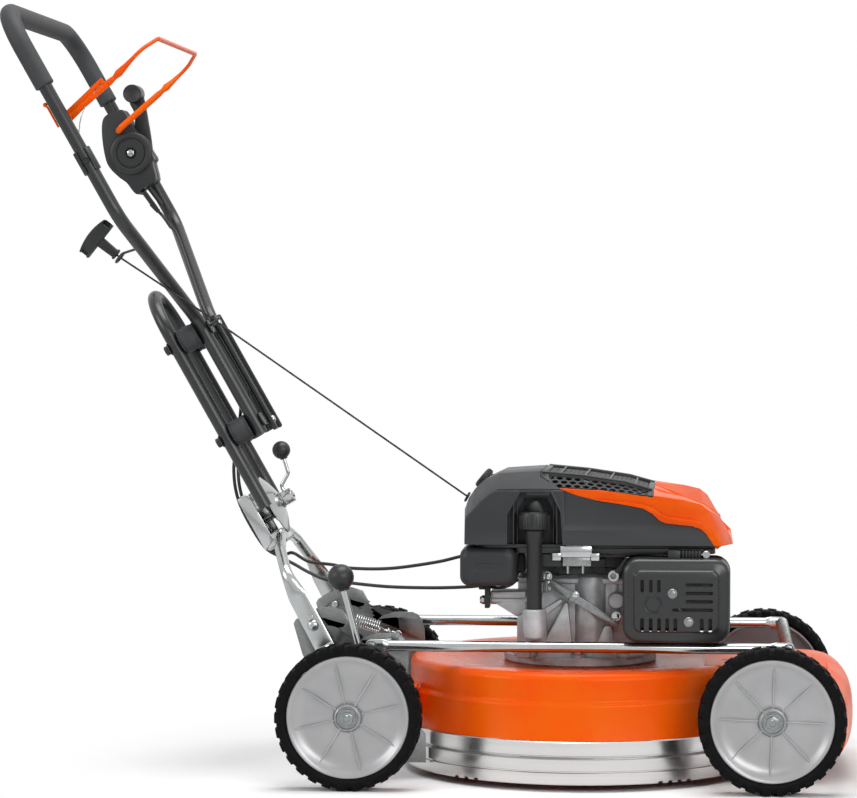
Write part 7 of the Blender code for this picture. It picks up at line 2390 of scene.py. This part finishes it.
@dataclass
class Controls:
    """The control housing on the left leg and the speed lever with its knob."""

    hub: tuple = (-0.3854, 0.9195)
    near_y: float = 0.2005
    far_y: float = 0.2517
    disc_radius: float = 0.0335
    outline: tuple = (
        (-0.4056, 0.986), (-0.3973, 0.9844), (-0.3783, 0.9533), (-0.3512, 0.9145), (-0.3528, 0.9052), (-0.3472, 0.8803),
        (-0.3534, 0.8726), (-0.3674, 0.8648), (-0.3752, 0.8555), (-0.3829, 0.8601), (-0.3929, 0.8733),
        (-0.4047, 0.8819), (-0.4202, 0.8974), (-0.427, 0.9145), (-0.4315, 0.944), (-0.4311, 0.9688), (-0.423, 0.98),
    )

    def build(self) -> None:
        """Builds the housing, its bolt and the lever."""
        self.housing().fit("fine_housing", "handle", Slot.BLACK_PLASTIC, "control_housing", smooth=34)
        x, z = self.hub
        bolt = nut((x, self.near_y - 0.004, z), (x, self.near_y - 0.0088, z), 0.0058, 20.0)
        bolt.fit("fine_hub_bolt", "handle", Slot.BRIGHT_STEEL)
        self.lever().fit("fine_speed_lever", "speed", Slot.BLACK_PLASTIC, "speed_lever", smooth=34)

    def housing(self) -> Shape:
        """Makes the housing's two shells with their seam, the round cover and the cable guides.

        Returns:
            The housing.
        """
        outline = smoothed(self.outline, 3, closed=True)
        shape = prism(outline, self.near_y, 0.2212, soft=0.0028, segments=3)
        shape.add(
            prism(inset(outline, 0.0014), 0.2208, 0.2302), prism(outline, 0.2298, self.far_y, soft=0.0028, segments=3)
        )
        x, z = self.hub
        radius, face = self.disc_radius, self.near_y
        profile = [
            (0.0, 0.0036), (0.0066, 0.0036), (0.0072, 0.0042), (0.0088, 0.0062), (0.0096, 0.0068), (0.021, 0.0068),
            (0.0216, 0.0062), (0.0222, 0.0052), (0.0232, 0.0052), (0.024, 0.0064), (0.025, 0.0068), (0.03, 0.0066),
            (0.0322, 0.0056), (radius, 0.0036), (radius, -0.001), (0.0, -0.001),
        ]
        shape.add(turned(profile, (x, face, z), (0, -1, 0), 96))
        for start, end, size in (
            ((-0.37, 0.215, 0.862), (-0.352, 0.235, 0.833), 0.004),
            ((-0.364, 0.23, 0.868), (-0.344, 0.24, 0.84), 0.0034),
        ):
            shape.add(rod(start, end, size, 24, 0.0008))
        shape.add(
            prism(
                [(-0.3945, 0.974), (-0.393, 0.9752), (-0.3765, 0.948), (-0.378, 0.9468)], self.near_y - 0.0006,
                self.near_y + 0.001, soft=0.0003,
            )
        )
        return shape

    def lever(self) -> Shape:
        """Makes the curved speed lever with its round knob.

        Returns:
            The lever.
        """
        edge = [
            (-0.405, 0.92), (-0.4, 0.905), (-0.386, 0.899), (-0.368, 0.902), (-0.357, 0.916), (-0.356, 0.93),
            (-0.362, 0.97), (-0.371, 1.012), (-0.385, 1.02), (-0.392, 1.0), (-0.384, 0.98), (-0.386, 0.942),
            (-0.4, 0.935),
        ]
        shape = prism(smoothed(edge, 4, closed=True), 0.2225, 0.2285, soft=0.0016)
        knob = [
            (0.0, 0.0005), (0.0112, 0.0005), (0.012, 0.0), (0.0134, 0.0), (0.0142, 0.001), (0.0144, 0.004),
            (0.0144, 0.036), (0.0136, 0.0392), (0.01, 0.04), (0.0, 0.04),
        ]
        shape.add(turned(knob, (-0.385, 0.205, 1.0123), (0, 1, 0), 64))
        return shape


@dataclass
class Starter:
    """The starter's T-grip: a box-section bar with open ends on a ribbed stem."""

    clear: float = 0.0062
    bar_in: float = 0.0295
    bar_out: float = 0.0445
    crown: float = 0.0052
    half_span: float = 0.0295
    half_depth: float = 0.0078

    def build(self) -> None:
        """Builds the grip in its own plane and stands it on the rope's end."""
        bow = [(self.bar_out + self.crown * (1 - (k / 6) ** 2), self.half_span * k / 6) for k in range(-6, 7)]
        bar = prism(
            [(self.bar_in, -self.half_span), *bow, (self.bar_in, self.half_span)], -self.half_depth, self.half_depth
        )
        hollow = Shape()
        for side in Side:
            low = (self.bar_in + 0.0026, -self.half_depth - 0.002, side * 0.023)
            hollow.add(block(low, (self.bar_out - 0.0022, self.half_depth - 0.0022, side * 0.04)))
        bar.carved(hollow).soften(0.0016, 3, 40)
        stem = prism(
            [(-0.0004, -0.006), (0.031, -0.0074), (0.031, 0.0074), (-0.0004, 0.006)], -0.0062, 0.0062, soft=0.0012
        )
        for low in (-0.0046, 0.0022):
            stem.add(block((0.003, -0.0072, low), (0.029, -0.0058, low + 0.0024), 0.0005))
        collar = rod((-0.0006, 0, 0), (0.003, 0, 0), 0.0086, 32, 0.001)
        turn = Matrix((ROPE_WAY, LEFT, Vector((0.621, 0.0, 0.784)))).transposed().to_4x4()
        place = Matrix.Translation(ROPE_HOOK + ROPE_WAY * self.clear) @ turn
        shape = bar.add(stem, collar).moved(place)
        shape.fit("fine_starter_grip", "pull_grip", Slot.BLACK_PLASTIC, "starter_grip")


@dataclass
class HeightGear:
    """Cutting height adjustment: two cranked shafts, side tubes, hand lever and assist spring."""

    axle_z: float = 0.105
    pin_forward: float = 0.0246
    pin_z: float = 0.197
    link_y: float = 0.1753
    tube_radius: float = 0.008
    spring_y: float = -0.105
    spring_rear: tuple = (-0.024, 0.232)
    spring_front: tuple = (0.058, 0.206)

    def build(self) -> None:
        """Builds both shafts, the side tubes, the lever with its ball, and the spring."""
        for end, axle_x in (("rear", 0.0), ("front", WHEELBASE)):
            self.carrier(end, axle_x).fit(
                f"fine_{end}_shaft", f"{end}_carrier", Slot.ZINC_PLATED_STEEL, f"{end}_axle_carrier"
            )
        for side in Side:
            self.side_tube(side).fit(
                f"fine_side_tube_{side.hand}", f"link_{side.hand}", Slot.ZINC_PLATED_STEEL, f"link_tube_{side.hand}",
                finish=Slot.BRIGHT_STEEL, smooth=24,
            )
        path = rounded(
            [(0.03, -0.1728, 0.15), (0.03, -0.19, 0.15), (0.01, -0.19, 0.19), (-0.015, -0.19, 0.285)], 0.01, 10
        )
        lever = swept(path, 0.0047, 28)
        lever.add(prism(capsule((SHAFT_AHEAD, SHAFT_Z), (0.03, 0.15), 0.011, 0.008), -0.178, -0.1726, soft=0.0008))
        lever.fit("fine_height_lever", "rear_carrier", Slot.BRIGHT_STEEL, "height_lever")
        top, way = Vector((-0.0176, -0.19, 0.297)), Vector((-0.025, 0, 0.095)).normalized()
        knob = ball(top, 0.019).add(rod(top - way * 0.0198, top, 0.0082, 32, 0.0008))
        knob.fit("fine_height_ball", "rear_carrier", Slot.BLACK_PLASTIC, "height_lever_knob")
        self.spring()

    def carrier(self, end: str, axle_x: float) -> Shape:
        """Makes one cranked shaft with its arms, stub axles and link pins.

        Args:
            end: rear or front.
            axle_x: the wheels' place at this end.

        Returns:
            The shaft.
        """
        shaft, axle = (axle_x + SHAFT_AHEAD, SHAFT_Z), (axle_x, self.axle_z)
        pin = (axle_x + self.pin_forward, self.pin_z)
        shape = rod((shaft[0], -0.1685, shaft[1]), (shaft[0], 0.1685, shaft[1]), 0.01, 40, 0.001)
        for side in Side:
            shape.add(
                prism(capsule(shaft, axle, 0.016), side * 0.1665, side * 0.1725, soft=0.001),
                prism(capsule(shaft, pin, 0.012, 0.009), side * 0.167, side * 0.172, soft=0.001),
            )
            for (x, z), inner, outer, radius, steps, soft in (
                (axle, 0.1675, 0.2775, 0.008, 32, 0.0008), (axle, 0.172, 0.234, 0.0105, 32, 0.001),
                (pin, 0.17, 0.1816, 0.004, 20, 0.0003), (pin, 0.178, 0.179, 0.0078, 32, 0.0003),
                (shaft, 0.172, 0.1745, 0.011, 32, 0.0006),
            ):
                shape.add(rod((x, side * inner, z), (x, side * outer, z), radius, steps, soft))
            shape.add(nut((pin[0], side * 0.1786, pin[1]), (pin[0], side * 0.1821, pin[1]), 0.0066, 25.0))
        if end == "rear":
            arm = [
                (shaft[0] + 0.008, shaft[1]), (shaft[0] - 0.004, shaft[1] + 0.006), (0.01, 0.15), (-0.03, 0.2305),
                (-0.0295, 0.2365), (-0.024, 0.2385), (-0.0185, 0.2345), (0.025, 0.15),
            ]
            shape.add(
                prism(arm, -0.1095, -0.1065, soft=0.0008),
                rod((-0.024, -0.108, 0.232), (-0.024, -0.0985, 0.232), 0.003, 20, 0.0004),
            )
        return shape

    def side_tube(self, side: Side) -> Shape:
        """Makes one side tube, whose ends are pressed flat round their bolts.

        Args:
            side: the side that it runs along.

        Returns:
            The tube.
        """
        first, last = self.pin_forward, self.pin_forward + WHEELBASE
        y, z, full = side * self.link_y, self.pin_z, self.tube_radius
        flat = (0.0092, 0.0022)
        near = [
            (first - 0.008, (0.003, 0.0018)), (first - 0.006, (0.0062, 0.0022)), (first - 0.003, (0.0084, 0.0022)),
            (first, flat), (first + 0.016, flat), (first + 0.0185, (0.0092, 0.003)), (first + 0.024, (0.0083, 0.0072)),
            (first + 0.026, (full, full)),
        ]
        far = [(first + last - x, size) for x, size in reversed(near)]
        steps = [*near, *far]
        return swept([(x, y, z) for x, _ in steps], [size for _, size in steps], 32, UP)

    def spring(self) -> None:
        """Makes the assist spring with its hooks and its threaded eye."""
        rear = Vector((self.spring_rear[0], self.spring_y, self.spring_rear[1]))
        front = Vector((self.spring_front[0], self.spring_y, self.spring_front[1]))
        way = (front - rear).normalized()
        place = frame_on(rear, way, LEFT)
        coil, wire, start, pitch, turns = 0.009, 0.0011, 0.02, 0.0034, 11
        points = [
            Vector((0.0043 * math.sin(t), 0, 0.0043 * math.cos(t)))
            for t in [math.radians(-150 + 15 * k) for k in range(20)]
        ]
        points += [Vector((0.002, 0.0, 0.01)), Vector((0.006, 0.0, 0.016))]
        for k in range(turns * 20 + 1):
            t = math.tau * k / 20
            points.append(Vector((coil * math.cos(t), coil * math.sin(t), start + pitch * k / 20)))
        end = start + pitch * turns
        points += [Vector((0.006, 0.0, end + 0.0035)), Vector((0.001, 0.0, end + 0.006))]
        points += [
            Vector((0.0046 * math.sin(t), 0.0, end + 0.011 - 0.0046 * math.cos(t)))
            for t in [math.radians(20 + 16 * k) for k in range(19)]
        ]
        shape = swept([place @ p for p in points], wire, 10)
        ring = turned(
            arc((0.004, 0.0), 0.0013, 0, 330, 11), place @ Vector((0, 0, end + 0.015)), Vector((1, 0, 0.4)), 24,
            closed=True,
        )
        length = (front - rear).length
        bolt = rod(place @ Vector((0, 0, end + 0.0185)), place @ Vector((0, 0, length - 0.0046)), 0.0021, 20, 0.0003)
        for k in range(7):
            z = end + 0.02 + 0.0014 * k
            bolt.add(
                turned(
                    [(0.0019, 0.0), (0.0026, 0.0005), (0.0019, 0.001)], place @ Vector((0, 0, z)), way, 20, closed=True
                )
            )
        shape.add(ring, bolt, turned(arc((0.0043, 0.0), 0.0011, 0, 330, 11), front, LEFT, 24, closed=True))
        ends = front - way * 0.012, rear + way * 0.012
        shape.hold("fine_spring", ("chassis", "rear_carrier"), ends, Slot.BRIGHT_STEEL, "height_spring")


@dataclass
class Cables:
    """The two control cables, the starter rope and the bail's wire, each split where a joint passes."""

    cable_radius: float = 0.0025
    rope_strand: float = 0.0008
    rope_pitch: float = 0.01
    neck: tuple = (
        (0.205, 0.0485, 0.0), (0.1, 0.0485, 0.0), (0.06, 0.045, -0.004), (0.01, 0.03, -0.04), (-0.03, 0.024, -0.07),
        (-0.078, 0.022, -0.0866), (-0.146, 0.02, -0.0866), (-0.174, 0.016, -0.074),
    )

    def build(self) -> None:
        """Builds the cables, the rope and the wire."""
        stop_top = [(0.49, -0.2455, 0.004), (0.4, -0.2455, 0.0), (0.376, -0.2405, 0.0), (0.35, -0.216, 0.0)]
        stop_neck = [(a, -y, out) for a, y, out in self.neck]
        stop_end = [
            (-0.1052, -0.02, 0.3), (-0.0818, -0.03, 0.2886), (-0.0543, -0.04, 0.2789), (-0.013, -0.052, 0.275),
            (0.0434, -0.072, 0.2722), (0.11, -0.095, 0.2735), (0.16, -0.108, 0.2765), (0.188, -0.112, 0.28),
        ]
        self.cable("stop_cable", [*stop_top, *stop_neck], stop_end)
        throttle_top = [(0.3906, 0.235, -0.0129), (0.376, 0.242, -0.01), (0.356, 0.226, -0.006), (0.33, 0.196, 0.0)]
        throttle_end = [
            (-0.111, 0.012, 0.314), (-0.0863, 0.008, 0.3014), (-0.0508, 0.0, 0.2978), (-0.0195, -0.015, 0.294),
            (0.0408, -0.04, 0.2965), (0.11, -0.06, 0.308), (0.15, -0.066, 0.318), (0.203, -0.07, 0.329),
        ]
        self.cable("throttle_cable", [*throttle_top, *self.neck], throttle_end)
        self.rope()
        self.wire()

    def cable(self, name: str, upper: list, lower: list) -> None:
        """Makes one cable in two lengths that meet behind the fork's head.

        Args:
            name: its node's name.
            upper: its places on the handle, from the top.
            lower: the points from there to the engine.
        """
        points = [on_handle(*p) for p in upper] + [Vector(p) for p in lower]
        path = smoothed(points, 7)
        cut = (len(upper) - 1) * 7
        top = swept(path[:cut + 1], self.cable_radius, 16)
        top.add(swept([path[0] + (path[0] - path[2]).normalized() * 0.012, path[0], path[2]], 0.0036, 16))
        ends = on_handle(-0.15, 0, -0.08), on_handle(-0.06, 0, -0.08)
        top.hold(f"fine_{name}_upper", ("fork_body", "handle"), ends, Slot.BLACK_PLASTIC, name)
        foot = swept(path[cut:], self.cable_radius, 16)
        foot.hold(f"fine_{name}_lower", ("chassis", "fork_body"), (path[-8], path[cut]), Slot.BLACK_PLASTIC, name)

    def strands(self, points: list) -> Shape:
        """Lays three twisted strands along a line.

        Args:
            points: the line's corners.

        Returns:
            The rope.
        """
        path = [Vector(points[0])]
        for a, b in zip(points, points[1:]):
            a, b = Vector(a), Vector(b)
            steps = max(int((b - a).length / 0.0014), 2)
            path += [a.lerp(b, k / steps) for k in range(1, steps + 1)]
        shape = Shape()
        for strand in range(3):
            line, run = [], 0.0
            for k, point in enumerate(path):
                if k:
                    run += (point - path[k - 1]).length
                way = (path[min(k + 1, len(path) - 1)] - path[max(k - 1, 0)]).normalized()
                place = frame_on(point, way, LEFT)
                angle = math.tau * (strand / 3 + run / self.rope_pitch)
                line.append(place @ Vector((self.rope_strand * math.cos(angle), self.rope_strand * math.sin(angle), 0)))
            shape.add(swept(line, self.rope_strand * 1.02, 7))
        return shape

    def rope(self) -> None:
        """Makes the starter rope: grip to hook, hook to neck guide, and guide to the engine cover."""
        hook, guide, along = ROPE_HOOK, on_handle(0.175, -0.088, 0.0255), ROPE_WAY
        cover = Vector((0.156, -0.07, 0.407))
        middle = guide.lerp(cover, 0.3)
        foot = hook + along * 0.0062
        for name, points, bodies, ends in (
            ("grip", [hook, foot + along * 0.001], ("handle", "pull_grip"), (hook + along * 0.001, foot)),
            ("upper", [middle, guide, hook], ("fork_body", "handle"), (middle, guide)),
            ("lower", [cover, middle], ("chassis", "fork_body"), (cover, middle)),
        ):
            self.strands(points).hold(f"fine_rope_{name}", bodies, ends, Slot.BLACK_PLASTIC, "starter_rope")

    def wire(self) -> None:
        """Makes the bail's bright wire and the orange catch behind the right tube."""
        points = smoothed(
            [(-0.3632, -0.2435, 0.9938), (-0.3745, -0.245, 0.976), (-0.383, -0.2458, 0.956), (-0.3862, -0.246, 0.933)],
            8,
        )
        ends = points[-1], points[0]
        swept(points, 0.0008, 10).hold("fine_bail_wire", ("handle", "bail"), ends, Slot.BRIGHT_STEEL)
        catch = swept(
            smoothed(
                [(-0.4322, -0.258, 0.9735), (-0.428, -0.259, 0.969), (-0.4205, -0.26, 0.956), (-0.4125, -0.261, 0.942)],
                5,
            ), 0.0016, 12,
        )
        catch.add(ball((-0.4322, -0.258, 0.9735), 0.0033))
        catch.fit("fine_bail_catch", "handle", Slot.ORANGE_ENAMEL)


def dress_nodes(frame: dict) -> None:
    """Gives every CAD node the finish of its material slot.
    """
    for part in frame["record"]["subparts"]:
        node = frame["nodes"][part["node"]]
        finish = Slot[part["material_slot"].upper()].value
        node.data.materials.clear()
        node.data.materials.append(finish.material())


def build_pieces() -> None:
    """Builds every fine piece of the mower."""
    Deck().build()
    for end, axle_x, turn in (("rear", 0.0, 76.5), ("front", WHEELBASE, 2.0)):
        for side in Side:
            Wheel(end, side, axle_x, ridge_turn=turn).build()
    for assembly in (
        TopCover, Crankcase, AirBox, OilFiller, Exhaust, Fork, Clamp, Handle, StopBail, Controls, Starter, HeightGear,
        Cables,
    ):
        assembly().build()


def main() -> None:
    """Loads the frame, dresses it and builds the fine pieces."""
    logging.basicConfig(level=logging.INFO, format="%(name)s: %(message)s")
    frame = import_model()
    Studio().build()
    dress_nodes(frame)
    build_pieces()


if __name__ == "__main__":
    main()
